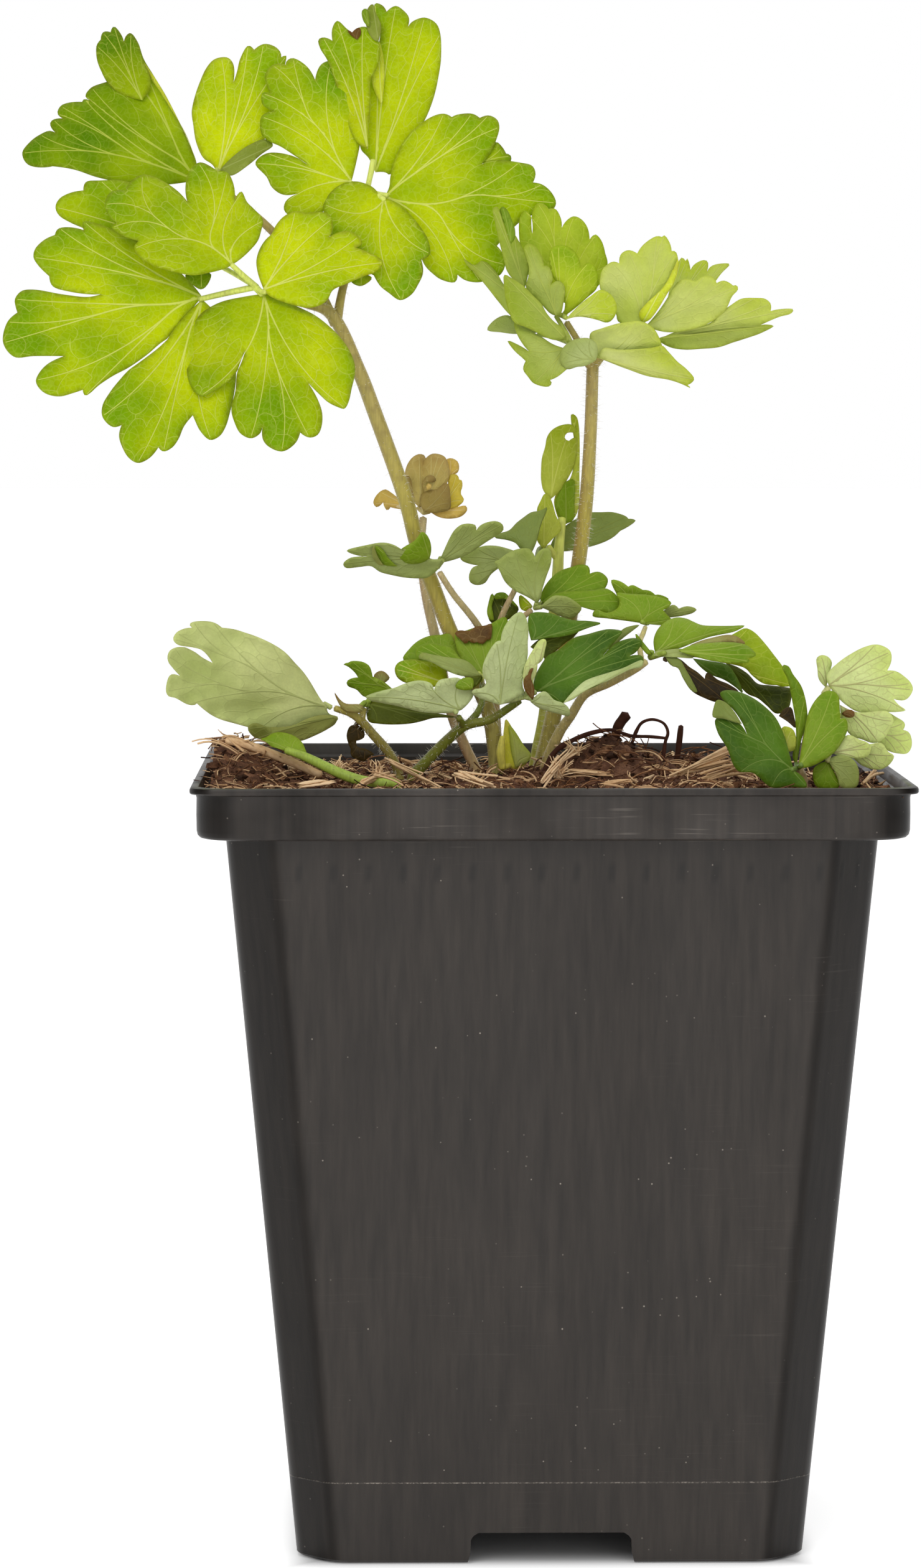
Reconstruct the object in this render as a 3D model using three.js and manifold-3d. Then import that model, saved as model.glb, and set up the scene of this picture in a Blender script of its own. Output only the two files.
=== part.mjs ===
// A young garden columbine in its square black nursery pot. Millimetres, +Z up, the front of the
// pot faces -Y. Every leaf blade, stalk and stem is drawn on a front elevation, the plane of the
// pot's front lip, as X and Z. place() carries a point of that elevation back to its own depth Y,
// along the line to the eye point that the elevation is drawn from, so the drawing keeps its look.
import * as THREE from 'three';
import { mergeVertices } from 'three/addons/utils/BufferGeometryUtils.js';
import Module from 'manifold-3d';

const wasm = await Module();
wasm.setup();

// ---- Driving sizes ------------------------------------------------------------------------
const POT = {
  height: 99, lip: 90, lipCorner: 2.75, lipThick: 0.9, // square lip, turned out at the very top
  band: 88.5, bandCorner: 6, bandHeight: 6.55, bandEdge: 0.7, // upright band under the lip
  neck: 81.6, neckChamfer: 6.1, // body where it meets the band
  foot: 64.4, footChamfer: 5, // body at the bottom
  wall: 1.1, ledge: 1.2, // sheet thickness, and the thickness of the step inside the band
  floor: 5, footDepth: 3.9, skirt: 1.5, // floor top, free height under the floor, skirt wall
  notchTop: 18.7, notchBottom: 22.3, // gap in the middle of each side of the foot
  pad: 20, // corner foot pads start this far from the middle
  drain: 6.5, drainAt: 16, // drainage holes in the floor
};
const CLEAR = 0.3; // free gap that separate pieces keep
const BLADE = 0.64; // thickness of a leaf blade
const EYE = new THREE.Vector3(-21, -695, 145.5); // the eye point of the front elevation
const FRONT = -POT.lip / 2; // the plane it is drawn on

const COLOUR = {
  pot: '#3c3936', soil: '#5b3f2a', lime: '#a9bf1e', green: '#7d9b2e', grey: '#86995c',
  deep: '#4f8427', pale: '#a5b886', brownLeaf: '#8b8646', olive: '#8d8b3c', purple: '#8a6d4a',
  dead: '#4a2f22', straw: '#bfa37c', sheath: '#c3c86a',
};

// ---- Geometry helpers ---------------------------------------------------------------------
function place(X, Z, y) {
  const t = (y - EYE.y) / (FRONT - EYE.y);
  return new THREE.Vector3(EYE.x + (X - EYE.x) * t, y, EYE.z + (Z - EYE.z) * t);
}

function toSolid(geometry) {
  geometry.deleteAttribute('normal');
  geometry.deleteAttribute('uv');
  const plain = mergeVertices(geometry, 1e-4);
  const mesh = new wasm.Mesh({
    numProp: 3,
    vertProperties: new Float32Array(plain.attributes.position.array),
    triVerts: new Uint32Array(plain.index.array),
  });
  const solid = new wasm.Manifold(mesh);
  if (solid.volume() > 0) return solid;
  for (let i = 0; i < mesh.triVerts.length; i += 3) {
    [mesh.triVerts[i], mesh.triVerts[i + 1]] = [mesh.triVerts[i + 1], mesh.triVerts[i]];
  }
  return new wasm.Manifold(mesh);
}

function fromPoints(points, triangles) {
  const g = new THREE.BufferGeometry();
  g.setAttribute('position', new THREE.Float32BufferAttribute(points.flatMap((p) => [p.x, p.y, p.z]), 3));
  g.setIndex(triangles.flat());
  return toSolid(g);
}

// Closed skin through a stack of rings with the same number of points.
function loft(rings) {
  const n = rings[0].length;
  const points = rings.flat();
  const tris = [];
  for (let k = 0; k + 1 < rings.length; k++) {
    for (let i = 0; i < n; i++) {
      const a = k * n + i, b = k * n + ((i + 1) % n);
      tris.push([a, b, b + n], [a, b + n, a + n]);
    }
  }
  for (let i = 1; i + 1 < n; i++) {
    tris.push([0, i + 1, i]);
    const top = (rings.length - 1) * n;
    tris.push([top, top + i, top + i + 1]);
  }
  return fromPoints(points, tris);
}

// Square ring: half size h, each corner given by four points, cut to a chamfer or turned to a radius.
function squareRing(h, corner, z, round = false) {
  const c = corner;
  const turn = [0, 30, 60, 90].map((d) => THREE.MathUtils.degToRad(d));
  const quarter = round
    ? turn.map((a) => [h - c + c * Math.cos(a), h - c + c * Math.sin(a)])
    : [[h, h - c * 1.12], [h - c * 0.1, h - c * 0.88], [h - c * 0.88, h - c * 0.1], [h - c * 1.12, h]];
  const ring = [];
  for (let q = 0; q < 4; q++) {
    for (const [x, y] of quarter) {
      const v = new THREE.Vector3(x, y, z).applyAxisAngle(new THREE.Vector3(0, 0, 1), (q * Math.PI) / 2);
      ring.push(v);
    }
  }
  return ring;
}

// Round tapered stalk through [X, Z, y, radius] points of the elevation. grow widens it evenly.
function stalk(way, { sides = 6, steps = 0, grow = 0, root = 0 } = {}) {
  const at = way.map(([X, Z, y]) => place(X, Z, y));
  const radii = way.map((p) => p[3] + grow);
  if (root) {
    at.unshift(at[0].clone().setZ(root));
    radii.unshift(radii[0]);
  }
  const curve = new THREE.CatmullRomCurve3(at, false, 'centripetal');
  const count = steps || (at.length - 1) * 2;
  const frames = curve.computeFrenetFrames(count, false);
  const rings = [];
  for (let k = 0; k <= count; k++) {
    const t = (k / count) * (at.length - 1);
    const i = Math.min(Math.floor(t), at.length - 2);
    const r = THREE.MathUtils.lerp(radii[i], radii[i + 1], t - i);
    const centre = curve.getPoint(k / count);
    const ring = [];
    for (let s = 0; s < sides; s++) {
      const a = (s / sides) * Math.PI * 2;
      ring.push(centre.clone()
        .addScaledVector(frames.normals[k], r * Math.cos(a))
        .addScaledVector(frames.binormals[k], r * Math.sin(a)));
    }
    rings.push(ring);
  }
  return loft(rings);
}

// One leaf blade. The outline starts at the base of the blade; T marks the tip of a tooth and S
// the notch between two. y is the depth of the base, a and b lean the blade across and up, fold
// creases it along its midline, curl bends its tip and roll its sides.
function blade([, y0, a, b, fold, curl, roll, text]) {
  const rim = text.trim().split(/\s+/).map((w) => w.replace(/^[TS]/, '').split(',').map(Number));
  const [X0, Z0] = rim[0];
  const middle = rim.reduce((m, p) => [m[0] + p[0] / rim.length, m[1] + p[1] / rim.length], [0, 0]);
  const axis = new THREE.Vector2(middle[0] - X0, middle[1] - Z0).normalize();
  const local = ([X, Z]) => [(X - X0) * axis.x + (Z - Z0) * axis.y, (Z - Z0) * axis.x - (X - X0) * axis.y];
  const length = Math.max(...rim.map((p) => local(p)[0]));
  const width = Math.max(...rim.map((p) => Math.abs(local(p)[1])));
  const depth = (p) => {
    const [s, n] = local(p);
    return y0 + a * (p[0] - X0) + b * (p[1] - Z0) + fold * Math.abs(n)
      + curl * (s / length) ** 2 + roll * (n / width) ** 2;
  };
  const half = (BLADE / 2) * Math.hypot(1, a, b);
  const side = (p, d) => place(p[0], p[1], depth(p) + d);
  const spun = (hub) => rim.every((p, i) => {
    const q = rim[(i + 1) % rim.length];
    const turn = (p[0] - hub[0]) * (q[1] - hub[1]) - (p[1] - hub[1]) * (q[0] - hub[0]);
    return turn * spin > 0.02;
  });
  const spin = Math.sign(THREE.ShapeUtils.area(rim.map((p) => new THREE.Vector2(...p))));
  const hub = [0.5, 0.4, 0.6, 0.3, 0.7, 0.2, 0.1]
    .map((t) => [X0 + axis.x * length * t, Z0 + axis.y * length * t]).concat([middle]).find(spun);
  const face = hub
    ? rim.map((_, i) => [i, (i + 1) % rim.length, rim.length])
    : THREE.ShapeUtils.triangulateShape(rim.map((p) => new THREE.Vector2(...p)), []).map(([i, j, k]) => {
      const turn = THREE.ShapeUtils.area([i, j, k].map((v) => new THREE.Vector2(...rim[v])));
      return turn * spin > 0 ? [i, j, k] : [i, k, j];
    });
  const flat = hub ? [...rim, hub] : rim;
  const n = flat.length;
  const points = [...flat.map((p) => side(p, -half)), ...flat.map((p) => side(p, half))];
  const tris = [];
  for (const [i, j, k] of face) tris.push([i, j, k], [i + n, k + n, j + n]);
  for (let i = 0; i < rim.length; i++) {
    const j = (i + 1) % rim.length;
    tris.push([j, i, i + n], [j, i + n, j + n]);
  }
  return fromPoints(points, tris);
}

const join = (solids) => wasm.Manifold.union(solids);

// Petioles: each way runs from the crown or a fork outwards, as [X, Z, depth, radius].
// A way listed under roots first goes straight down into its hole in the soil.
const PETIOLES = {
  tall_left_petiole: { colour: 'olive',
    roots: [
      [[-7.2, 101, 0, 1.05], [-7.4, 104, 0, 1.02], [-8.2, 108.5, -0.3, 1], [-10.2, 113, -0.6, 1],
        [-12.9, 118.3, -1, 1], [-14.9, 123.5, -1.3, 1], [-16.9, 128.8, -1.6, 1],
        [-18.2, 134, -2, 1], [-22.1, 145, -2.6, 0.95], [-24, 150, -2.8, 0.92],
        [-27.6, 157.2, -3, 0.8], [-30.8, 158.4, -4, 0.6], [-35.5, 160, -5.9, 0.48]],
    ],
    forks: [
      [[-26.9, 155.8, -2.9, 0.7], [-29.5, 161, -1, 0.6], [-35, 167.5, 1.4, 0.55],
        [-41, 172.4, 2.7, 0.5]],
      [[-26.8, 155.6, -2.8, 0.7], [-26, 160, -1, 0.55], [-24, 167, 1.2, 0.5],
        [-23.3, 171.3, 2.1, 0.45]],
    ],
  },
  tall_right_petiole: { colour: 'olive',
    roots: [
      [[-1.9, 100.8, 3, 1.15], [-1.4, 103, 2.8, 1.1], [-0.2, 108.2, 2.2, 1.05], [1.4, 118, 1, 1],
        [2.7, 125.9, 0, 0.95], [3.7, 134, -1.2, 0.9], [4.2, 141.8, -2.6, 0.82],
        [4.5, 151, -4, 0.78]],
    ],
    forks: [
      [[4.5, 150.6, -4, 0.6], [3.4, 152.6, -4.6, 0.45], [1.3, 156, -5.4, 0.42]],
      [[4.7, 150.8, -4, 0.6], [6, 152.2, -4.2, 0.45], [10.2, 154.8, -4.5, 0.42]],
      [[4.3, 150.5, -4, 0.55], [3, 152.1, -5.4, 0.42], [2.2, 153, -6.2, 0.4]],
    ],
  },
  young_brown_petiole: { colour: 'purple',
    roots: [
      [[-9.6, 100.8, 6, 0.7], [-11, 104, 6.2, 0.7], [-12.6, 107.8, 6.6, 0.68],
        [-14.6, 117, 7.2, 0.66], [-15.9, 123, 7.8, 0.62], [-16.5, 128, 8.4, 0.55],
        [-16.2, 132.2, 8.8, 0.5]],
    ],
  },
  mid_leaf_petiole: { colour: 'purple',
    roots: [
      [[-7, 100.9, 3.6, 0.62], [-7.3, 108, 3.2, 0.58], [-8, 116, 1.4, 0.52],
        [-9.7, 119.3, -1, 0.46], [-12.6, 123, -3.4, 0.42], [-14.2, 125.5, -4.7, 0.4]],
    ],
    forks: [
      [[-7.9, 115.5, 1.6, 0.45], [-6.6, 120.1, -2.2, 0.4], [-5, 123.4, -3.2, 0.36]],
      [[-7.9, 115.5, 1.6, 0.45], [-5.2, 119, -3.4, 0.38], [-3, 120.9, -5.3, 0.36]],
    ],
  },
  low_leaf_petiole: { colour: 'green',
    roots: [
      [[-17.5, 100.5, -9.5, 0.72], [-16.5, 101.6, -10.2, 0.72], [-13.3, 104.9, -12, 0.68],
        [-10.9, 106.8, -14, 0.62], [-8, 107.5, -15, 0.52], [-5.6, 109, -15.6, 0.48],
        [-4.4, 109.8, -16.3, 0.42]],
    ],
    forks: [
      [[-11.2, 106.6, -13.8, 0.5], [-11.9, 107.8, -15.6, 0.42]],
      [[-11, 106.7, -13.8, 0.5], [-9.4, 108.6, -12, 0.44], [-8.9, 110.5, -9.6, 0.4],
        [-9, 111.7, -8.2, 0.36]],
    ],
  },
  side_leaf_petiole: { colour: 'olive',
    roots: [
      [[-19.2, 100.6, -6, 0.62], [-20.3, 103.2, -8.6, 0.62], [-22.4, 105.7, -11.4, 0.6],
        [-24, 107.5, -13.4, 0.55], [-25.2, 108.3, -14.2, 0.45], [-27, 108.9, -15, 0.4]],
    ],
    forks: [
      [[-23.8, 107.3, -13.2, 0.5], [-23.5, 108.9, -12.9, 0.4]],
    ],
  },
  droop_leaf_petiole: { colour: 'olive',
    roots: [
      [[-1.2, 101.6, -1.5, 0.7], [0.5, 105.9, -3.5, 0.66], [1.8, 107.8, -5, 0.62],
        [3.7, 110.6, -7.5, 0.55], [6.7, 112, -10, 0.5], [10, 113.8, -12.6, 0.48],
        [11.1, 114.6, -13.2, 0.45]],
    ],
    forks: [
      [[10.6, 114.3, -12.8, 0.4], [10.3, 116.8, -10.5, 0.34], [10.7, 118, -8.2, 0.34],
        [11, 118.8, -6.9, 0.3]],
    ],
  },
  right_leaf_petiole: { colour: 'purple',
    roots: [
      [[30.4, 100.4, -26, 0.55], [29.9, 101.2, -26.8, 0.5]],
    ],
    forks: [
      [[30.1, 100.8, -26.4, 0.42], [30.5, 104, -25, 0.4], [31.2, 107.5, -24.6, 0.36],
        [32.4, 110, -23.7, 0.34]],
    ],
  },
};

// Leaves: the short stalks that carry the leaflets, and the leaflets themselves, as
// [side turned to the front, depth, across, up, fold, curl, roll, outline].
const LEAVES = {
  head_left_lower: { colour: 'lime',
    stalks: [
      [[-36.5, 160.3, -6.3, 0.42], [-38, 161.6, -7.6, 0.38], [-39.5, 163, -8.8, 0.34]],
      [[-36.6, 160.3, -6.2, 0.42], [-40, 159.6, -5.8, 0.4], [-43.5, 158.8, -5.6, 0.36]],
      [[-36.5, 160.3, -6.3, 0.38], [-36, 159.8, -7.2, 0.36], [-35.4, 159.7, -8, 0.34]],
      [[-36.7, 160.2, -6.4, 0.36], [-35.8, 159.3, -6.7, 0.34]],
      [[-37, 160.6, -6, 0.36], [-39, 161.8, -4, 0.34], [-41.2, 163, -1.6, 0.34]],
    ],
    blades: [
      ['top', -5.5, 0.2, 0.5, 0.05, 0, 0,
        `-43.3,158.8 -45.5,161.5 -50,164.5 T-57.1,168.7 S-57.4,167.2 T-60.6,167.4 S-61.1,166.1
         T-63.6,163.9 S-61.8,161.6 T-64.2,160.6 T-66.1,158.2 S-65.5,156.9 T-67,156 T-67.5,153.5
         S-60.2,152 T-63.3,149 S-57.8,147.7 T-57.2,147.1 -53.5,149.4 S-47.5,154`],
      ['top', -5.8, 0.2, 0.5, 0.05, 0, 0,
        `-43.3,158.8 -45.8,156.5 S-47.5,154 -50.5,151.4 -53.8,149 T-55.4,145 T-54.4,143.3
         S-53,143.8 T-53.3,141.8 T-50.8,138.5 S-48.5,140.9 T-47.5,140.2 S-44.2,145.5
         T-41.95,141.7 S-39.8,145.7 -39,149.5 -39.6,154.5`],
      ['top', -6.7, 0, 0.5, 0.06, 0, 0,
        `-35.3,159.6 -39.9,158.8 -42,158 -43.9,156.1 -44.9,153.6 -45,150.5 T-43.4,147 -40,149
         S-37.9,152.5 -39.3,147.3 -39.4,144.9 T-37.2,142 S-35.8,142.7 T-34,140.4 S-31.4,142.6
         T-30.3,142 -28.6,144.1 S-30.2,148.5 T-25.7,145.5 -24.6,151 -26.6,154.3 -28.8,156.1
         -31,157.6`],
      ['top', -9, 0.05, 0.6, 0.05, 0, 0,
        `-39.5,163.1 -40.7,162.2 -44.9,161.6 -48.7,162.5 T-51.4,164.7 S-50.2,165.9 T-54,167.5
         S-53.5,168.1 T-55,170.8 S-52.4,172 T-50,173.9 -48.3,173.4 S-44.7,170.5 -45,173.5
         T-43.4,175.5 S-41.2,174.4 T-39.9,174.2 -39.1,172 S-39.2,170.4 T-38.2,171.9 -37.2,170.6
         T-35.6,168 -36.3,165.9 -37.5,164.2`],
      ['top', -8.2, 0, 0.5, 0.05, 0, 0,
        `-35.6,159.6 -36.1,162 -36,164 -35,166.7 T-33.6,168.7 T-31.5,169.6 S-30.3,168.9
         T-28.3,169.2 T-27.1,168.2 S-27.7,165.9 T-24.8,167 -23.6,166.2 S-24.3,165 T-21,163.3
         -21.5,162.3 -23.6,161.5 -27.2,160 -29.3,157.8 -32.2,158.3`],
      ['top', -1.2, 0.05, 0.35, 0, 0, 0,
        `-41,163 -50,164 -57.5,167.4 T-60.9,169.7 -59.2,171.7 S-56.2,171.7 T-57.4,173
         T-54.9,173.2 -52.3,173.1 -46,170`],
    ],
  },
  head_left_upper: { colour: 'lime',
    stalks: [
      [[-41.9, 173, 3, 0.4], [-43.8, 173.3, 3.5, 0.34]],
      [[-41.9, 173, 3, 0.4], [-41.2, 174.6, 4, 0.34]],
    ],
    blades: [
      ['top', 3.5, 0, 0.6, 0.05, 0, 0,
        `-43.6,173.2 -43.9,176 -44.7,179 -46.9,182.6 -49,185.6 -50.4,188.7 T-51.7,191
         S-52.7,190.2 T-53.7,191.7 S-54.2,190.9 T-55.6,190.6 -55.6,187.5 S-55,184.6 T-57.2,184
         S-56.9,182.9 T-60.4,182 S-60.3,180.7 T-61.5,180.1 S-60.9,179.1 T-63.9,178 T-64.9,176.5
         -64.3,175.1 S-61.4,175.6 -57.4,174.2 -54,173.1`],
      ['top', 4, 0, 0.6, 0.05, 0, 0,
        `-41.2,174.3 -42.6,175.1 -43.9,177.8 -44.3,180.1 -44.1,182.6 -43.2,184.9 -42,187.2
         T-40.5,188.1 S-39.2,185.4 T-37.9,189 S-36.8,189.1 T-35.2,189.7 S-33.5,188.2
         T-32.9,188.2 -32.5,184 -34,180 -37,176.5`],
    ],
  },
  head_mid: { colour: 'lime',
    stalks: [
      [[-23, 172.1, 2.2, 0.4], [-23.8, 172.4, 2.1, 0.36], [-25.2, 173, 2, 0.34]],
      [[-23, 172.1, 2.2, 0.4], [-22.6, 173.8, 3.4, 0.36], [-22.1, 175.6, 4.5, 0.34]],
      [[-22.8, 173, 2.8, 0.36], [-22.3, 175.7, 3.2, 0.32]],
      [[-23, 172.1, 2.2, 0.4], [-21.8, 171.6, 1.8, 0.36], [-20.5, 171.4, 1.5, 0.34]],
      [[-23, 172.1, 2.2, 0.4], [-21.9, 171.5, 1.2, 0.34], [-20.9, 170.9, 0.3, 0.34]],
    ],
    blades: [
      ['top', 2, 0, 0.5, 0.05, 0, 0,
        `-25.1,172.9 -24.2,175.5 -23.5,179.9 -23.6,182.3 -24.3,184.6 -26,187 T-28.1,187.6
         S-29.3,185.6 -30.2,187.2 T-32.1,188 S-32.9,187 T-34.8,186.8 -35.4,184.9 S-35.1,184
         T-36,182.6 S-33.2,181.4 T-36.1,180.3 -35.9,178.6 -34.6,177.6 S-30.2,175.1 T-36.6,175.7
         -35.2,173.6 S-31.7,171.4 T-33.1,170.2 -31,168.6 -27.5,170`],
      ['top', 4.4, 0, 0.5, 0.04, 0, 0,
        `-22,175.3 -23.7,177 -23.5,182.3 -21.9,187.2 -21.5,190.5 T-22,194.8 S-20.7,194.1
         T-19.6,194.5 -18.2,193.5 S-18,192 T-16,193 S-15.2,192.6 T-14,191.3 -14,188.4
         -14.4,185.6 -15.3,182.7 -16.2,179.9 -17.9,177.5 -20.3,174`],
      ['top', 3.2, 0, 0.5, 0.04, 0, 0,
        `-22.3,175.5 -22.5,184.9 -21.9,186.8 -21.5,188.6 -21.6,190 T-23.6,191.8 S-24.8,191.2
         T-26.6,192.6 S-27.1,190 T-28.9,190.3 -27.7,187.8 -26.5,183 -24,177.5`],
      ['top', 1.5, -0.1, 0.3, 0.04, 0, 0,
        `-20.6,171.3 -20.1,173.3 -19.1,177 -16,180.1 T-14,181.2 S-13.1,180.5 T-10.8,181.3
         S-9.4,180.8 T-7.5,180.6 -7.4,177.7 S-8.9,175.4 T-4.4,175.5 -2.6,173.7 S-5.4,172
         T-2.7,173 T-.1,170.4 -1.5,167.5 S-7.2,165 T-6.2,162.6 S-11.7,161.6 T-12.8,160.8
         -14.6,161.6 -16,163.1 -18.5,168`],
      ['top', 0.3, 0, 0.5, 0.04, 0, 0,
        `-20.9,171 -22.2,172.3 -23.6,172.9 -25.5,173 -26.9,172.3 T-28.1,169.9 -26,166 -24,164
         S-22.5,162.8 -22,161.6 -20.7,159.5 T-18.6,158.7 -16.4,160.9 S-16.2,163.5 T-15.3,164.5
         -15.7,166.1 -16.7,168 -18.4,169.7`],
    ],
  },
  head_right_left: { colour: 'green',
    stalks: [
      [[1.8, 153.5, -6.6, 0.4], [1.2, 154, -7.6, 0.34]],
      [[1.8, 153.5, -6.6, 0.4], [1.2, 154.8, -5.8, 0.34], [0, 156.8, -5, 0.3]],
      [[1.8, 153.5, -6.6, 0.4], [0.6, 154.4, -5.6, 0.32]],
      [[1.8, 153.5, -6.6, 0.38], [-0.2, 154.2, -4.8, 0.3], [-2.2, 154.6, -4, 0.3]],
      [[1.8, 153.5, -6.6, 0.4], [1.9, 152.3, -8.2, 0.34]],
      [[1.8, 153.5, -6.6, 0.4], [2.6, 152.2, -8.4, 0.36], [3.5, 151.2, -9.6, 0.34]],
      [[1.8, 153.5, -6.6, 0.4], [3.4, 152.6, -7.4, 0.36], [5.4, 151.9, -7, 0.34]],
    ],
    blades: [
      ['under', -5, 0, -0.25, 0, 0, 0,
        `0,156.6 -3.9,160.2 -5.7,162.3 -6.5,164.6 T-7.6,170.1 S-6.6,168.8 T-6,169.8 S-5.2,166.8
         T-4.2,165 -3.3,162.6 -1,159`],
      ['top', -5.6, 0, 0.3, 0, 0, 0,
        `.8,154.2 -3.8,152.9 -5.1,155.1 -6.3,157.8 -7.3,158.5 -9,160.5 -10.1,161.8 T-11.3,163.7
         S-9.6,163 T-8.8,163.6 -7.3,161.8 -5.6,160 -2.4,159.1`],
      ['under', -7.6, 0, -0.3, 0, 0, 0,
        `1.3,153.7 .6,155 -.4,155.8 -1.4,157.8 -2.4,159.1 -3.9,160.1 -5.3,161.3 T-6.5,161.7
         -5.9,158.3 -5.1,157.1 -3.1,155.3 -.9,154.3`],
      ['top', -8.2, 0, 0.5, 0, 0, 0,
        `2,152.5 -1,153.6 -5.1,155.1 T-5.9,153.8 -3.9,151.6 S-3.6,150.9 T-2.3,148 -.5,147.7
         1.8,150`],
      ['top', -4, 0, 0.3, 0, 0, 0,
        `-2,154.5 -5.9,156.9 -7.9,155.9 T-8.5,155.1 -5.1,154.6`],
      ['under', -9.6, 0, -0.3, 0, 0, 0,
        `3.8,150.9 2.1,150.6 .5,151.1 .5,152.3 T1.5,153.4 T2.8,154.1 T4.3,154.2 5.2,153.4
         5,152.1`],
      ['under', -7, 0, -0.5, 0.04, 0, 0,
        `5.3,151.8 2.8,154.3 5,155.1 7.5,156 10.4,156.1 T11.9,155.3 12.7,154.1 S13.1,153.1
         14.1,152.2 15.5,151 T16.9,149.3 16.5,148.1 14.7,148.9 11.8,149.4 8.9,150.2 6.9,151`],
    ],
  },
  head_right_mid: { colour: 'green',
    stalks: [
      [[0.9, 156.8, -5.6, 0.36], [-0.2, 157.2, -6.6, 0.32]],
      [[0.9, 156.8, -5.6, 0.36], [0.7, 156.9, -5.8, 0.34]],
      [[0.9, 156.8, -5.6, 0.36], [1.2, 156.6, -7.5, 0.32]],
      [[0.9, 156.8, -5.6, 0.36], [1.8, 158.1, -3.7, 0.32]],
    ],
    blades: [
      ['under', -6.6, 0, -0.3, 0.04, 0, 0,
        `-.2,157 -.9,157.1 -3.7,160 -3.3,162.6 T-3.9,165.6 -3.1,165.3 -1.9,164.3 S-1.5,163
         T-.6,162.3 S-.7,160.9 T.5,161.2 1,159.3 .3,157.1`],
      ['under', -5.7, 0, -0.3, 0.04, 0, 0,
        `.8,156.5 .3,158 -.6,161.5 T-1,164 -.7,164.8 .3,165.3 1.6,165.2 2.6,164.3 S3,163.1
         T4.2,163.3 5,161.5 4.5,160.1 2.8,158.3`],
      ['under', -7.6, 0, -0.3, 0, 0, 0,
        `1.1,156.3 2.8,158.3 4,159.5 T5.8,160 7,159.3 T7.2,157.9 6.8,156.6 6,156 4.5,156.3
         2.8,156.3`],
      ['top', -3.6, 0, 0.15, 0.03, 0, 0,
        `2,158 -1.5,161 -3.6,164 -4.6,166.7 T-3.9,169.8 S-3,167.5 T-2.4,170.5 S-1.2,169
         T-.6,169.9 S.7,167.9 T2.3,168.9 3.5,168.5 S4,166.7 T4.8,166.8 5.7,166 6.3,163.5
         4.5,160`],
    ],
  },
  head_right_end: { colour: 'green',
    stalks: [
      [[10.9, 155.2, -4.7, 0.36], [10.5, 155.9, -5.7, 0.32]],
      [[10.9, 155.2, -4.7, 0.36], [11.2, 155.6, -4.8, 0.32]],
      [[10.9, 155.2, -4.7, 0.36], [11.3, 154.4, -3.8, 0.32]],
      [[10.9, 155.2, -4.7, 0.36], [12, 155.6, -3.6, 0.32], [13.3, 156.4, -2.6, 0.32]],
    ],
    blades: [
      ['under', -5.7, 0, -0.4, 0.04, 0, 0,
        `10.5,155.6 7.7,156.1 6.8,157 5.3,160 5.3,161.3 6.2,163 T7.2,163.4 S7.6,163.3
         T8.9,164.8 S10,164.5 T11.6,166.2 T12.9,166.7 S14,165.3 T14.8,164.4 14.4,161.3
         13.2,159.3 11.9,157.1`],
      ['under', -4.8, -0.1, -0.4, 0.03, 0, 0,
        `11,155.4 12.8,158.5 14.1,160.3 T16,161.4 S16.8,160.8 T18.5,161.8 S19.6,161 T21.4,160.9
         22.1,159.7 20.5,157.4 19.2,156.2 15,155`],
      ['under', -3.7, -0.1, -0.5, 0.03, 0, 0,
        `11,154.2 15,156 20.5,157.6 22.5,158.7 24.4,159 T26.3,158 S26.4,157.3 T28.9,157.6
         S26.2,156.2 T26.7,155.6 22.5,154.1 19.6,152.9 16.7,152.7 12.8,153`],
      ['top', -2.6, 0, 0.4, 0, 0, 0,
        `13,155.8 13.8,160 T15.3,163.9 S15.7,163.2 T16,163.5 S16.3,162.3 T18.1,163.6 S18.4,162
         T21.1,163.1 19.6,160.5 17,157`],
    ],
  },
  young_brown_leaf: { colour: 'brownLeaf',
    stalks: [
      [[-16.1, 132.9, 9, 0.4], [-16, 133.6, 8.4, 0.34]],
      [[-16.1, 132.9, 9, 0.4], [-15, 133.6, 10, 0.32]],
      [[-16.1, 132.9, 9, 0.4], [-15.4, 133, 9.2, 0.32]],
      [[-16.1, 132.9, 9, 0.4], [-16.8, 133.4, 10.3, 0.3]],
    ],
    blades: [
      ['under', 8.4, 0, -0.1, 0, 0, -1.5,
        `-16,133.3 -17.1,133.8 -17.8,134.9 -18.2,136.1 -18.4,137.5 -18.2,138.4 -17.8,139
         T-17.3,139.8 T-16.5,140.1 S-16,139.7 T-15.5,140 T-14.6,140 -13.8,139.5 T-13.4,138.9
         -13.05,137.8 -13,136.5 T-12.95,135.9 -13.2,134.9 -13.7,134.2 -14.95,133.6`],
      ['top', 10, 0, 0, 0, 0, 0,
        `-15,133.4 -13.6,136 -13.5,138 T-13.4,139.3 T-12.3,139.4 -11.7,138.6 -12.2,137.7
         S-12.6,137.2 T-11.6,136.8 -11.4,136 S-11.7,135.3 T-11.15,134.3 -11.8,133.7 -13,133.2`],
      ['top', 9.2, 0, 0, 0, 0, 0,
        `-15.8,132.9 -13.7,132.1 -12.4,131.9 -11.2,132.5 T-10.8,133.1 -11.2,133.6 -13,133.4
         -14.9,133.5`],
      ['top', 10.4, 0, 0, 0, 0, 0,
        `-16.4,133 -19,135.9 T-20.7,135.6 -21.5,135.4 -22.2,134.6 T-22.3,133.8 S-21.5,133.6
         T-20.3,133 -19,133`],
    ],
  },
  young_green_leaf: { colour: 'lime',
    roots: [
      [[-2.6, 101.6, 7.4, 0.75], [-1.4, 108, 6.8, 0.78], [-0.4, 118, 5.6, 0.8],
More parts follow.
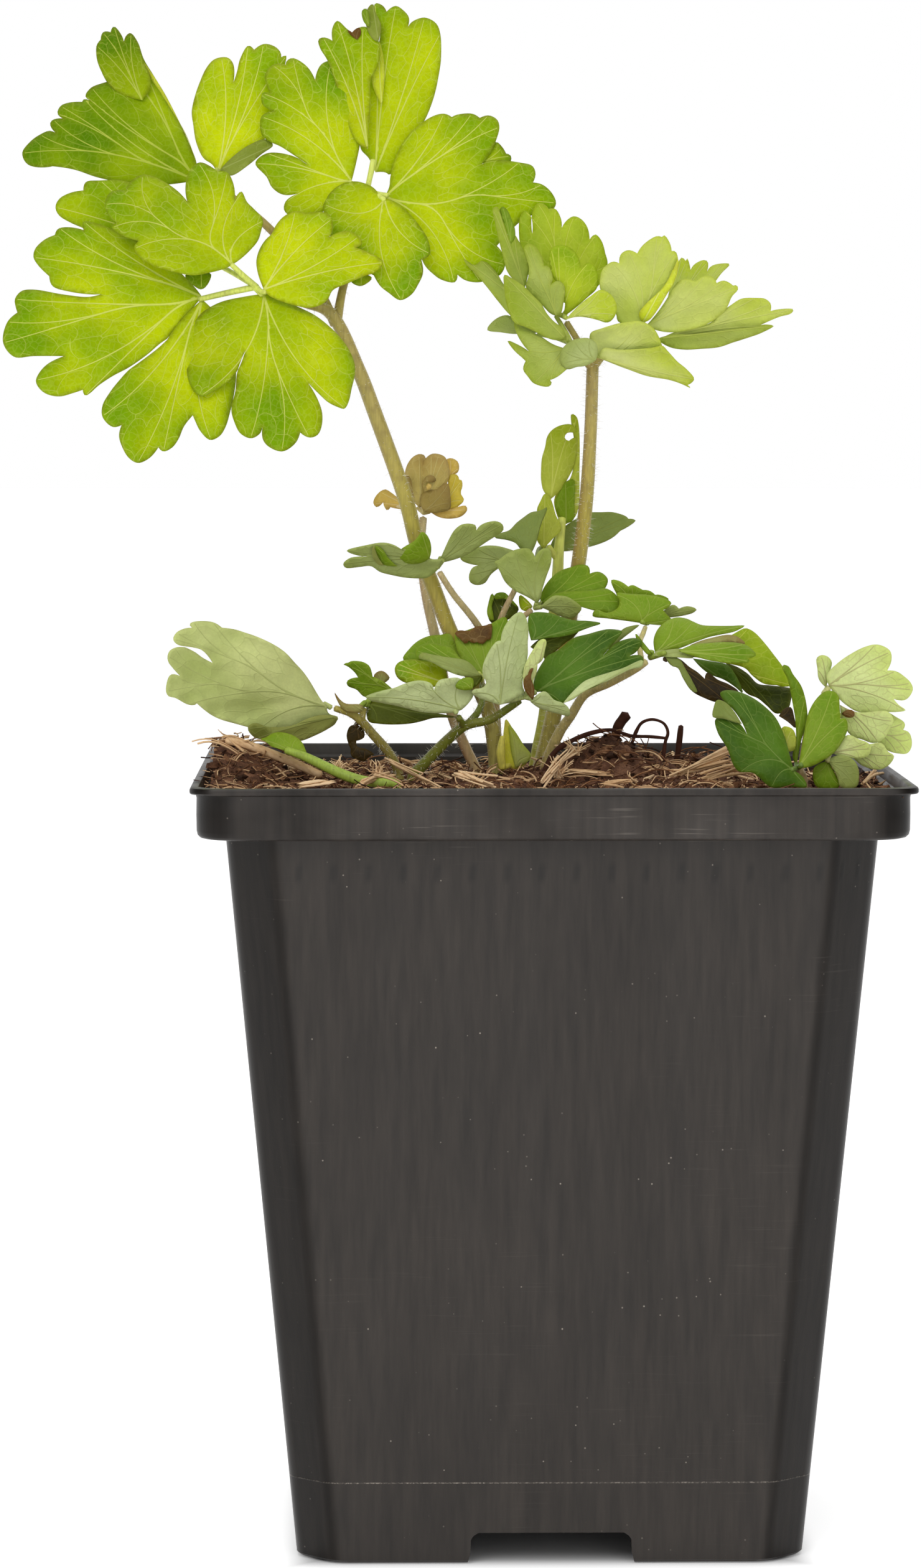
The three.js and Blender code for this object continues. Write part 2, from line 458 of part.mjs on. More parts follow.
        [0.2, 124.4, 4.9, 0.8], [0.4, 128.4, 4.6, 0.7], [0.8, 132.2, 4.6, 0.55]],
    ],
    stalks: [
      [[0.3, 127, 4.8, 0.5], [-0.9, 128.7, 3.6, 0.4]],
      [[0.6, 130.5, 4.6, 0.45], [-0.8, 132.9, 4.2, 0.4]],
    ],
    blades: [
      ['top', 4, 0, 0, 0, 0, 1,
        `-1.6,132.5 -2.3,133.7 -2,135 -1.7,137.3 -1.8,138.2 -1.7,139.5 -1.1,142 T-.4,142.9
         T.9,143.6 1.9,143.6 2,141.5 1.8,138.9 1.2,137.7 .2,136.9 -.35,135.6 -.7,134`],
      ['top', 5, 0, 0, 0, 0, 0,
        `.9,131.6 .3,134 .4,136.5 1,138 2,142.5 T1.9,144.9 T2.6,144.4 3,142 2.9,138 2.6,133`],
      ['under', 3.4, 0, 0, 0, 0, 0,
        `-1.4,128.4 -2.2,129.2 -1.9,131 -1.5,132.6 -.9,133.9 0,133 .8,131.1 -.2,129.6`],
    ],
  },
  mid_leaf_left: { colour: 'grey',
    stalks: [
      [[-14.5, 126.2, -5.1, 0.38], [-13.8, 127.1, -5.9, 0.34]],
      [[-14.5, 126.2, -5.1, 0.38], [-14, 127.4, -5, 0.34]],
    ],
    blades: [
      ['under', -6.2, 0, -1, 0, 0, 0,
        `-13.3,127.1 -15.3,127.4 -15.2,128.6 -15.5,129.6 T-16.1,130.4 -16.9,129.6 -17.7,129.1
         S-19.1,128.3 T-20.65,129.1 -22.3,128.9 -23.6,128.9 T-25.5,128.2 -24.2,127.9
         S-22.85,127.5 T-25.05,127.4 T-26.05,126.5 -25.6,126.1 -23.6,126.3 -21.5,125.9
         -20,125.3 -18.1,124.9 -16.4,124.7 -15.2,125.2 -14.2,126`],
      ['under', -5, 0, -1, 0, 0, 0,
        `-14.3,127.3 -13.7,128.3 -13.1,129.4 -12.2,130.7 -11.2,131.4 T-10.1,131.5 S-9.8,130.7
         T-8.4,131.7 -7.2,131.9 T-6.5,131.4 -6.4,130.6 -7.2,129.9 -8.2,129 -9.5,128.1
         -11.2,127.5 -12.9,127.2`],
    ],
  },
  mid_leaf_back: { colour: 'grey',
    stalks: [
      [[-4.8, 124, -3, 0.34], [-4.4, 126, -2.2, 0.32], [-3.6, 127.8, -1.5, 0.3]],
      [[-4.8, 124, -3, 0.34], [-6.2, 126.6, -2.8, 0.32]],
      [[-4.8, 124, -3, 0.34], [-3.4, 125.4, -0.5, 0.32], [-2.4, 127.2, 3.2, 0.3],
        [-1.9, 128.5, 5.8, 0.3], [-0.7, 128.6, 7, 0.3]],
    ],
    blades: [
      ['top', -1.5, 0, 0.4, 0, 0, 0,
        `-3.6,127.4 -4.4,128.3 -4.9,129 -5.9,129.4 -7.2,129.9 -5.5,131.3 -4.4,132.1 -2.3,133.1
         T-1,133.4 -1.5,132.1 -2.1,130.6 -2.4,129.2 -2.6,128.1`],
      ['under', -2.8, 0, -0.5, 0, 0, 0,
        `-6.2,126.4 -4.9,128.1 T-5.7,128.4 -7,128.7 -8.2,128.8 T-9.5,128.6 -10.7,128.1
         T-11.7,127.3 -10.5,126.5 S-9.6,126.2 T-10.65,125.2 -10.4,124.3 T-9.5,123.9 -8.4,124.6
         -7.6,125.6`],
      ['under', 7, 0, 0.1, 0, 0, 0,
        `-.9,128.2 -.3,129.7 .6,130.7 1.55,131.5 4,132.65 6.5,132.9 T8.8,132.3 S8.9,132.1
         T9.8,131.9 S8.2,130.7 T8,130.3 6.7,129.5 5.1,129 3.4,128.6 1.35,128.2`],
    ],
  },
  mid_leaf_centre: { colour: 'green',
    stalks: [
      [[-2.5, 121.2, -5.6, 0.34], [-2.3, 121.8, -6.5, 0.32]],
      [[-2.5, 121.2, -5.6, 0.34], [-1.8, 121.3, -7.3, 0.32]],
      [[-2.5, 121.2, -5.6, 0.34], [-1.7, 121.8, -4.8, 0.32]],
    ],
    blades: [
      ['under', -6.5, 0, -0.3, 0.05, 0, 0,
        `-2.3,121.5 -3.4,121.9 -4.9,122.9 -5.7,123.7 -6.5,124.8 -7.2,126 T-7.6,126.9 S-6.65,127
         -6.1,127.7 T-5.3,128.1 T-4.2,128.4 -3.2,128.4 S-2.5,127.4 -2.2,127.9 T-1.4,128.5
         -.8,128.45 T-.5,127.3 -.65,126.2 -.97,125.2 -1.3,124.1 -1.6,123.5 -1.9,122.4`],
      ['under', -7.4, 0, -0.6, 0.03, 0, 0,
        `-2,121.3 -1.1,122 T-.35,122.6 T.5,122.8 T1.35,122.6 2.1,122 T2.9,121.3 3.2,120.6
         2.1,120.1 .8,120.2 -.5,120.7`],
      ['top', -4.8, 0, 0.5, 0.03, 0, 0,
        `-1.9,121.6 -1.6,122.4 -1.1,123.3 -.35,124.45 .6,125.5 1.7,126.1 3.05,126.4 T4,126.3
         S4,125.15 T5.5,125.5 6.25,124.9 T6.5,124.3 S6.25,123.75 7,122.8 T7.65,122.3 T7.9,121.5
         7.6,120.95 6.5,120.2 4,120.6 1.5,121`],
    ],
  },
  right_upper_leaf: { colour: 'green',
    stalks: [
      [[11.2, 119.3, -6.6, 0.32], [10.5, 119.5, -7.3, 0.32]],
      [[11.2, 119.3, -6.6, 0.32], [10, 120.6, -4.8, 0.32], [8.9, 122, -3.4, 0.32]],
      [[11.2, 119.3, -6.6, 0.32], [12.4, 120.2, -4.4, 0.32]],
    ],
    blades: [
      ['top', -7.5, 0, 0.3, 0.03, 0, 0,
        `10.6,119.3 7.5,119.6 5,119.7 3.4,120.3 5.1,121.05 7,122.5 T8.9,123 10.4,122.9
         T11.4,122.75 13.4,122.4 T14.15,121.9 S13.1,120.95 T14.2,120 13.4,119.7 T13.35,119.1
         12.3,119.15`],
      ['under', -3.4, 0, -0.3, 0, 0, 0,
        `8.6,121.5 7.4,123 T6.8,124.7 8.6,124.1 T9.3,124 S9.6,123.7 T11,123.5 T11.75,123.15
         13.4,122.5 12,121`],
      ['under', -4.4, 0, -0.3, 0, 0, 0,
        `12,119.9 13.3,120.65 T14.6,121.6 S15.3,121.2 T16.5,121.3 T17.3,121.1 16.7,120.7
         14.6,120`],
    ],
  },
  low_leaf_left: { colour: 'pale',
    stalks: [
      [[-12.1, 108.3, -16.1, 0.36], [-12.4, 108.7, -16.1, 0.34]],
    ],
    blades: [
      ['under', -16, 0, -0.4, 0.05, 0, 0,
        `-12.1,108.3 -10.4,109.8 -9.9,110.6 -10.4,111.3 T-11.3,112.6 -12.5,112.5 T-13.6,112.4
         -14.4,112.1 S-14.85,110.9 -15.7,112 T-16.65,112.3 T-17.8,112.25 -18.9,111.8 -20.8,111
         T-23.1,110.1 -20.8,109.9 -18.9,109.4 -17,108.9 -15.5,108.5 -14.4,108.3 -13.2,108.1`],
    ],
  },
  low_leaf_lime: { colour: 'deep',
    stalks: [
      [[-9, 112.2, -7.8, 0.34], [-9.2, 112.9, -5.5, 0.32]],
      [[-9, 112.2, -7.8, 0.34], [-9.4, 113.2, -9.6, 0.32]],
      [[-9, 112.2, -7.8, 0.34], [-9, 113, -7.3, 0.32]],
    ],
    blades: [
      ['top', -5.5, 0, 0.45, 0, 0, 0,
        `-9,112.6 -11,110.5 -16,110.5 -19.7,112.6 T-19.7,113.6 T-18.5,114.75 -18,115.9
         -17,116.85 T-15.9,117.6 T-14.2,117.8 -13,118 -12,116 -10,114.5`],
      ['top', -9.6, 0, 0.5, 0, 0, 0,
        `-9.1,113.05 -11.3,112.95 -12.9,113.5 -14.2,114.2 -16.4,114.95 T-16.9,115.3 T-17,116.2
         -16.1,116.75 T-14.75,116.9 -13.4,116.65 -12.5,116.1 -11.7,115.1 -10,114.2`],
      ['top', -7.3, 0, 0.5, 0, 0, 0,
        `-8.8,112.6 -10.5,113.5 -11.8,115.5 -12.2,116.85 T-12.3,118 T-11.3,118.35 -10.4,118.65
         T-9.4,119 T-7.9,119.1 -7,119.5 T-6.4,120 -6,117 -7,114.5`],
    ],
  },
  low_leaf_front: { colour: 'deep',
    stalks: [
      [[-3.8, 110.3, -17, 0.36], [-5, 110, -17.2, 0.34], [-6.6, 109.7, -17.5, 0.34]],
      [[-3.8, 110.3, -17, 0.36], [-3.2, 111.4, -18.6, 0.32]],
      [[-3.8, 110.3, -17, 0.36], [-2.4, 110.9, -17, 0.34]],
      [[-3.8, 110.3, -17, 0.36], [-2.8, 111.2, -13.6, 0.32]],
      [[-3.8, 110.3, -17, 0.36], [-2.7, 110, -18.4, 0.32]],
    ],
    blades: [
      ['under', -17.5, 0, -0.4, 0.04, 0, 0,
        `-6.8,109.2 -7.9,109.3 -9.1,109.6 -9.9,110.4 T-10.6,111.05 S-9.5,111.5 -8.5,111.7
         -8.75,112.85 -8.7,114.2 -8.3,115.3 -7.7,116.3 T-7.1,116.95 S-6.7,117 -6.6,118.35
         -6,119.5 T-5.2,120.45 T-4.4,120.7 -3.8,120.25 -3.35,119.1 -3.3,117.4 -3.5,115.5
         -3.76,113.6 -3.85,112.1 -3.9,110.95 -4.9,110.4 -6,109.5`],
      ['under', -18.6, 0, -0.3, 0, 0, 0,
        `-3.2,111 -3.8,112.1 -3.6,113.8 -3,115.3 -2.2,116.5 T-1.3,117.4 -1.1,116.85 -1.2,115.5
         -1.5,114.4 -2.2,113.8 -2.8,112.85`],
      ['top', -17, -0.08, 0.5, 0.04, 0, 0,
        `-2.7,110.6 -2.5,112 -1.8,113.1 -1.2,114 -.3,114.8 .7,115.5 1.8,116.5 2.9,117.35
         T4.1,117.8 5,118.1 T6.9,118.6 8,118.4 T8.3,118 S5.7,115.2 6.9,116.4 8,117 T9.2,117.4
         T10.4,117.3 10.5,116.5 S9.1,115.2 T10.5,115.3 T10.9,114.8 10.5,113.9 9.2,113.6
         7.7,113.1 6.3,112.5 4.8,111.8 3.9,111.4 2.9,110.6 T1.3,109.4 .5,109.9 -1.2,110.9`],
      ['top', -13.6, 0, 0.4, 0, 0, 0,
        `-3,110.8 -3.3,113 -3.3,116.9 -3.3,118.2 T-3.1,119.15 -2.3,119.9 -1.2,120.2 T.1,120.2
         2,120 T3.7,119.8 4.8,119.4 T4.4,118.8 3,116 0,113`],
      ['under', -18.4, 0, -0.4, 0.05, 0, 0,
        `-2.9,109.8 -2.3,110.6 T-1.5,111 T-.3,109.97 .5,109.4 T1.7,108.7 T1.8,108.1 .1,108.1
         -1,108.5 -2,109.1`],
    ],
  },
  side_leaf_big: { colour: 'pale',
    stalks: [
      [[-27.5, 109, -15.1, 0.36], [-28.4, 109.5, -15.4, 0.34]],
    ],
    blades: [
      ['under', -15.4, 0.15, -0.5, 0.05, 0, 0,
        `-28,109.4 -28.9,110.8 -30,112.5 -31.3,113.9 -32.5,115.3 -34,116.4 -35.5,117.2
         -37.2,117.9 -38.8,118.5 S-40.7,118.8 T-42.2,119.5 T-44.5,119.3 S-44.4,118.8
         T-46.2,118.3 T-46.8,117.4 S-46.05,116.7 T-47.3,115.9 T-47.3,114.5 S-46.05,113.05
         T-47.3,113 T-47.7,111.2 -47.1,110.4 -45.2,109.4 S-43.7,109.4 T-42.2,108.3 -39.7,107.2
         S-37.7,106.4 T-36.7,105.3 T-34,104.9 -31.3,105.1 -29.8,105.5 -28.3,106.2 T-27,107.2
         -26.7,107.9 -27.8,108.4`],
    ],
  },
  side_leaf_small: { colour: 'grey',
    stalks: [
      [[-23.4, 109.4, -12.7, 0.36], [-23, 109.3, -12, 0.34]],
      [[-23.4, 109.4, -12.7, 0.36], [-22, 110.4, -10.6, 0.34], [-19.7, 111, -9, 0.32]],
      [[-23.4, 109.6, -12.7, 0.34], [-24, 109.1, -15.1, 0.3]],
    ],
    blades: [
      ['under', -9, 0, -0.5, 0, 0, 0,
        `-19.5,110.8 -20,111.8 -22.3,112.85 -22.7,114.1 T-23.5,114.55 -25,114.65 T-25.9,114.2
         S-24.2,112.75 T-25.2,112.4 T-25.5,111.8 -24.4,111.2 -22.9,110.1`],
      ['top', -12, 0, 0.6, 0.03, 0, 0,
        `-23.2,109.3 -22.6,107.4 T-21,106.9 -19.3,107 -17.6,107.2 T-16.1,107.5 -14.6,107.7
         T-12.5,107.9 -15,108.9 -19,110.2 -22,110.4`],
      ['under', -15.2, 0, 0, 0, 0, 0,
        `-23.7,108.4 -24.6,108.3 -25.6,108.7 -26.3,109.6 T-27,110.9 -25.7,109.4 -23.9,109.2`],
    ],
  },
  droop_leaf: { colour: 'deep',
    stalks: [
      [[11.6, 115.1, -13.6, 0.38], [11.8, 115.9, -14, 0.36]],
      [[11.6, 115.1, -13.6, 0.38], [13.4, 115.7, -16, 0.34]],
      [[11.6, 115.1, -13.6, 0.38], [12.9, 115.5, -11.6, 0.36], [14.4, 115.9, -9.5, 0.34]],
      [[12.9, 115.5, -11.6, 0.36], [14.4, 115.5, -10.8, 0.34]],
      [[14, 115.7, -10.2, 0.34], [16, 115.5, -8.4, 0.34], [18.4, 115.4, -6.5, 0.34]],
    ],
    blades: [
      ['top', -14, 0, 0.8, 0, 0, 0,
        `11.4,115.5 12,116.9 12.1,117.7 12.6,118.5 13.25,119.5 T14.3,119.9 T15.6,119.9
         16.8,119.7 17.8,119.2 19.1,119 20.6,118.85 T23.2,119 21.4,118 20.2,117.8 18.9,117.5
         17.7,117.1 16.4,116.6 14.95,116.2 13.25,115.7`],
      ['top', -16, 0, 0.7, 0, 0, 0,
        `13,115.6 15.6,116.3 17.5,116.9 19.8,117 T21.7,116.95 23.1,116.5 T24.7,115.5 24.4,115.1
         22.7,114.9 T23.8,114.5 23.1,114.3 20.6,114.7 18.5,115.1 16,115.3`],
      ['top', -9.5, 0, 0.5, 0, 0, 0,
        `14,115.9 18,117 21.5,117.8 T23.3,118.85 24.4,118.2 25.4,117.4 26.3,116.1 27.2,114.95
         27.9,113.8 28.7,112.75 T29,111.7 26.9,111.5 T25.8,111.7 24.8,111.9 22.9,113.3 19,115`],
      ['top', -10.8, 0, 0.5, 0, 0, 0,
        `14.2,115.5 16.8,114.8 17.4,114.2 18.5,113.2 19.8,112.2 21.4,111.5 T23.1,110.8
         22.5,111.7 21.8,113.2 21.6,114.8 18,116`],
      ['top', -6.5, 0, 0.5, 0, 0, 0,
        `18,115.5 20.2,115 21.4,113 T22.8,110.9 24,110.3 T25.8,108.6 27.5,108.1 T28.6,108.8
         29.2,109.8 T29,111.2 27.5,112.5 24,114.5 21,115.6`],
    ],
  },
  dead_leaflet: { colour: 'dead',
    stalks: [
      [[13.3, 115, -14.6, 0.34], [13.7, 114.8, -14.6, 0.34]],
    ],
    blades: [
      ['top', -14.6, 0, 0.2, 0, 0, 0,
        `13.3,115.1 14.1,114.2 14.9,113.8 15.8,112.55 17,111.1 18.5,110.1 20,109.5 T21.4,109.2
         T22.6,110.7 21.4,111.7 19.8,112.3 T19.1,113.1 S18.5,112.5 T17.4,113.3 15.95,114.3
         14.9,115.1`],
    ],
  },
  right_leaf_green: { colour: 'deep',
    stalks: [
      [[29.7, 101.6, -27.2, 0.4], [29.4, 101.4, -29, 0.36], [29, 101.3, -30.4, 0.34]],
      [[29.7, 101.6, -27.2, 0.4], [29.6, 102, -26.5, 0.34]],
      [[29.7, 101.6, -27.2, 0.4], [30, 101.7, -28.8, 0.36], [30.2, 101.9, -29.7, 0.34]],
    ],
    blades: [
      ['top', -30.5, 0.1, 0.4, 0.04, 0, 0,
        `29,101.2 28.8,102 28.1,103.9 27.7,105.6 27.3,106.7 26.3,108 25.2,109.3 23.95,110.2
         T22.5,110.85 T20.3,110.8 20.4,110 21.4,109 22.5,107.7 S23.45,106 21.7,107.5
         T20.4,107.9 T19.6,107.2 20,105.8 20.6,104.55 21.4,103.3 22.3,101.6 T23.95,101.1
         T26.3,99.3 29,99.3 T31,99.3 30,100.6`],
      ['top', -26.5, 0, 0, 0, 0, 0,
        `29.4,101.8 29.4,103.1 29.6,104.8 29.5,107.3 29.2,109.4 29,111.1 28.7,112.6 T27.9,114.1
         T28.5,114.1 29,113.4 29.4,112.45 30,111.5 T30.6,110.65 30.9,109.4 30.9,107.7
         30.6,106.2 30.2,104.6 29.9,101.85`],
      ['top', -29.8, 0, 0.35, 0.02, 0, 0,
        `29.9,101.4 30.2,103.1 30.5,105.2 30.8,106.9 31.3,108.35 32.1,109.6 T33,110.55
         T34.2,110.8 T35,109.9 S35,107.5 T35.8,107.1 35.8,105.8 35.3,104.6 34.5,103.5
         33.2,102.5 31.7,101.75`],
    ],
  },
  right_leaf_pale: { colour: 'pale',
    stalks: [
      [[32.9, 110.7, -23.3, 0.34], [33.5, 111.3, -22.5, 0.34]],
      [[32.9, 110.7, -23.3, 0.34], [33.4, 111.4, -21.5, 0.34]],
      [[32.9, 110.7, -23.3, 0.34], [33.7, 109.7, -24.2, 0.34], [34.5, 108.9, -24.8, 0.34]],
      [[32.9, 110.7, -23.3, 0.34], [33.4, 107, -24.6, 0.34], [33.6, 104.8, -26.4, 0.34],
        [33.6, 103.2, -27.8, 0.34], [33.4, 102.3, -28.2, 0.34]],
      [[33.5, 108.4, -23.9, 0.34], [34.8, 108, -22, 0.34], [36.4, 107.8, -20.6, 0.34]],
      [[33.6, 104.9, -26.5, 0.34], [34.4, 104.5, -27, 0.34]],
      [[33.6, 104.9, -26.5, 0.34], [34, 104.4, -27.6, 0.34]],
    ],
    blades: [
      ['under', -22.5, 0, -0.3, 0.03, 0, 0,
        `33.2,111 34,113 35.1,114.2 36.3,115.3 37.8,116.2 T39.5,116.6 T40.8,116.2 41.3,115.3
         S40.65,113.5 T42.2,113.3 43.7,111.9 T44,111 43.7,110 T42.4,109.7 S41.5,109.8 42.3,109
         T43.2,108.55 42,108.3 39.1,108.3 37,108.6 35.3,109.2 34,109.8`],
      ['under', -24.8, 0, -0.3, 0.03, 0, 0,
        `34.2,109.2 35.9,105.6 37.4,104.9 38.45,104.55 T39.5,104.7 40.5,105.4 T41.5,107.4
         40,108 37,108.9 35.2,109.6`],
      ['top', -20.6, 0, 0.3, 0, 0, 0,
        `36,108.5 40.5,108.2 T41.6,108 42.65,107.3 S42.65,106.25 T43.3,105.9 43.8,105.2
         T43.9,104.35 43.4,103.3 T42,103.1 S40.75,103.7 38.5,105`],
      ['under', -27, 0, -0.3, 0, 0, 0,
        `34,104.9 35.8,103 36.75,102.15 37.8,101.6 T39.1,101.2 40.3,101.3 T41.4,102.2
         T41.7,102.9 41.2,103.5 40,104.3 37.5,105.3`],
      ['under', -27.8, 0, 0, 0, 0, 0,
        `33.6,103.8 35.1,104.2 35.9,105 T37,105.1 38.2,104.8 T38.9,104.1 38.75,103.5 T38,102.8
         37,102.55 35.7,102.6 34,102.8`],
      ['under', -28.2, 0, 0, 0, 0, 0,
        `32.8,102.6 34.85,102.8 36.5,102.5 37.1,101.2 T37.3,99.95 36.9,99.3 T35.3,99.3
         34.65,99.95 33.9,101`],
      ['under', -21.5, 0, 0, 0, 0, 0,
        `33.2,111 32.35,112.4 32.2,113 32,114.2 T32.2,115.2 T33.2,115.2 33.8,114.4 33.85,113.6
         33.6,112`],
    ],
  },
  soil_shoot: { colour: 'green',
    roots: [
      [[-19.6, 99.6, -25, 0.7], [-21, 99.65, -25, 0.7], [-22.4, 99.75, -25, 0.7],
        [-24.5, 100.2, -24.6, 0.7], [-26.6, 101, -24, 0.68], [-28.7, 102, -23, 0.64],
        [-30.8, 103, -22, 0.58], [-33, 103.8, -21.1, 0.5]],
    ],
    stalks: [
    ],
    blades: [
      ['top', -21, 0, 0.6, 0, 0, 0,
        `-33,103.6 -34.2,104.1 T-35.4,104.9 -35.1,105.7 -33.8,106 -32.5,105.9 -31.5,105.3
         T-30.8,104.3 -30.7,103.4 -31.6,103.2`],
    ],
  },
  withered_leaf: { colour: 'dead',
    stalks: [
      [[-24.3, 107.1, -12.2, 0.3], [-24.6, 106.6, -12.2, 0.3]],
    ],
    blades: [
      ['top', -12.2, 0, 0, 0, 0, 0,
        `-24.5,106.9 -25.3,106.4 T-25.6,105.2 -25.3,104 -24.6,103 -23.6,102.4 T-22.9,102.7
         -22.4,103.2 -23.2,103.9 -24,104.6 -23.6,105.4 -23.8,106.2`],
    ],
  },
  crown_sheath: { colour: 'sheath',
    stalks: [
      [[-6.5, 101.5, -3, 0.5], [-6.7, 103.6, -3.2, 0.6], [-6.5, 105.4, -3.2, 0.34]],
      [[-6.5, 101.6, -2.8, 0.4], [-5.6, 101.9, -2, 0.34]],
    ],
    blades: [
      ['top', -1.9, 0, 0, 0, 0, 0,
        `-4.6,101.4 -6.9,102 -7,106 T-6.3,107.6 -5.1,106.2 -3.9,104.4 T-3.2,103.3 -3.6,102.2`],
    ],
  },
};

// ---- Pot ----------------------------------------------------------------------------------
// Thin moulded pot: turned-out lip, upright band, tapered square body with cut corners, and a
// foot skirt under the floor with a gap in each side.
function potBody() {
  const P = POT, top = P.height;
  const bandTop = top - P.lipThick, bandFoot = top - P.bandHeight;
  const half = (w) => w / 2;
  const slope = (z) => THREE.MathUtils.lerp(half(P.foot), half(P.neck), z / bandFoot);
  const cut = (z) => THREE.MathUtils.lerp(P.footChamfer, P.neckChamfer, z / bandFoot);
  const body = loft([0, bandFoot + 0.5].map((z) => squareRing(slope(z), cut(z), z)));
  const band = loft([
    squareRing(half(P.band) - P.bandEdge, P.bandCorner - P.bandEdge, bandFoot, true),
    squareRing(half(P.band) - P.bandEdge * 0.3, P.bandCorner - P.bandEdge * 0.3, bandFoot + P.bandEdge * 0.3, true),
    squareRing(half(P.band), P.bandCorner, bandFoot + P.bandEdge, true),
    squareRing(half(P.band), P.bandCorner, bandTop + 0.2, true),
  ]);
  const lip = loft([
    squareRing(half(P.lip) - 0.15, P.lipCorner, bandTop, true),
    squareRing(half(P.lip), P.lipCorner, bandTop + 0.25, true),
    squareRing(half(P.lip), P.lipCorner, top - 0.25, true),
    squareRing(half(P.lip) - 0.25, P.lipCorner, top, true),
  ]);
  const foot = join([
    underside(P.foot / 2 - P.skirt),
    ...[0, 1].map((k) => footNotch().rotate([0, 0, 90 * k])),
  ]);
  const drains = [-1, 1].flatMap((i) => [-1, 1].map((j) => toSolid(
    new THREE.CylinderGeometry(P.drain / 2, P.drain / 2, 8, 16).rotateX(Math.PI / 2)
      .translate(i * P.drainAt, j * P.drainAt, P.floor),
  )));
  return join([body, band, lip]).subtract(potInside(0)).subtract(foot).subtract(join(drains));
}

// The hollow of the pot, drawn in by `gap` on every side for what fills it.
function potInside(gap) {
  const P = POT, bandFoot = P.height - P.bandHeight, ledge = bandFoot + P.ledge;
  const neck = P.neck / 2 - P.wall - gap;
  const at = (z) => THREE.MathUtils.lerp(P.foot / 2 - P.wall - gap, neck, z / ledge);
  const cut = (z) => THREE.MathUtils.lerp(P.footChamfer, P.neckChamfer, z / ledge) - 0.3;
  const low = loft([P.floor + gap, ledge + gap + 0.2].map((z) => squareRing(at(z), cut(z), z)));
  const high = loft([
    squareRing(P.band / 2 - P.wall - gap, P.bandCorner - 1, ledge + gap, true),
    squareRing(P.band / 2 - P.wall - gap, P.bandCorner - 1, P.height - 1.8, true),
    squareRing(P.band / 2 - P.wall + 0.6 - gap, P.bandCorner - 1.4, P.height - 1.6, true),
    squareRing(P.band / 2 - P.wall + 0.6 - gap, P.bandCorner - 1.4, P.height + 12, true),
  ]);
  return low.add(high);
}

// Free space under the floor, between the foot skirt and the four corner pads.
function underside(h) {
  const bar = (x, y) => toSolid(new THREE.BoxGeometry(x, y, POT.footDepth + 2)
    .translate(0, 0, POT.footDepth - (POT.footDepth + 2) / 2));
  return bar(2 * h, 2 * POT.pad).add(bar(2 * POT.pad, 2 * h));
}

function footNotch() {
  const { notchTop: a, notchBottom: b, footDepth: d } = POT;
  const shape = new THREE.Shape([
    new THREE.Vector2(-b / 2, -1), new THREE.Vector2(b / 2, -1), new THREE.Vector2(a / 2 + 0.5, d - 0.9),
    new THREE.Vector2(a / 2 - 0.7, d), new THREE.Vector2(-a / 2 + 0.7, d), new THREE.Vector2(-a / 2 - 0.5, d - 0.9),
  ]);
  const g = new THREE.ExtrudeGeometry(shape, { depth: POT.lip, bevelEnabled: false });
  g.translate(0, 0, -POT.lip / 2).rotateX(Math.PI / 2);
  return toSolid(g);
}

// ---- Soil ---------------------------------------------------------------------------------
// Fibrous compost: highest at the left edge and in the clump right of the crown, sunken at the
// back and in the right rear corner.
const MOUNDS = [ // x, y, height, reach in x, reach in y
  [-41, -8, 5.3, 7.5, 16], [8, -4, 5.2, 7, 8], [20, 15, 1.5, 9, 12],
  [40, 30, -7, 9, 15], [33, -33, -1.4, 9, 9], [-25, -25, -0.3, 8, 8],
];
function soilHeight(x, y) {
  let z = 97.3 - 1.7 * THREE.MathUtils.smoothstep(y, 10, 42);
  for (const [mx, my, h, rx, ry] of MOUNDS) z += h * Math.exp(-(((x - mx) / rx) ** 2) - ((y - my) / ry) ** 2);
  z += 0.22 * Math.sin(x * 1.31 + y * 0.4) * Math.sin(y * 1.13 - x * 0.3) + 0.16 * Math.sin(x * 2.3 - y * 1.9);
  return z;
}

function soilBody() {
  const n = 16, w = 45, bottom = 3;
  const points = [], tris = [];
  for (let j = 0; j <= n; j++) {
    for (let i = 0; i <= n; i++) {
      const x = -w + (2 * w * i) / n, y = -w + (2 * w * j) / n;
      points.push(new THREE.Vector3(x, y, soilHeight(x, y)));
    }
  }
  const id = (i, j) => j * (n + 1) + i;
  for (let j = 0; j < n; j++) {
    for (let i = 0; i < n; i++) {
      tris.push([id(i, j), id(i + 1, j), id(i + 1, j + 1)], [id(i, j), id(i + 1, j + 1), id(i, j + 1)]);
    }
  }
  const edge = [];
  for (let i = 0; i < n; i++) edge.push(id(i, 0));
  for (let j = 0; j < n; j++) edge.push(id(n, j));
  for (let i = n; i > 0; i--) edge.push(id(i, n));
  for (let j = n; j > 0; j--) edge.push(id(0, j));
  const first = points.length;
  for (const k of edge) points.push(new THREE.Vector3(points[k].x, points[k].y, bottom));
  const centre = points.push(new THREE.Vector3(0, 0, bottom)) - 1;
  edge.forEach((k, e) => {
    const f = (e + 1) % edge.length;
    tris.push([k, first + e, first + f], [k, first + f, edge[f]], [centre, first + f, first + e]);
  });
  return fromPoints(points, tris).intersect(potInside(CLEAR));
}

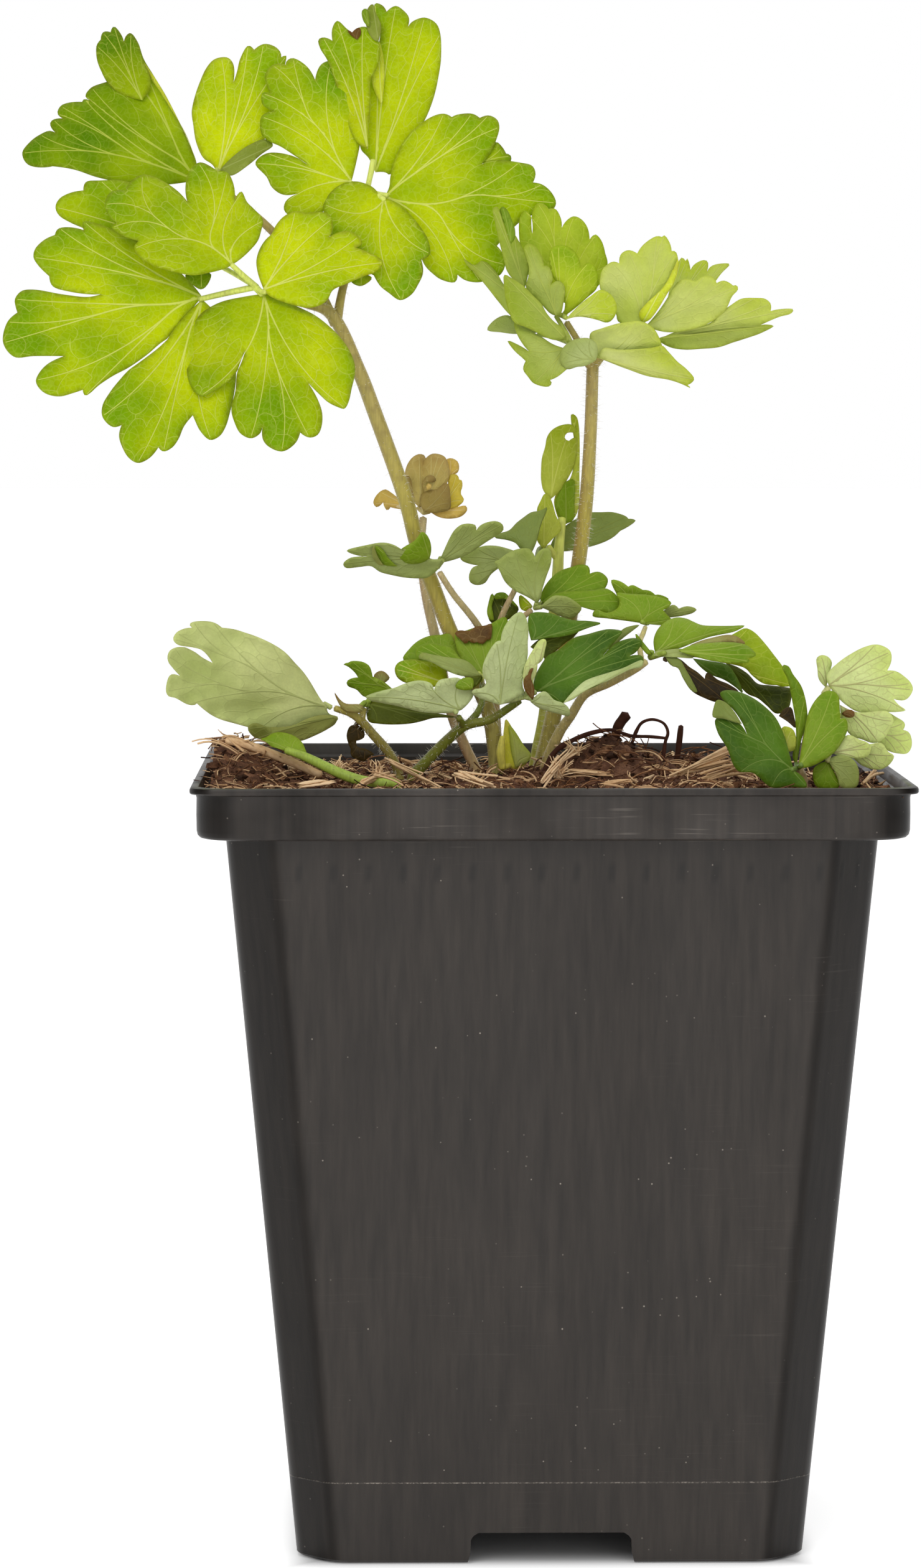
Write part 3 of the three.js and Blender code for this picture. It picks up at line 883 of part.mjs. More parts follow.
// Bare roots and a twig that stand out of the clump, part of the soil body.
const ROOTS = [
  [[9.4, 104.6, -5, 0.45], [9.9, 106, -5, 0.42], [10.6, 107.1, -5, 0.4], [11.9, 107.5, -5, 0.4],
    [13.3, 107, -5, 0.4], [13.8, 105.9, -5, 0.42], [13.5, 104.8, -5, 0.45], [13.2, 102.5, -5, 0.5]],
  [[13.6, 105.2, -5, 0.4], [11.5, 105.4, -4.8, 0.4], [9.2, 105.5, -4.6, 0.45], [7, 106.2, -5, 0.5],
    [4.6, 105.9, -6, 0.5], [2, 104.9, -7, 0.6], [0, 103.6, -7.4, 0.6], [-1.4, 101, -7.4, 0.6]],
  [[7.2, 102.4, -2, 0.6], [7.6, 106.4, -2, 0.65], [8.7, 108.1, -2, 0.7]],
  [[14.5, 100, 2, 0.4], [15.1, 104, 2, 0.42], [15.4, 106.7, 2, 0.36]],
];

// Straw and bark chips, each a flat splinter on the soil: centre, half length, half width, turn
// about Z, rise of its far end.
const CHIPS = {
  straw_chip_front: [4.2, 100.9, -13, 3.6, 0.75, -10, -0.3],
  straw_chip_left: [-29.3, 99.7, -32, 2.4, 1.1, 12, 0.3],
  straw_chip_right: [18.3, 101.6, -14, 4.4, 0.9, 24, 0.9],
};

function chipBody([X, Z, y, length, width, turn, rise], grow = 0) {
  const at = place(X, Z, y);
  const l = length + grow, w = width + grow, t = 0.35 + grow;
  const shape = new THREE.Shape([
    new THREE.Vector2(-l, -w * 0.6), new THREE.Vector2(-l * 0.3, -w), new THREE.Vector2(l * 0.8, -w * 0.8),
    new THREE.Vector2(l, -w * 0.1), new THREE.Vector2(l * 0.7, w * 0.8), new THREE.Vector2(-l * 0.6, w),
    new THREE.Vector2(-l * 1.02, w * 0.3),
  ]);
  const g = new THREE.ExtrudeGeometry(shape, { depth: 2 * t, bevelEnabled: false }).translate(0, 0, -t);
  g.rotateY(-Math.atan2(rise, length)).rotateZ(THREE.MathUtils.degToRad(turn)).translate(at.x, at.y, at.z);
  return toSolid(g);
}

const STALK_OF_STRAW = [[-40.3, 105, -15, 0.5], [-38, 104.5, -15.4, 0.55], [-33, 102.6, -17, 0.6], [-28.8, 100.7, -19, 0.5]];

// ---- Assembly -----------------------------------------------------------------------------
const group = new THREE.Group();
group.name = 'columbine_in_nursery_pot';

function addPart(name, solid, colour, roughness = 0.6) {
  const { vertProperties, triVerts, numProp } = solid.getMesh();
  const position = new Float32Array((vertProperties.length / numProp) * 3);
  for (let i = 0; i < position.length / 3; i++) {
    for (let k = 0; k < 3; k++) position[i * 3 + k] = vertProperties[i * numProp + k];
  }
  const g = new THREE.BufferGeometry();
  g.setAttribute('position', new THREE.BufferAttribute(position, 3));
  g.setIndex(new THREE.BufferAttribute(new Uint32Array(triVerts), 1));
  g.computeVertexNormals();
  const part = new THREE.Mesh(g, new THREE.MeshStandardMaterial({ color: COLOUR[colour], roughness, metalness: 0 }));
  part.name = name;
  group.add(part);
}

const SOCKET = 93.5; // depth to which the stems stand in the soil
const rooted = [];
for (const [name, stem] of [...Object.entries(PETIOLES), ...Object.entries(LEAVES)]) {
  const ways = [...(stem.roots ?? []).map((w) => [w, SOCKET]), ...(stem.forks ?? stem.stalks ?? []).map((w) => [w, 0])];
  const tubes = ways.map(([w, root]) => stalk(w, { root, sides: w.length > 4 ? 6 : 5, steps: w.length > 4 ? 0 : w.length }));
  const blades = (stem.blades ?? []).map(blade);
  addPart(name, join([...tubes, ...blades]).simplify(0.02), stem.colour, 0.55);
  for (const w of stem.roots ?? []) rooted.push(stalk(w.slice(0, 3), { root: SOCKET - CLEAR, grow: CLEAR + 0.05 }));
}

addPart('pot', potBody(), 'pot', 0.42);
const straw = stalk(STALK_OF_STRAW, { sides: 6 });
const chips = Object.entries(CHIPS);
const soil = soilBody().add(join(ROOTS.map((w) => stalk(w, { sides: 5, steps: w.length + 3 }))))
  .subtract(join([...rooted, stalk(STALK_OF_STRAW, { grow: CLEAR }), ...chips.map(([, c]) => chipBody(c, CLEAR))]));
addPart('soil', soil.simplify(0.06), 'soil', 0.95);
addPart('straw_stalk', straw, 'straw', 0.8);
for (const [name, c] of chips) addPart(name, chipBody(c), 'straw', 0.85);

// The whole stands with the middle of its outline over the origin.
const box = new THREE.Box3().setFromObject(group);
group.position.set(-(box.min.x + box.max.x) / 2, -(box.min.y + box.max.y) / 2, -box.min.z);

export default group;
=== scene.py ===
# A young garden columbine in its square black nursery pot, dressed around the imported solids.
# Lengths are written in millimetres from the pot's own axis at the floor, +Z up, and the front
# of the pot faces -Y. Leaves and stalks are drawn as X and Z on a front elevation, the plane of
# the pot's front lip, and each point is then carried to its own depth along the line of sight.
import math
import random

import bmesh
import bpy
import numpy as np
from mathutils import Euler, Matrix, Vector, geometry, noise


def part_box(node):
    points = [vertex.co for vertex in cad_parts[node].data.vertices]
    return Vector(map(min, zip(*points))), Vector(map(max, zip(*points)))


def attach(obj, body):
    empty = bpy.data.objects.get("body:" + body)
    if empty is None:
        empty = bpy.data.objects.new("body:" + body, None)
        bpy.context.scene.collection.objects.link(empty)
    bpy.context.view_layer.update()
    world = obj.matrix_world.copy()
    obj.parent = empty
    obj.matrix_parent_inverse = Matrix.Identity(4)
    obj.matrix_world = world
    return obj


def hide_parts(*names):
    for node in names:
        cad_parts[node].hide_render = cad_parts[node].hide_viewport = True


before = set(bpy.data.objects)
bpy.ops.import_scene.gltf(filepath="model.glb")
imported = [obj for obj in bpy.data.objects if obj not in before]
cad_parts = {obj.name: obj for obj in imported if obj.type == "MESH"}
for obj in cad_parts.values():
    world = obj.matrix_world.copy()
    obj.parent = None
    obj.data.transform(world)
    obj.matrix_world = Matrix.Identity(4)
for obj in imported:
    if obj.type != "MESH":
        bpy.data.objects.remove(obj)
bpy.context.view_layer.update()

# ---- Stage: floor, studio light and camera ---------------------------------------------------
# A pale seamless floor, a bright surround and three large soft lamps. The camera stands a little
# above the rim of the pot and looks slightly down.
MM = 0.001
LIP = 90.0
FRONT = -LIP / 2
EYE = (-21.0, -695.0, 145.5)
YAW, PITCH = 0.0144, 0.0705
PICTURE_HEIGHT, FOCAL = 2520, 8538  # pixels
SENSOR = 36.0
FLOOR_HALF, FLOOR_BELOW = 9, 0.0002  # metres
# the floor's glow fades in between these two distances, so the square under the pot is a painted shadow
GLOW_FROM, GLOW = (0.029, 0.035), 0.62  # metres from the pot's axis
SKY = ((0.2, 0.75), (0.34, 0.4), (0.43, 0.03), (0.64, 0.03), (0.76, 1.0))  # front to back, strength
LAMPS = [  # name, place in metres, what it looks at, width and height, watts
    ("key", (-0.36, -0.95, 0.9), (0, 0, 0.13), (0.7, 0.7), 4.4),
    ("fill", (0.3, -1.05, 0.45), (0, 0, 0.1), (0.6, 0.9), 1.5),
    ("top", (0.05, 0.25, 1.0), (0, 0, 0.1), (0.9, 0.9), 3.4),
]

pot_low, pot_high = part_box("pot")
AXIS = np.array([(pot_low[0] + pot_high[0]) / 2, (pot_low[1] + pot_high[1]) / 2, 0.0]) / MM


def to_frame(points):
    """Millimetres from the pot's axis to metres in the frame."""
    return (np.asarray(points, float) + AXIS) * MM


def tone(r, g, b):
    """A colour written as 0 to 255 screen values, as the linear colour that shaders take."""
    linear = (((v / 255 + 0.055) / 1.055) ** 2.4 if v > 10 else v / 255 / 12.92 for v in (r, g, b))
    return (*linear, 1.0)


class Wires:
    """Adds nodes to a tree. Lower-case names are a node's settings. The others are its inputs, by
    name with _ for a space or by place (i0), and each is a value or another node's output."""

    def __init__(self, tree):
        self.tree = tree

    def fill(self, node, **inputs):
        for key, value in inputs.items():
            socket = node.inputs[int(key[1:]) if key[1:].isdigit() else key.replace("_", " ")]
            if isinstance(value, bpy.types.NodeSocket):
                self.tree.links.new(value, socket)
            else:
                socket.default_value = value

    def add(self, kind, out=0, **given):
        """A new node, given by one of its outputs."""
        node = self.tree.nodes.new(kind)
        settings = [key for key in given if key.islower() and not key[1:].isdigit()]
        for key in settings:
            setattr(node, key, given.pop(key))
        self.fill(node, **given)
        return node.outputs[out]

    def split(self, vector):
        return self.add("ShaderNodeSeparateXYZ", i0=vector).node.outputs

    def math(self, operation, a, b=0.0, c=0.0):
        return self.add("ShaderNodeMath", operation=operation, i0=a, i1=b, i2=c)

    def span(self, value, low, high, to_low=0.0, to_high=1.0, kind="LINEAR"):
        """A value that runs from low to high, stretched to run from to_low to to_high."""
        return self.add("ShaderNodeMapRange", interpolation_type=kind, Value=value,
                        From_Min=low, From_Max=high, To_Min=to_low, To_Max=to_high)

    def stops(self, value, stops):
        """A colour ramp through pairs of a place and a colour."""
        ramp = self.add("ShaderNodeValToRGB", Fac=value)
        elements = ramp.node.color_ramp.elements
        elements.remove(elements[1])
        elements[0].position, elements[0].color = stops[0]
        for at, colour in stops[1:]:
            elements.new(at).color = colour
        return ramp


class Paint(Wires):
    """A new material, whose nodes feed its one shader."""

    def __init__(self, name, roughness, specular=0.5):
        self.material = bpy.data.materials.new(name)
        self.material.use_nodes = True
        super().__init__(self.material.node_tree)
        self.shader = self.tree.nodes["Principled BSDF"]
        self.coat(Roughness=roughness, Specular_IOR_Level=specular)

    def coat(self, **inputs):
        self.fill(self.shader, **inputs)

    def where(self, kind="Object"):
        return self.add("ShaderNodeTexCoord", kind)

    def own(self, name, out="Color"):
        return self.add("ShaderNodeAttribute", out, attribute_name=name)

    def noise(self, where, scale, detail, rough=0.5):
        return self.add("ShaderNodeTexNoise", Vector=where, Scale=scale, Detail=detail, Roughness=rough)

    def mix(self, share, a, b, blend="MIX"):
        return self.add("ShaderNodeMix", 2, data_type="RGBA", blend_type=blend, i0=share, i6=a, i7=b)

    def shade(self, colour, by):
        return self.mix(1.0, colour, by, "MULTIPLY")

    def bump(self, height, strength, distance):
        raised = self.add("ShaderNodeBump", Height=height, Strength=strength, Distance=distance * MM)
        self.coat(Normal=raised)
        return raised


floor_mesh = bpy.data.meshes.new("floor")
corners = [(x * FLOOR_HALF, y * FLOOR_HALF, 0) for x, y in ((-1, -1), (1, -1), (1, 1), (-1, 1))]
floor_mesh.from_pydata(corners, [], [(0, 1, 2, 3)])
floor = bpy.data.objects.new("floor", floor_mesh)
floor.location.z = -FLOOR_BELOW
bpy.context.collection.objects.link(floor)
floor_paint = Paint("pale floor", 0.7, 0.1)
floor_paint.coat(Base_Color=(0.8, 0.8, 0.8, 1), Emission_Color=(1, 1, 1, 1))
# the floor glows evenly, but not in a square under the pot: there it is left dark as a painted shadow beneath
# the pot
where = floor_paint.where()
off = floor_paint.add("ShaderNodeVectorMath", operation="SUBTRACT", i0=where, i1=tuple(AXIS * MM))
x, y, _ = floor_paint.split(floor_paint.add("ShaderNodeVectorMath", operation="ABSOLUTE", i0=off))
glow = floor_paint.span(floor_paint.math("MAXIMUM", x, y), *GLOW_FROM, 0.0, GLOW, "SMOOTHSTEP")
floor_paint.coat(Emission_Strength=glow)
floor_mesh.materials.append(floor_paint.material)

world = bpy.data.worlds.new("studio")
bpy.context.scene.world = world
world.use_nodes = True
sky = Wires(world.node_tree)
_, from_front, _ = sky.split(sky.add("ShaderNodeTexCoord", "Generated"))
around = sky.stops(sky.span(from_front, -1.0, 1.0), [(at, (power, power, power, 1)) for at, power in SKY])
sky.fill(world.node_tree.nodes["Background"], Strength=around, Color=(1, 1, 1, 1))
for name, at, aim, size, power in LAMPS:
    data = bpy.data.lights.new(name, "AREA")
    data.shape = "RECTANGLE"
    data.size, data.size_y = size
    data.energy = power
    lamp = bpy.data.objects.new(name, data)
    lamp.location = at
    lamp.rotation_euler = (Vector(aim) - Vector(at)).to_track_quat("-Z", "Y").to_euler()
    bpy.context.collection.objects.link(lamp)

camera_data = bpy.data.cameras.new("camera")
camera_data.lens = FOCAL * SENSOR / PICTURE_HEIGHT
camera_data.sensor_width = SENSOR
camera_data.clip_start = 0.05
camera = bpy.data.objects.new("camera", camera_data)
camera.location = to_frame(EYE)
camera.rotation_euler = Euler((math.pi / 2 - PITCH, 0, -YAW))
bpy.context.collection.objects.link(camera)
bpy.context.scene.camera = camera
bpy.context.scene.view_settings.view_transform = "Standard"

# ---- Pot -------------------------------------------------------------------------------------
# The pot is one thin moulding of recycled black polypropylene: a turned-out lip, an upright band,
# a tapered body with cut corners, and a foot with corner pads, a gap in each side and drain holes.
# It is lofted from the foot up, over the lip and down the inside, and the openings are cut out.
POT_HEIGHT = (pot_high[2] - pot_low[2]) / MM
BAND, BAND_CORNER, BAND_HEIGHT = 88.5, 6.0, 6.55
NECK, NECK_CHAMFER = 81.6, 6.1
FOOT, FOOT_CHAMFER, FOOT_DEPTH, SKIRT = 64.4, 5.0, 3.9, 1.5
WALL, LEDGE, POT_FLOOR = 1.1, 1.2, 5.0
LIP_CORNER, LIP_THICK = 2.75, 0.9
NOTCH_TOP, NOTCH_BOTTOM = 19.6, 21.6
PAD_START, DRAIN, DRAIN_AT = 20.0, 6.5, 16.0
PARTING_LINE, SINK_MARKS, SINK_SPACING = 10.4, 4.2, 4.3
CORNER_POINTS, SIDE_POINTS, DRAIN_POINTS = 14, 12, 40
SHARP_ANGLE = 40  # degrees
BAND_FOOT = POT_HEIGHT - BAND_HEIGHT


def square_ring(half, corner, z, chamfer=False):
    """A square ring with turned corners, or with flat cut ones whose two edges are softened."""
    quarter = []
    for k in range(CORNER_POINTS):
        u = k / (CORNER_POINTS - 1)
        if chamfer:
            lean = min(corner * 0.75, 3.6)
            a = math.pi / 4 * min((u if u < 0.5 else 1 - u) / 0.45, 1)
            x, y = half - lean * (1 - math.cos(a)), half - corner - 0.41 * lean + lean * math.sin(a)
            x, y = (x, y) if u < 0.5 else (y, x)
        else:
            a = math.pi / 2 * u
            x, y = half - corner * (1 - math.cos(a)), half - corner * (1 - math.sin(a))
        quarter.append((x, y))
    end = quarter[-1]
    for k in range(1, SIDE_POINTS):
        quarter.append((end[0] * (1 - 2 * k / SIDE_POINTS), end[1]))
    turns = [(1, 0), (0, 1), (-1, 0), (0, -1)]
    return np.array([(x * c - y * s, x * s + y * c, z) for c, s in turns for x, y in quarter])


def loft(rings, caps=True):
    """Vertices and faces of the skin through a stack of rings."""
    n = len(rings[0])
    faces = []
    for k in range(len(rings) - 1):
        for i in range(n):
            a, b = k * n + i, k * n + (i + 1) % n
            faces.append((a, b, b + n, a + n))
    if caps:
        faces.append(tuple(range(n))[::-1])
        faces.append(tuple((len(rings) - 1) * n + i for i in range(n)))
    return np.concatenate(rings), faces


def add_mesh(name, points, faces, paints=(), smooth=True, marks=()):
    """A new object at the origin from points in millimetres; marks give each face its paint."""
    mesh = bpy.data.meshes.new(name)
    mesh.from_pydata(to_frame(points).tolist(), [], faces)
    for layer in paints:
        mesh.materials.append(layer.material)
    mesh.polygons.foreach_set("use_smooth", [smooth] * len(mesh.polygons))
    if len(marks):
        mesh.polygons.foreach_set("material_index", marks)
    piece = bpy.data.objects.new(name, mesh)
    bpy.context.collection.objects.link(piece)
    return piece


def settle(piece, step):
    """Leaves a piece with the plain mesh that its modifier made."""
    graph = bpy.context.evaluated_depsgraph_get()
    mesh = bpy.data.meshes.new_from_object(piece.evaluated_get(graph), depsgraph=graph)
    piece.modifiers.remove(step)
    old = piece.data
    piece.data = mesh
    bpy.data.meshes.remove(old)


def cut_away(piece, profiles):
    """Cuts the closed skin through some profiles out of a piece."""
    cutter = add_mesh("cutter", *loft([np.array(profile, float) for profile in profiles]), smooth=False)
    solid = bmesh.new()
    solid.from_mesh(cutter.data)
    bmesh.ops.recalc_face_normals(solid, faces=solid.faces)
    solid.to_mesh(cutter.data)
    solid.free()
    step = piece.modifiers.new("cut", "BOOLEAN")
    step.operation, step.solver, step.object = "DIFFERENCE", "EXACT", cutter
    settle(piece, step)
    bpy.data.objects.remove(cutter)


def body_half(z):
    return FOOT / 2 + (NECK - FOOT) / 2 * z / BAND_FOOT


def body_chamfer(z):
    return FOOT_CHAMFER + (NECK_CHAMFER - FOOT_CHAMFER) * z / BAND_FOOT


def tapered(z, inset=0.0):
    return square_ring(body_half(z) - inset, body_chamfer(z) - inset * 0.4, z, chamfer=True)


band_half, lip_half = BAND / 2, LIP / 2
inner = band_half - WALL
ledge_top = BAND_FOOT + LEDGE
lip_foot = POT_HEIGHT - LIP_THICK
rings = [tapered(0, 0.35), tapered(0.35)] + [tapered(z) for z in np.linspace(4, BAND_FOOT - 0.5, 12)]
rings += [tapered(BAND_FOOT - 0.15), tapered(BAND_FOOT, -0.2)]
for z, out in ((0, -1.0), (0.12, -0.45), (0.45, -0.12), (1.0, 0), (3.0, 0.03), (5.0, 0)):
    rings.append(square_ring(band_half + out, BAND_CORNER + out, BAND_FOOT + z))
rings.append(square_ring(band_half + 0.1, BAND_CORNER, lip_foot - 0.12))
rings.append(square_ring(lip_half - 0.4, BAND_CORNER - 1.2, lip_foot))
for z, out in ((0.06, -0.12), (0.22, 0.0), (LIP_THICK - 0.3, 0.0), (LIP_THICK - 0.08, -0.1),
               (LIP_THICK, -0.35)):
    rings.append(square_ring(lip_half + out, LIP_CORNER + 0.8, lip_foot + z))
for z, out in ((0, 1.1), (-0.1, 0.85), (-0.5, 0.68), (-1.4, 0.55), (-1.8, 0.05), (-2.4, 0)):
    rings.append(square_ring(inner + out, BAND_CORNER - 1.2, POT_HEIGHT + z))
rings.append(square_ring(inner, BAND_CORNER - 1, ledge_top + 0.4))
rings.append(square_ring(inner - 0.4, BAND_CORNER - 1, ledge_top))
rings += [tapered(z, WALL) for z in np.linspace(ledge_top - 0.3, POT_FLOOR + 0.4, 6)]
rings.append(tapered(POT_FLOOR, WALL + 0.4))

plastic = Paint("recycled black polypropylene", 0.4, 0.34)
where = plastic.where()
x, y, z = plastic.split(where)
tall = plastic.add("ShaderNodeMapping", Vector=where, Scale=(1, 1, 0.03))
streak = plastic.noise(tall, 900.0, 3.0, 0.6)
broad = plastic.noise(tall, 160.0, 2.0)
cloud = plastic.noise(where, 45.0, 4.0)
grain = plastic.noise(where, 3500.0, 2.0)
cloudy = plastic.shade(plastic.mix(plastic.span(streak, 0.3, 0.7), tone(33, 28, 24), tone(47, 41, 36)),
                       plastic.span(cloud, 0.3, 0.7, 0.86, 1.1))
# dust: specks of many brightnesses, hair scratches across, and grit caught on the parting line
cell = plastic.add("ShaderNodeTexVoronoi", Vector=where, Scale=600.0).node.outputs
dust = plastic.math("MULTIPLY", plastic.span(cell["Distance"], 0.03, 0.08, 1.0, 0.0),
                    plastic.span(cell["Color"], 0.42, 0.9, 0.0, 0.75))
flat_wide = plastic.add("ShaderNodeMapping", Vector=where, Scale=(0.03, 0.03, 1.0), Rotation=(0.0, 0.03, 0.0))
scratch_line = plastic.span(plastic.noise(flat_wide, 4200.0, 1.0), 0.64, 0.78, 0.0, 0.12)
scratch_some = plastic.math("MULTIPLY", plastic.span(z, 62 * MM, 84 * MM, 0.25, 1.3),
                            plastic.span(cloud, 0.5, 0.62))
scratch = plastic.math("MULTIPLY", scratch_line, scratch_some)
line_off = plastic.math("ABSOLUTE", plastic.math("SUBTRACT", z, PARTING_LINE * MM))
line = plastic.span(line_off, 0.04 * MM, 0.12 * MM, 1.0, 0.0)
grit = plastic.math("MULTIPLY", line, plastic.span(grain, 0.45, 0.7, 0.05, 0.5))
pale = plastic.math("MAXIMUM", plastic.math("MAXIMUM", dust, scratch), grit)
dusty = plastic.mix(pale, cloudy, tone(170, 160, 148))
# the cut corners are painted darker than the faces and given less sheen, a painted shade where the sides turn
# away from the light, and the band is scuffed in patches
facing = plastic.split(plastic.add("ShaderNodeVectorMath", operation="ABSOLUTE", i0=plastic.where("Normal")))
keep = plastic.span(plastic.math("MINIMUM", facing["X"], facing["Y"]), 0.1, 0.5, 1.0, 0.5, "SMOOTHSTEP")
on_band = plastic.span(z, (BAND_FOOT - 0.2) * MM, (BAND_FOOT + 0.2) * MM)
patches = plastic.add("ShaderNodeMix", data_type="FLOAT", i0=on_band, i2=1.0,
                      i3=plastic.span(cloud, 0.36, 0.64, 0.62, 1.25))
corner_shade_and_scuffs = plastic.math("MULTIPLY", keep, patches)
# a row of small sink marks runs under the band
mark_tall = plastic.math("ABSOLUTE", plastic.math("SUBTRACT", z, (BAND_FOOT - SINK_MARKS) * MM))
mark_turn = plastic.math("MULTIPLY", plastic.math("ADD", x, y), 2 * math.pi / (SINK_SPACING * MM))
marks = plastic.math("MULTIPLY", plastic.span(mark_tall, 0.6 * MM, 1.6 * MM, 1.0, 0.0),
                     plastic.span(plastic.math("COSINE", mark_turn), 0.6, 1.0, 0.0, 0.5))
# both the base colour and the sheen carry the painted corner shade and the band's scuffs
plastic.coat(Base_Color=plastic.shade(plastic.shade(dusty, corner_shade_and_scuffs), plastic.span(marks, 0.0, 0.5, 1.0, 0.55)),
             Specular_IOR_Level=plastic.math("MULTIPLY", corner_shade_and_scuffs, 0.34),
             Roughness=plastic.span(broad, 0.3, 0.7, 0.36, 0.5))
relief = plastic.math("MULTIPLY_ADD", grain, 0.25, plastic.math("ADD", line, marks))
plastic.bump(plastic.math("MULTIPLY_ADD", streak, 0.35, relief), 0.35, 0.08)

pot = add_mesh("nursery_pot", *loft(rings), [plastic])
top, bottom = NOTCH_TOP / 2, NOTCH_BOTTOM / 2
right = [(bottom, -1), (bottom - 0.6, FOOT_DEPTH * 0.35), (top + 0.35, FOOT_DEPTH - 0.9),
         (top, FOOT_DEPTH - 0.4), (top - 0.6, FOOT_DEPTH)]
gap = [(-bottom, -1)] + right + [(-x, z) for x, z in right[:0:-1]]
reach = FOOT / 2 - SKIRT
turns = [2 * math.pi * k / DRAIN_POINTS for k in range(DRAIN_POINTS)]
circle = [(DRAIN / 2 * math.cos(a), DRAIN / 2 * math.sin(a)) for a in turns]
cut_away(pot, [[(x, y, z) for x, z in gap] for y in (-60, 60)])
cut_away(pot, [[(-y, x, z) for x, z in gap] for y in (-60, 60)])
for x, y in ((reach, PAD_START), (PAD_START, reach)):
    cut_away(pot, [[(-x, -y, z), (x, -y, z), (x, y, z), (-x, y, z)] for z in (-2, FOOT_DEPTH)])
for x in (-DRAIN_AT, DRAIN_AT):
    for y in (-DRAIN_AT, DRAIN_AT):
        cut_away(pot, [[(x + u, y + v, z) for u, v in circle] for z in (1, 9)])
pot.data.polygons.foreach_set("use_smooth", [True] * len(pot.data.polygons))
pot.data.set_sharp_from_angle(angle=math.radians(SHARP_ANGLE))
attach(pot, "root")
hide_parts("pot")

# ---- Soil ------------------------------------------------------------------------------------
# The pot is filled to a few millimetres under its lip with fibrous peat compost, heaped at the
# left edge and round a clump of old roots, and sunk at the back and in the right rear corner.
# Bare roots stand out of its surface.
MOUNDS = [  # x, y, height, reach in x, reach in y
    (-41, -8, 5.3, 7.5, 16), (8, -4, 5.2, 7, 8), (20, 15, 1.5, 9, 12),
    (40, 30, -7, 9, 15), (33, -33, -1.4, 9, 9), (-25, -25, -0.3, 8, 8),
]
SOIL_CLEAR = 0.3
SOCKET = 93.5
GRID = 170
BARE_ROOTS = [  # X, Z, depth and radius at each point of the way
    "9.4,104.6,-5,.22 9.9,106,-5,.24 10.6,107.1,-5,.22 11.9,107.5,-5,.2 13.3,107,-5,.2 13.8,105.9,-5,.22 "
    "13.5,104.8,-5,.26 13.2,102.5,-5,.3",
    "13.6,105.2,-5,.2 11.5,105.4,-4.8,.22 9.2,105.5,-4.6,.24 7,106.2,-5,.26 4.6,105.9,-6,.3 2,104.9,-7,.34 "
    "0,103.6,-7.4,.36 -1.4,101,-7.4,.4",
    "7.2,102.4,-2,.6 7.6,106.4,-2,.65 8.7,108.1,-2,.7",
    "14.5,100,2,.4 15.1,104,2,.42 15.4,106.7,2,.36",
]


def place(points):
    """Points (X, Z, depth) of the front elevation to millimetres from the pot's axis."""
    p = np.atleast_2d(np.asarray(points, float))
    t = (p[:, 2] - EYE[1]) / (FRONT - EYE[1])
    return np.stack([EYE[0] + (p[:, 0] - EYE[0]) * t, p[:, 2], EYE[2] + (p[:, 1] - EYE[2]) * t], axis=1)


def read_way(text):
    """The knots of a way written as X,Z,depth,radius, carried to their places, and the radii.

    A way that begins with the word root stands in the soil.
    """
    words = text.split()
    rooted = words[0] == "root"
    knots = np.array([[float(v) for v in word.split(",")] for word in words[rooted:]])
    at, radii = place(knots[:, :3]), knots[:, 3]
    if rooted:
        at = np.vstack([[at[0, 0], at[0, 1], SOCKET], at])
        radii = np.concatenate([[radii[0]], radii])
    return at, radii


def run_through(knots, per_span, round_ends=0.0):
    """Points of a centripetal Catmull-Rom curve, per_span to each span, and each one's place.

    round_ends bends the end spans as if the curve came round out of a circle.
    """
    p = np.asarray(knots, float)
    ends = []
    for a, b, c in ((p[0], p[1], p[min(2, len(p) - 1)]), (p[-1], p[-2], p[max(-3, -len(p))])):
        straight = 2 * a - b
        if round_ends:
            turned = np.array([b - a, c - b])
            turn = math.atan2(turned[0][0] * turned[1][1] - turned[0][1] * turned[1][0], np.dot(*turned))
            turn = -round_ends * max(-1.4, min(1.4, turn))
            d = a - b
            straight = a + np.array([d[0] * math.cos(turn) + d[1] * math.sin(turn) * -1,
                                     d[0] * math.sin(turn) + d[1] * math.cos(turn)])
        ends.append(straight)
    p = np.vstack([ends[0], p, ends[1]])
    out, along = [], []
    for i in range(1, len(p) - 2):
        a, b, c, d = p[i - 1:i + 3]
        s1 = max(np.linalg.norm(b - a), 1e-6) ** 0.5
        s2 = s1 + max(np.linalg.norm(c - b), 1e-6) ** 0.5
        s3 = s2 + max(np.linalg.norm(d - c), 1e-6) ** 0.5
        for k in range(per_span + (i == len(p) - 3)):
            u = k / per_span
            s = s1 + (s2 - s1) * u
            ab = a + (b - a) * s / s1
            bc = b + (c - b) * (s - s1) / (s2 - s1)
            cd = c + (d - c) * (s - s2) / (s3 - s2)
            abc = ab + (bc - ab) * s / s2
            bcd = bc + (cd - bc) * (s - s1) / (s3 - s1)
            out.append(abc + (bcd - abc) * (s - s1) / (s2 - s1))
            along.append(i - 1 + u)
    return np.array(out), np.array(along)


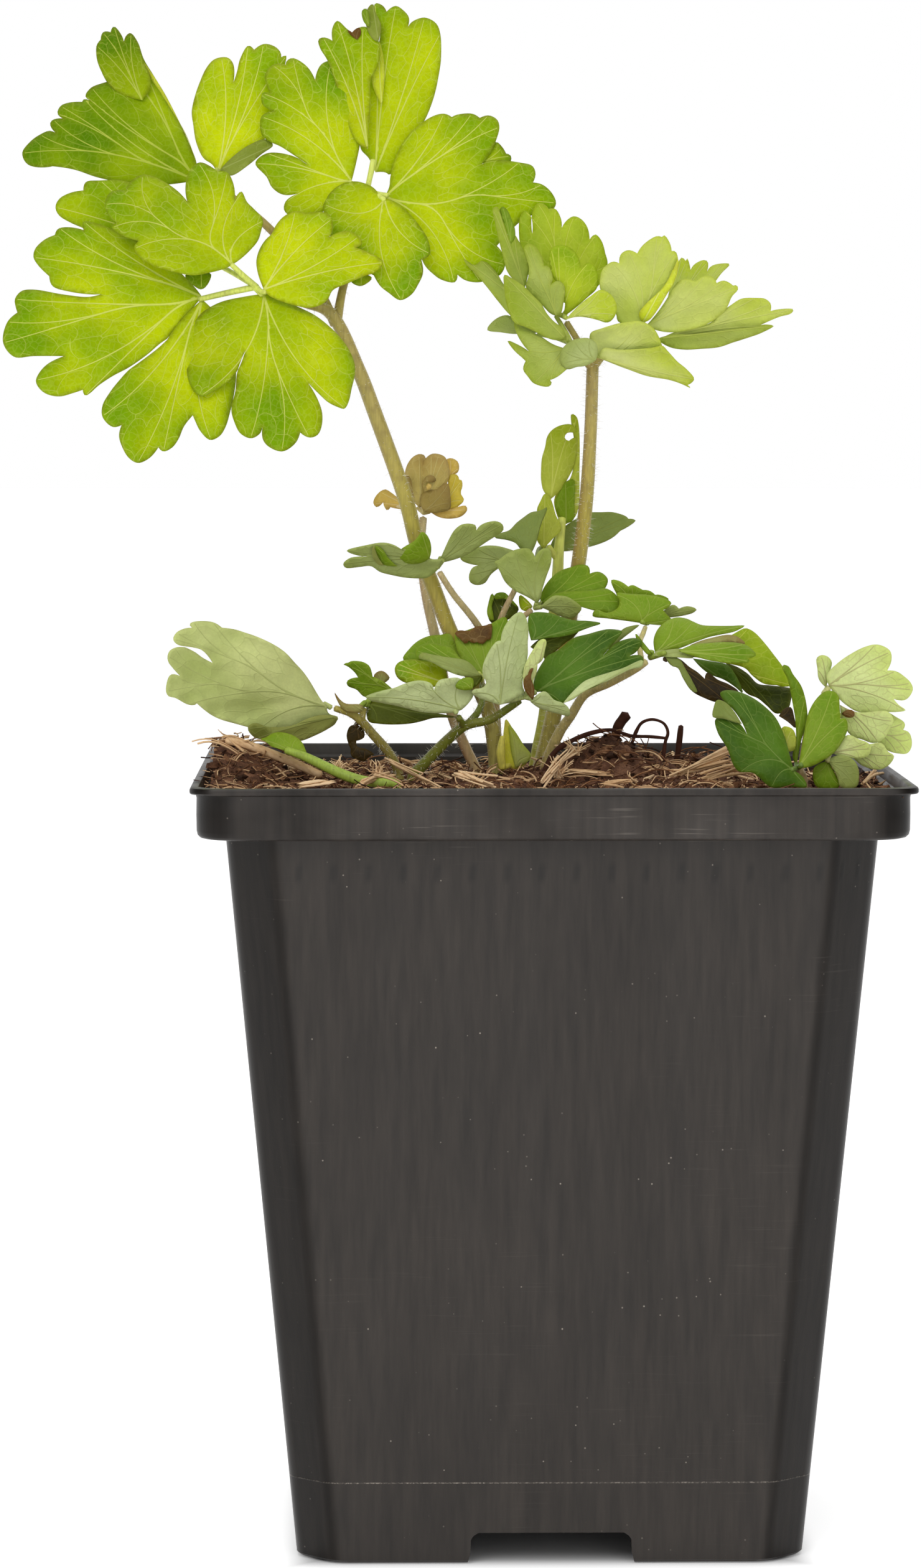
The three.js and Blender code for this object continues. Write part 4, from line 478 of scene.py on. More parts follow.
def tube(path, radii, sides=8, flute=0.0, ribs=5):
    """A closed round skin about a path. flute gives it shallow ribs."""
    ahead = np.gradient(path, axis=0)
    ahead /= np.linalg.norm(ahead, axis=1)[:, None] + 1e-12
    side = np.cross(ahead[0], (0.3, 1.0, 0.2))
    side /= np.linalg.norm(side)
    turn = np.arange(sides) * 2 * math.pi / sides
    rings = []
    for k, point in enumerate(path):
        side = side - ahead[k] * np.dot(side, ahead[k])
        side /= np.linalg.norm(side)
        up = np.cross(ahead[k], side)
        reach = radii[k] * (1 + flute * np.cos(ribs * turn))
        rings.append(point + reach[:, None] * (np.cos(turn)[:, None] * side + np.sin(turn)[:, None] * up))
    points, faces = loft(rings, caps=False)
    n = len(points)
    ends = [path[0] - ahead[0] * radii[0] * 0.5, path[-1] + ahead[-1] * radii[-1] * 0.5]
    for i in range(sides):
        j = (i + 1) % sides
        faces += [(j, i, n), (n - sides + i, n - sides + j, n + 1)]
    return np.vstack([points, ends]), faces


class Heap:
    """Skins gathered into one mesh, with a value for every point and a paint for every face."""

    def __init__(self):
        self.points, self.faces, self.values, self.marks, self.count = [], [], [], [], 0

    def add(self, skin, value=0.0, mark=0):
        points, faces = skin
        self.faces += [tuple(i + self.count for i in face) for face in faces]
        self.marks += mark if isinstance(mark, list) else [mark] * len(faces)
        self.points.append(points)
        self.values.append(np.full(len(points), value) if np.isscalar(value) else value)
        self.count += len(points)

    def piece(self, name, paints):
        return add_mesh(name, np.vstack(self.points), self.faces, paints, marks=self.marks)


def soil_height(x, y):
    u = min(max((y - 10) / 32, 0), 1)
    z = 97.3 - 1.7 * u * u * (3 - 2 * u)
    for mx, my, h, rx, ry in MOUNDS:
        z = z + h * np.exp(-((x - mx) / rx) ** 2 - ((y - my) / ry) ** 2)
    return z


def soil_inside(z):
    """Half width and cut corner of the hollow that the soil fills."""
    if z > ledge_top:
        return inner - SOIL_CLEAR, BAND_CORNER - 1
    return body_half(z) - WALL - SOIL_CLEAR, body_chamfer(z) + 0.4


half, corner = soil_inside(96.0)
points, faces = [], []
for v in np.linspace(-1, 1, GRID + 1):
    for u in np.linspace(-1, 1, GRID + 1):
        # a square drawn in to turned corners
        x, y = u * half, v * half
        over = max(abs(x) - (half - corner), 0), max(abs(y) - (half - corner), 0)
        if over[0] > 0 and over[1] > 0:
            far = math.hypot(*over)
            reach = corner * max(over) / corner
            x = math.copysign(half - corner + over[0] * reach / far, x)
            y = math.copysign(half - corner + over[1] * reach / far, y)
        z = float(soil_height(x, y))
        p = Vector((x, y, z))
        z += 0.8 * (noise.noise(p * 0.16) + 0.9 * noise.noise(p * 0.45) + 0.7 * noise.noise(p * 1.1)
                    + 0.45 * noise.noise(p * 2.6))
        # out on the ledge under the band the soil stays above it
        z = max(z, ledge_top + 0.35 - 1.2 * max(38.6 - max(abs(x), abs(y)), 0))
        points.append((x, y, z))
n = GRID + 1
firsts = [j * n + i for j in range(GRID) for i in range(GRID)]
faces = [(k, k + 1, k + n + 1, k + n) for k in firsts]
edge = list(range(GRID)) + [j * n + GRID for j in range(GRID)]
edge += [GRID * n + i for i in range(GRID, 0, -1)] + [j * n for j in range(GRID, 0, -1)]
below = edge
for z in (94.1, 93.3, 60, 30, POT_FLOOR + SOIL_CLEAR):
    half_at, corner_at = soil_inside(z)
    ring = list(range(len(points), len(points) + len(edge)))
    for k in edge:
        x, y = points[k][0] * half_at / half, points[k][1] * half_at / half
        over = abs(x) + abs(y) - (2 * half_at - corner_at)
        if z < ledge_top and over > 0:
            x, y = x - math.copysign(over / 2, x), y - math.copysign(over / 2, y)
        points.append((x, y, z))
    for e in range(len(edge)):
        f = (e + 1) % len(edge)
        faces.append((below[e], ring[e], ring[f], below[f]))
    below = ring
faces.append(tuple(below)[::-1])

compost = Paint("peat compost", 0.95, 0.15)
where = compost.where()
lumps = compost.noise(where, 420.0, 6.0, 0.7)
dark = compost.stops(lumps, [(0.36, tone(24, 14, 10)), (0.5, tone(92, 62, 46)), (0.68, tone(170, 126, 94))])
compost.coat(Base_Color=compost.mix(compost.noise(where, 90.0, 3.0), dark, tone(116, 80, 62)))
compost.bump(compost.math("ADD", lumps, compost.noise(where, 2600.0, 3.0)), 0.9, 0.6)

root_skin = Paint("bare root", 0.8, 0.2)
bark = root_skin.noise(root_skin.where(), 900.0, 4.0, 0.65)
root_skin.coat(Base_Color=root_skin.mix(bark, tone(34, 18, 14), tone(96, 56, 40)))
root_skin.bump(bark, 0.7, 0.25)

heap = Heap()
heap.add((np.array(points), faces))
for text in BARE_ROOTS:
    at, radii = read_way(text)
    path, along = run_through(at, 6)
    wobble = np.array([1 + 0.22 * noise.noise(Vector(p) * 0.9) for p in path])
    heap.add(tube(path, np.interp(along, range(len(radii)), radii) * wobble), mark=1)
soil = heap.piece("compost", [compost, root_skin])
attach(soil, "root")
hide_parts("soil")

# ---- Crumbs and fibres -----------------------------------------------------------------------
# The compost's surface is loose: crumbs of peat and bark, springy brown fibres in every
# direction, and pale splinters of wood. They are strewn over the top of the soil, and what lies
# near its edge stays inside the band.
FIELDS = ("Density", "Smallest", "Largest", "Darkest", "Palest", "Thickness")
LITTER = [  # name, shape, number, smallest and largest in mm, darkest and palest, roundness or thickness
    ("peat_crumbs", "crumb", 5600, 0.16, 0.52, 0.0, 0.6, 1),
    ("bark_crumbs", "crumb", 260, 0.5, 1.1, 0.0, 0.6, 2),
    ("brown_fibres", "fibre", 2600, 2.4, 8.0, 0.0, 0.78, 0.06),
    ("pale_fibres", "fibre", 620, 2.0, 6.5, 0.6, 1.0, 0.09),
    ("wood_splinters", "splinter", 230, 1.2, 4.2, 0.0, 1.0, 0),
]
SURFACE, UNDER_LEDGE = 88.5, 39.2


class Growth(Wires):
    """A geometry tree that scatters one shape over a mesh, each with its own turn, size and hue."""

    def __init__(self, name):
        super().__init__(bpy.data.node_groups.new(name, "GeometryNodeTree"))
        for label, way, kind in [("Geometry", "INPUT", "Geometry"), ("Geometry", "OUTPUT", "Geometry"),
                                 ("Material", "INPUT", "Material"), ("Roundness", "INPUT", "Int"),
                                 *((label, "INPUT", "Float") for label in FIELDS)]:
            self.tree.interface.new_socket(label, in_out=way, socket_type="NodeSocket" + kind)
        self.source = self.tree.nodes.new("NodeGroupInput").outputs

    def random(self, seed, low, high):
        if isinstance(low, tuple):
            return self.add("FunctionNodeRandomValue", data_type="FLOAT_VECTOR", i0=low, i1=high, i8=seed)
        return self.add("FunctionNodeRandomValue", 1, data_type="FLOAT", i2=low, i3=high, i8=seed)

    def points(self, seed):
        return self.add("GeometryNodeDistributePointsOnFaces", Mesh=self.source["Geometry"],
                        Density=self.source["Density"], Seed=seed).node.outputs

    def close(self, put, hue):
        """Ends the tree: each copy keeps its hue, and all become one plain mesh."""
        toned = self.add("GeometryNodeStoreNamedAttribute", data_type="FLOAT", domain="INSTANCE",
                         Geometry=put, Name="hue", Value=hue)
        real = self.add("GeometryNodeRealizeInstances", Geometry=toned)
        done = self.add("GeometryNodeSetMaterial", Geometry=real, Material=self.source["Material"])
        self.fill(self.tree.nodes.new("NodeGroupOutput"), i0=done)

    def strew(self, shape, seed, spin_low, spin_high, pick=False):
        source = self.source
        put = self.add("GeometryNodeInstanceOnPoints", Points=self.points(seed)["Points"], Instance=shape,
                       Rotation=self.random(seed + 1, spin_low, spin_high), Pick_Instance=pick,
                       Scale=self.random(seed + 2, source["Smallest"], source["Largest"]))
        self.close(put, self.random(seed + 3, source["Darkest"], source["Palest"]))

    def grow(self, name, host_mesh, paint, values):
        """Runs the tree on a copy of a mesh with its inputs set, and keeps the plain result."""
        host = bpy.data.objects.new(name, host_mesh.copy())
        bpy.context.collection.objects.link(host)
        step = host.modifiers.new("grow", "NODES")
        step.node_group = self.tree
        values = {"Material": paint.material, **values}
        for item in self.tree.interface.items_tree:
            if item.in_out == "INPUT" and item.name in values:
                step[item.identifier] = values[item.name]
        bpy.context.view_layer.update()
        settle(host, step)
        return host


def litter_paint(name, stops, grain_scale, rough):
    """A finish whose tone follows each bit's own hue, with a little grain."""
    skin = Paint(name, rough, 0.15)
    grain = skin.noise(skin.where(), grain_scale, 4.0, 0.65)
    hue = skin.math("MULTIPLY_ADD", grain, 0.5, skin.own("hue", "Fac"))
    skin.coat(Base_Color=skin.stops(hue, [(0.2 + 0.8 * k / (len(stops) - 1), tone(*stop))
                                          for k, stop in enumerate(stops)]))
    skin.bump(grain, 0.6, 0.2)
    return skin


crumb_paint, fibre_paint, straw_paint = (litter_paint(*finish) for finish in (
    ("peat crumb", ((24, 14, 9), (72, 46, 32), (126, 88, 62), (190, 150, 114)), 1800.0, 0.95),
    ("fibre", ((32, 18, 12), (92, 56, 38), (150, 106, 72), (226, 190, 146)), 900.0, 0.8),
    ("straw", ((150, 112, 78), (210, 172, 128), (240, 208, 166)), 1500.0, 0.75),
))

crumbs = Growth("crumbs")
ball = crumbs.add("GeometryNodeMeshIcoSphere", Radius=1.0 * MM, Subdivisions=crumbs.source["Roundness"])
rough = crumbs.add("ShaderNodeTexNoise", "Color", Scale=1400.0, Detail=2.0)
about = crumbs.add("ShaderNodeVectorMath", operation="SUBTRACT", i0=rough, i1=(0.5, 0.5, 0.5))
push = crumbs.add("ShaderNodeVectorMath", operation="SCALE", i0=about, Scale=2.6 * MM)
lump = crumbs.add("GeometryNodeSetPosition", Geometry=ball, Offset=push)
flat = crumbs.add("GeometryNodeTransform", Geometry=lump, Scale=(1.0, 0.75, 0.55))
crumbs.strew(flat, 10, (-0.6, -0.6, 0), (0.6, 0.6, 6.28))

fibres = Growth("fibres")
ring = fibres.add("GeometryNodeCurvePrimitiveCircle", Resolution=4, Radius=fibres.source["Thickness"])
bundle = fibres.tree.nodes.new("GeometryNodeGeometryToInstance")
for rise, sway in ((0.12, 0.05), (0.3, -0.16), (0.02, 0.28), (0.2, 0.1)):
    arc = fibres.add("GeometryNodeCurvePrimitiveBezierSegment", Resolution=9,
                     Start=(-0.5 * MM, 0, -0.02 * MM), Start_Handle=(-0.15 * MM, sway * MM, rise * MM),
                     End_Handle=(0.2 * MM, -sway * 1.3 * MM, rise * 0.7 * MM),
                     End=(0.5 * MM, sway * 0.4 * MM, (rise - 0.15) * MM))
    fibres.fill(bundle, i0=fibres.add("GeometryNodeCurveToMesh", Curve=arc, Profile_Curve=ring))
fibres.strew(bundle.outputs[0], 30, (0, -0.45, 0), (6.28, 0.3, 6.28), pick=True)

splinters = Growth("splinters")
sliver = splinters.add("GeometryNodeMeshCone", Vertices=5, Side_Segments=2, Radius_Top=0.03 * MM,
                       Radius_Bottom=0.11 * MM, Depth=1.0 * MM)
laid = splinters.add("GeometryNodeTransform", Geometry=sliver, Rotation=(0, 1.5708, 0), Scale=(1, 1, 1))
splinters.strew(laid, 50, (0, -0.35, 0), (0.5, 0.35, 6.28))

# only the top of the soil carries litter
bare = bmesh.new()
bare.from_mesh(soil.data)
others = [face for face in bare.faces
          if face.calc_center_median().z < SURFACE * MM or face.normal.z < 0.2 or face.material_index]
bmesh.ops.delete(bare, geom=others, context="FACES")
ground = bpy.data.meshes.new("ground")
bare.to_mesh(ground)
bare.free()
ground_area = sum(face.area for face in ground.polygons)

SHAPES = {
    "crumb": (crumbs, crumb_paint), "fibre": (fibres, fibre_paint), "splinter": (splinters, straw_paint),
}
for name, kind, number, small, large, dark, pale, extra in LITTER:
    growth, finish = SHAPES[kind]
    values = dict(zip(FIELDS, (number / ground_area, small, large, dark, pale)))
    values |= {"Roundness": extra} if kind == "crumb" else {"Thickness": extra * MM / ((small + large) / 2)}
    piece = growth.grow(name, ground, finish, values)
    # what lies below the rim stays inside the pot
    spots = np.empty(len(piece.data.vertices) * 3, np.float32)
    piece.data.vertices.foreach_get("co", spots)
    spots = spots.reshape(-1, 3) / MM - AXIS
    under, low = spots[:, 2] < POT_HEIGHT + 0.1, spots[:, 2] < ledge_top
    spots[under, :2] = np.clip(spots[under, :2], -inner - 0.3, inner + 0.3)
    spots[low, :2] = np.clip(spots[low, :2], -UNDER_LEDGE, UNDER_LEDGE)
    spots[~under, 0] = np.clip(spots[~under, 0], -LIP / 2 - 1.5, LIP / 2 - 1)
    spots[~under, 1] = np.clip(spots[~under, 1], -LIP / 2 + 0.3, LIP / 2 - 0.3)
    piece.data.vertices.foreach_set("co", to_frame(spots).ravel())
    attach(piece, "root")
bpy.data.meshes.remove(ground)

# ---- Straw and bark --------------------------------------------------------------------------
# A bent straw leans over the heap at the left, and torn chips of wood and straw lie on the soil,
# split along their grain and frayed at the ends. They are loose and only pressed into the compost.
STRAW_STALK = "-40.3,105,-15,.5 -38,104.5,-15.4,.55 -33,102.6,-17,.6 -28.8,100.7,-19,.5"
CHIPS = [  # node, X, Z, depth, half length, half width, turn in degrees, rise
    ("straw_chip_front", 4.2, 100.9, -13, 3.6, 0.75, -10, -0.3),
    ("straw_chip_left", -29.3, 99.7, -32, 2.4, 1.1, 12, 0.3),
    ("straw_chip_right", 18.3, 101.6, -14, 4.4, 0.9, 24, 0.9),
]
LOOSE_STRAWS = [  # X, Z, depth of both ends, half width, hue, strands
    ((-12.2, 101.0, -30), (-8.4, 99.6, -33), 0.5, 0.8, 4),
    ((14.2, 100.6, -18), (21.6, 103.4, -12), 0.5, 0.7, 5),
    ((17.5, 100.2, -22), (23.4, 101.6, -17), 0.45, 0.5, 4),
    ((-1.6, 99.6, -22), (1.6, 103.6, -12), 0.4, 0.9, 6),
    ((-24.5, 99.4, -30), (-20.4, 101.0, -22), 0.35, 0.6, 4),
    ((37.8, 99.6, -20), (39.6, 101.0, -14), 0.3, 0.6, 2),
    ((-20.5, 102.4, -14), (-15.2, 99.8, -24), 0.4, 0.7, 3),
    ((5.5, 99.6, -34), (9.6, 99.9, -33), 0.35, 0.4, 3),
    ((24.0, 100.4, 4), (29.0, 101.8, 12), 0.5, 0.6, 4),
    ((-14, 98.9, 16), (-7, 99.4, 22), 0.5, 0.7, 4),
    ((10, 100.3, 24), (16, 99.2, 30), 0.5, 0.5, 4),
    ((-34, 102.0, 6), (-30, 100.2, 14), 0.4, 0.5, 3),
]
TUFTS = [  # X, Z, depth of the foot, reach, strands, palest
    (-26.8, 101.2, -22, 2.6, 26, 1.0), (-21.8, 101.0, -20, 2.0, 20, 0.9), (0.4, 100.6, -16, 3.4, 26, 1.0),
    (2.4, 103.4, -10, 2.6, 16, 0.8), (22.6, 102.2, -13, 2.6, 18, 0.85), (-9.6, 99.8, -30, 2.2, 14, 0.8),
]


def splinter(length, width, thick, seed, sides=7, steps=14):
    """A torn strip of straw lying along X: ragged ends, split edges and a slight twist."""
    rng = random.Random(seed)
    rings = []
    for k in range(steps + 1):
        u = k / steps
        x = (u * 2 - 1) * length
        taper = min(1.0, (u + 0.04) * 5, (1.04 - u) * 4)
        twist = 0.35 * math.sin(u * 2.2 + seed)
        ring = []
        for s in range(sides):
            a = 2 * math.pi * s / sides
            y = width * taper * (1 + rng.uniform(-0.12, 0.12)) * math.cos(a)
            z = thick * taper * (1 + rng.uniform(-0.2, 0.2)) * math.sin(a)
            shift = rng.uniform(-0.1, 0.1) * length * (0.5 if k in (0, steps) else 0.05)
            ring.append((x + shift, y * math.cos(twist) - z * math.sin(twist),
                         y * math.sin(twist) + z * math.cos(twist)))
        rings.append(np.array(ring))
    return loft(rings)


def bend(start, over, end, count):
    """Points of a quadratic curve, evenly spaced."""
    t = np.linspace(0, 1, count)[:, None]
    return start * (1 - t) ** 2 + over * 2 * t * (1 - t) + end * t * t


def any_way(rng):
    return np.array([rng.uniform(-1, 1) for _ in range(3)])


def strands(start, end, width, count, seed, thick):
    """Frayed strands along a straw, each leaving it a little."""
    rng = random.Random(seed)
    along = end - start
    heap = Heap()
    for _ in range(count):
        a = start + along * rng.uniform(-0.05, 0.25) + any_way(rng) * width
        b = start + along * rng.uniform(0.75, 1.15) + any_way(rng) * width * 2.2
        over = (a + b) / 2 + any_way(rng) * width * 0.8
        over[2] += 0.2
        heap.add(tube(bend(a, over, b, 8), np.full(8, thick * rng.uniform(0.6, 1.3)), 5))
    return np.vstack(heap.points), heap.faces


def carry(piece, name, values):
    """Gives every point of a piece its own value: a number, a vector or a colour."""
    values = np.asarray(values, np.float32)
    kinds = {0: ("FLOAT", "value"), 3: ("FLOAT_VECTOR", "vector"), 4: ("FLOAT_COLOR", "color")}
    kind, key = kinds[values.shape[1] if values.ndim > 1 else 0]
    piece.data.attributes.new(name, kind, "POINT").data.foreach_set(key, values.ravel())


at, radii = read_way(STRAW_STALK)
path, along = run_through(at, 8)
heap = Heap()
heap.add(tube(path, np.interp(along, range(4), radii), 12, flute=0.06, ribs=6))
heap.add(strands(at[0] + (-0.6, 0, 0.2), at[1], 0.5, 7, 5, 0.11))
piece = heap.piece("bent_straw", [straw_paint])
carry(piece, "hue", 0.25 + 0.35 * np.random.default_rng(3).random(heap.count))
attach(piece, "root")
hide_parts("straw_stalk")

for k, (name, X, Z, depth, length, width, turn, rise) in enumerate(CHIPS):
    lean, spin = math.atan2(rise, length), math.radians(turn)
    heap = Heap()
    for j in range(7):
        rng = random.Random(60 + 10 * k + j)
        long = length * rng.uniform(0.55, 1.0)
        points, faces = splinter(long, width * rng.uniform(0.22, 0.42), 0.17, 31 * k + j)
        x, y, z = (points + np.array([rng.uniform(-1, 1) * (length - long), (j - 3) / 3.4 * width,
                                      rng.uniform(-0.18, 0.3)])).T
        x, z = x * math.cos(lean) - z * math.sin(lean), x * math.sin(lean) + z * math.cos(lean)
        x, y = x * math.cos(spin) - y * math.sin(spin), x * math.sin(spin) + y * math.cos(spin)
        heap.add((np.stack([x, y, z], axis=1) + place([(X, Z, depth)])[0], faces), rng.uniform(0.1, 0.9))
    piece = heap.piece(name + "_torn", [straw_paint])
    carry(piece, "hue", np.concatenate(heap.values))
    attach(piece, "root")
    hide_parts(name)

heap = Heap()
for k, (first, last, width, hue, count) in enumerate(LOOSE_STRAWS):
    a, b = place([first, last])
    heap.add(strands(a, b, width, count + 2, 200 + k, 0.14), hue * 0.8)
    strip, faces = splinter(np.linalg.norm(b - a) / 2, width * 0.55, 0.18, 77 + k)
    along = (b - a) / np.linalg.norm(b - a)
    across = np.cross((0, 0, 1), along)
    across /= np.linalg.norm(across)
    heap.add(((a + b) / 2 + strip @ np.stack([along, across, np.cross(along, across)]), faces), hue * 0.8)
for k, (X, Z, depth, reach, count, pale) in enumerate(TUFTS):
    rng = random.Random(400 + k)
    foot = place([(X, Z, depth)])[0]
    for _ in range(count):
        way = np.array([rng.uniform(-1, 1), rng.uniform(-1, 0.6), rng.uniform(-0.05, 0.95)])
        tip = foot + way / np.linalg.norm(way) * reach * rng.uniform(0.4, 1.0)
        start = foot + np.array([rng.uniform(-0.6, 0.6), rng.uniform(-0.6, 0.6), -0.3])
        over = (start + tip) / 2 + np.array([rng.uniform(-0.4, 0.4), rng.uniform(-0.4, 0.4), 0.35])
        heap.add(tube(bend(start, over, tip, 7), np.linspace(0.11, 0.05, 7), 4), pale * rng.uniform(0.5, 1.0))
piece = heap.piece("loose_straws", [straw_paint])
carry(piece, "hue", np.concatenate(heap.values))
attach(piece, "root")

# ---- Leaf stalks -----------------------------------------------------------------------------
# Each compound leaf stands on its own long stalk out of the crown, soft green flesh that is pale
# and pinkish at the foot, flushed brown-purple on its sunny side, faintly ribbed and downy with
# short white hairs. Thinner stalks fork from it to the leaflets.
PETIOLES = {  # hue, then the ways, parted by strokes
    "tall_left_petiole": ("olive", """
root -7.2,101,0,1.05 -7.4,104,0,1.02 -8.2,108.5,-.3,1 -10.2,113,-.6,1 -12.9,118.3,-1,1 -14.9,123.5,-1.3,1
-16.9,128.8,-1.6,1 -18.2,134,-2,1 -22.1,145,-2.6,.95 -24,150,-2.8,.92 -27.6,157.2,-3,.8 -30.8,158.4,-4,.6
-35.5,160,-5.9,.48 /
-26.9,155.8,-2.9,.7 -29.5,161,-1,.6 -35,167.5,1.4,.55 -41,172.4,2.7,.5 /
-26.8,155.6,-2.8,.7 -26,160,-1,.55 -24,167,1.2,.5 -23.3,171.3,2.1,.45"""),
    "tall_right_petiole": ("olive", """
root -1.9,100.8,3,1.15 -1.4,103,2.8,1.1 -.2,108.2,2.2,1.05 1.4,118,1,1 2.7,125.9,0,.95 3.7,134,-1.2,.9
4.2,141.8,-2.6,.82 4.5,151,-4,.78 /
4.5,150.6,-4,.6 3.4,152.6,-4.6,.45 1.3,156,-5.4,.42 /
4.7,150.8,-4,.6 6,152.2,-4.2,.45 10.2,154.8,-4.5,.42 /
4.3,150.5,-4,.55 3,152.1,-5.4,.42 2.2,153,-6.2,.4"""),
    "young_brown_petiole": ("purple", """
root -9.6,100.8,6,.7 -11,104,6.2,.7 -12.6,107.8,6.6,.68 -14.6,117,7.2,.66 -15.9,123,7.8,.62
-16.5,128,8.4,.55 -16.2,132.2,8.8,.5"""),
    "mid_leaf_petiole": ("purple", """
root -7,100.9,3.6,.62 -7.3,108,3.2,.58 -8,116,1.4,.52 -9.7,119.3,-1,.46 -12.6,123,-3.4,.42
-14.2,125.5,-4.7,.4 /
-7.9,115.5,1.6,.45 -6.6,120.1,-2.2,.4 -5,123.4,-3.2,.36 /
-7.9,115.5,1.6,.45 -5.2,119,-3.4,.38 -3,120.9,-5.3,.36"""),
    "low_leaf_petiole": ("green", """
root -17.5,100.5,-9.5,.72 -16.5,101.6,-10.2,.72 -13.3,104.9,-12,.68 -10.9,106.8,-14,.62 -8,107.5,-15,.52
-5.6,109,-15.6,.48 -4.4,109.8,-16.3,.42 /
-11.2,106.6,-13.8,.5 -11.9,107.8,-15.6,.42 /
-11,106.7,-13.8,.5 -9.4,108.6,-12,.44 -8.9,110.5,-9.6,.4 -9,111.7,-8.2,.36"""),
    "side_leaf_petiole": ("olive", """
root -19.2,100.6,-6,.62 -20.3,103.2,-8.6,.62 -22.4,105.7,-11.4,.6 -24,107.5,-13.4,.55
-25.2,108.3,-14.2,.45 -27,108.9,-15,.4 /
-23.8,107.3,-13.2,.5 -23.5,108.9,-12.9,.4"""),
    # the drooping stalk takes the pale tones, painted light for a stalk that lies in shade
    "droop_leaf_petiole": ("pale", """
root -1.2,101.6,-1.5,.7 .5,105.9,-3.5,.66 1.8,107.8,-5,.62 3.7,110.6,-7.5,.55 6.7,112,-10,.5
10,113.8,-12.6,.48 11.1,114.6,-13.2,.45 /
10.6,114.3,-12.8,.4 10.3,116.8,-10.5,.34 10.7,118,-8.2,.34 11,118.8,-6.9,.3"""),
    "right_leaf_petiole": ("purple", """
root 30.4,100.4,-26,.55 29.9,101.2,-26.8,.5 /
30.1,100.8,-26.4,.42 30.5,104,-25,.4 31.2,107.5,-24.6,.36 32.4,110,-23.7,.34"""),
}
STEM_TONES = {  # foot, middle, top, flush
    "olive": (tone(180, 170, 96), tone(166, 152, 62), tone(170, 153, 86), tone(142, 112, 60)),
    "purple": (tone(206, 178, 130), tone(196, 178, 128), tone(190, 178, 110), tone(158, 112, 84)),
    "green": (tone(116, 118, 44), tone(108, 124, 30), tone(140, 160, 60), tone(110, 96, 40)),
    # pale: the olive tones made much lighter, painted light for the drooping stalk, which lies in shade
    "pale": (tone(214, 200, 126), tone(222, 208, 138), tone(226, 216, 164), tone(176, 150, 96)),
}


def blend_tones(stops, at):
    """The colour at each place along evenly spaced stops."""
    stops = np.array(stops)
    at = np.clip(at, 0, 1) * (len(stops) - 1)
    return np.stack([np.interp(at, range(len(stops)), stops[:, k]) for k in range(4)], axis=1)


flesh = Paint("stalk flesh", 0.5, 0.35)
where = flesh.where()
fibre = flesh.noise(flesh.add("ShaderNodeMapping", Vector=where, Scale=(1, 1, 0.12)), 3800.0, 3.0)
lit = flesh.shade(flesh.own("stem"), flesh.span(fibre, 0.3, 0.7, 0.82, 1.15))
spots = flesh.span(flesh.noise(where, 700.0, 3.0), 0.52, 0.75, 0.0, 0.35)
flesh.coat(Base_Color=flesh.mix(spots, lit, tone(104, 84, 50)))
flesh.bump(fibre, 0.3, 0.12)

for name, (hue_name, text) in PETIOLES.items():
    foot, middle, top, flush = STEM_TONES[hue_name]
    heap = Heap()
    for way in text.split("/"):
        at, radii = read_way(way)
        path, along = run_through(at, 8)
        sides, flute = (16, 0.05) if len(at) > 4 else (10, 0.0)
        points, faces = tube(path, np.interp(along, range(len(radii)), radii), sides, flute)
        hue = blend_tones((foot, middle, middle, top), (points[:, 2] - 96) / 60 * 1.15)
        # the flush lies on the left and at the back, in long soft patches
        out = points - np.vstack([np.repeat(path, sides, axis=0), path[0], path[-1]])
        out /= np.linalg.norm(out, axis=1)[:, None] + 1e-9
        patch = np.array([noise.noise(Vector((p[0] * 0.25, p[1] * 0.25, p[2] * 0.06))) for p in points])
        share = np.clip(0.4 * (-out[:, 0] * 0.8 + out[:, 1] * 0.4) + 0.12 + 0.7 * patch, 0, 0.8)[:, None]
        heap.add((points, faces), hue * (1 - share) + np.array(flush) * share)
    piece = heap.piece(name + "_flesh", [flesh])
    carry(piece, "stem", np.vstack(heap.values))
    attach(piece, "root")
    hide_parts(name)

# ---- Down ------------------------------------------------------------------------------------
# The stalks carry a thin down of soft white hairs, most of all on the young ones. They stand off
# the skin, each leaning a little its own way, and are under a millimetre long.
HAIRS = {  # stalk, hairs to a square millimetre, shortest and longest in mm
    "tall_left": (1.3, 0.25, 0.7), "tall_right": (2.6, 0.3, 0.95), "young_brown": (2.4, 0.3, 0.8),
    "mid_leaf": (1.6, 0.25, 0.6), "low_leaf": (3.0, 0.3, 0.8), "side_leaf": (3.0, 0.3, 0.75),
    "droop_leaf": (2.2, 0.25, 0.7), "right_leaf": (2.0, 0.25, 0.6),
}
HAIR_THICK = 0.024
PER_SQUARE_METRE = 1e6

hair_paint = Paint("white down", 0.5, 0.3)
hair_hue = hair_paint.own("hue", "Fac")
hair_paint.coat(Base_Color=hair_paint.mix(hair_hue, tone(214, 208, 184), tone(246, 246, 238)))

down = Growth("down")
hair = down.add("GeometryNodeMeshCone", Vertices=3, Side_Segments=2, Radius_Top=0.2 * HAIR_THICK * MM,
                Radius_Bottom=HAIR_THICK * MM, Depth=1.0 * MM)
points = down.points(70)
tall = down.random(71, down.source["Smallest"], down.source["Largest"])
put = down.add("GeometryNodeInstanceOnPoints", Points=points["Points"], Instance=hair,
               Rotation=points["Rotation"], Scale=down.add("ShaderNodeCombineXYZ", X=1.0, Y=1.0, Z=tall))
leant = down.add("GeometryNodeRotateInstances", Instances=put,
                 Rotation=down.random(72, (-0.45, -0.45, 0), (0.45, 0.45, 3.0)))
down.close(leant, down.random(73, 0.0, 1.0))

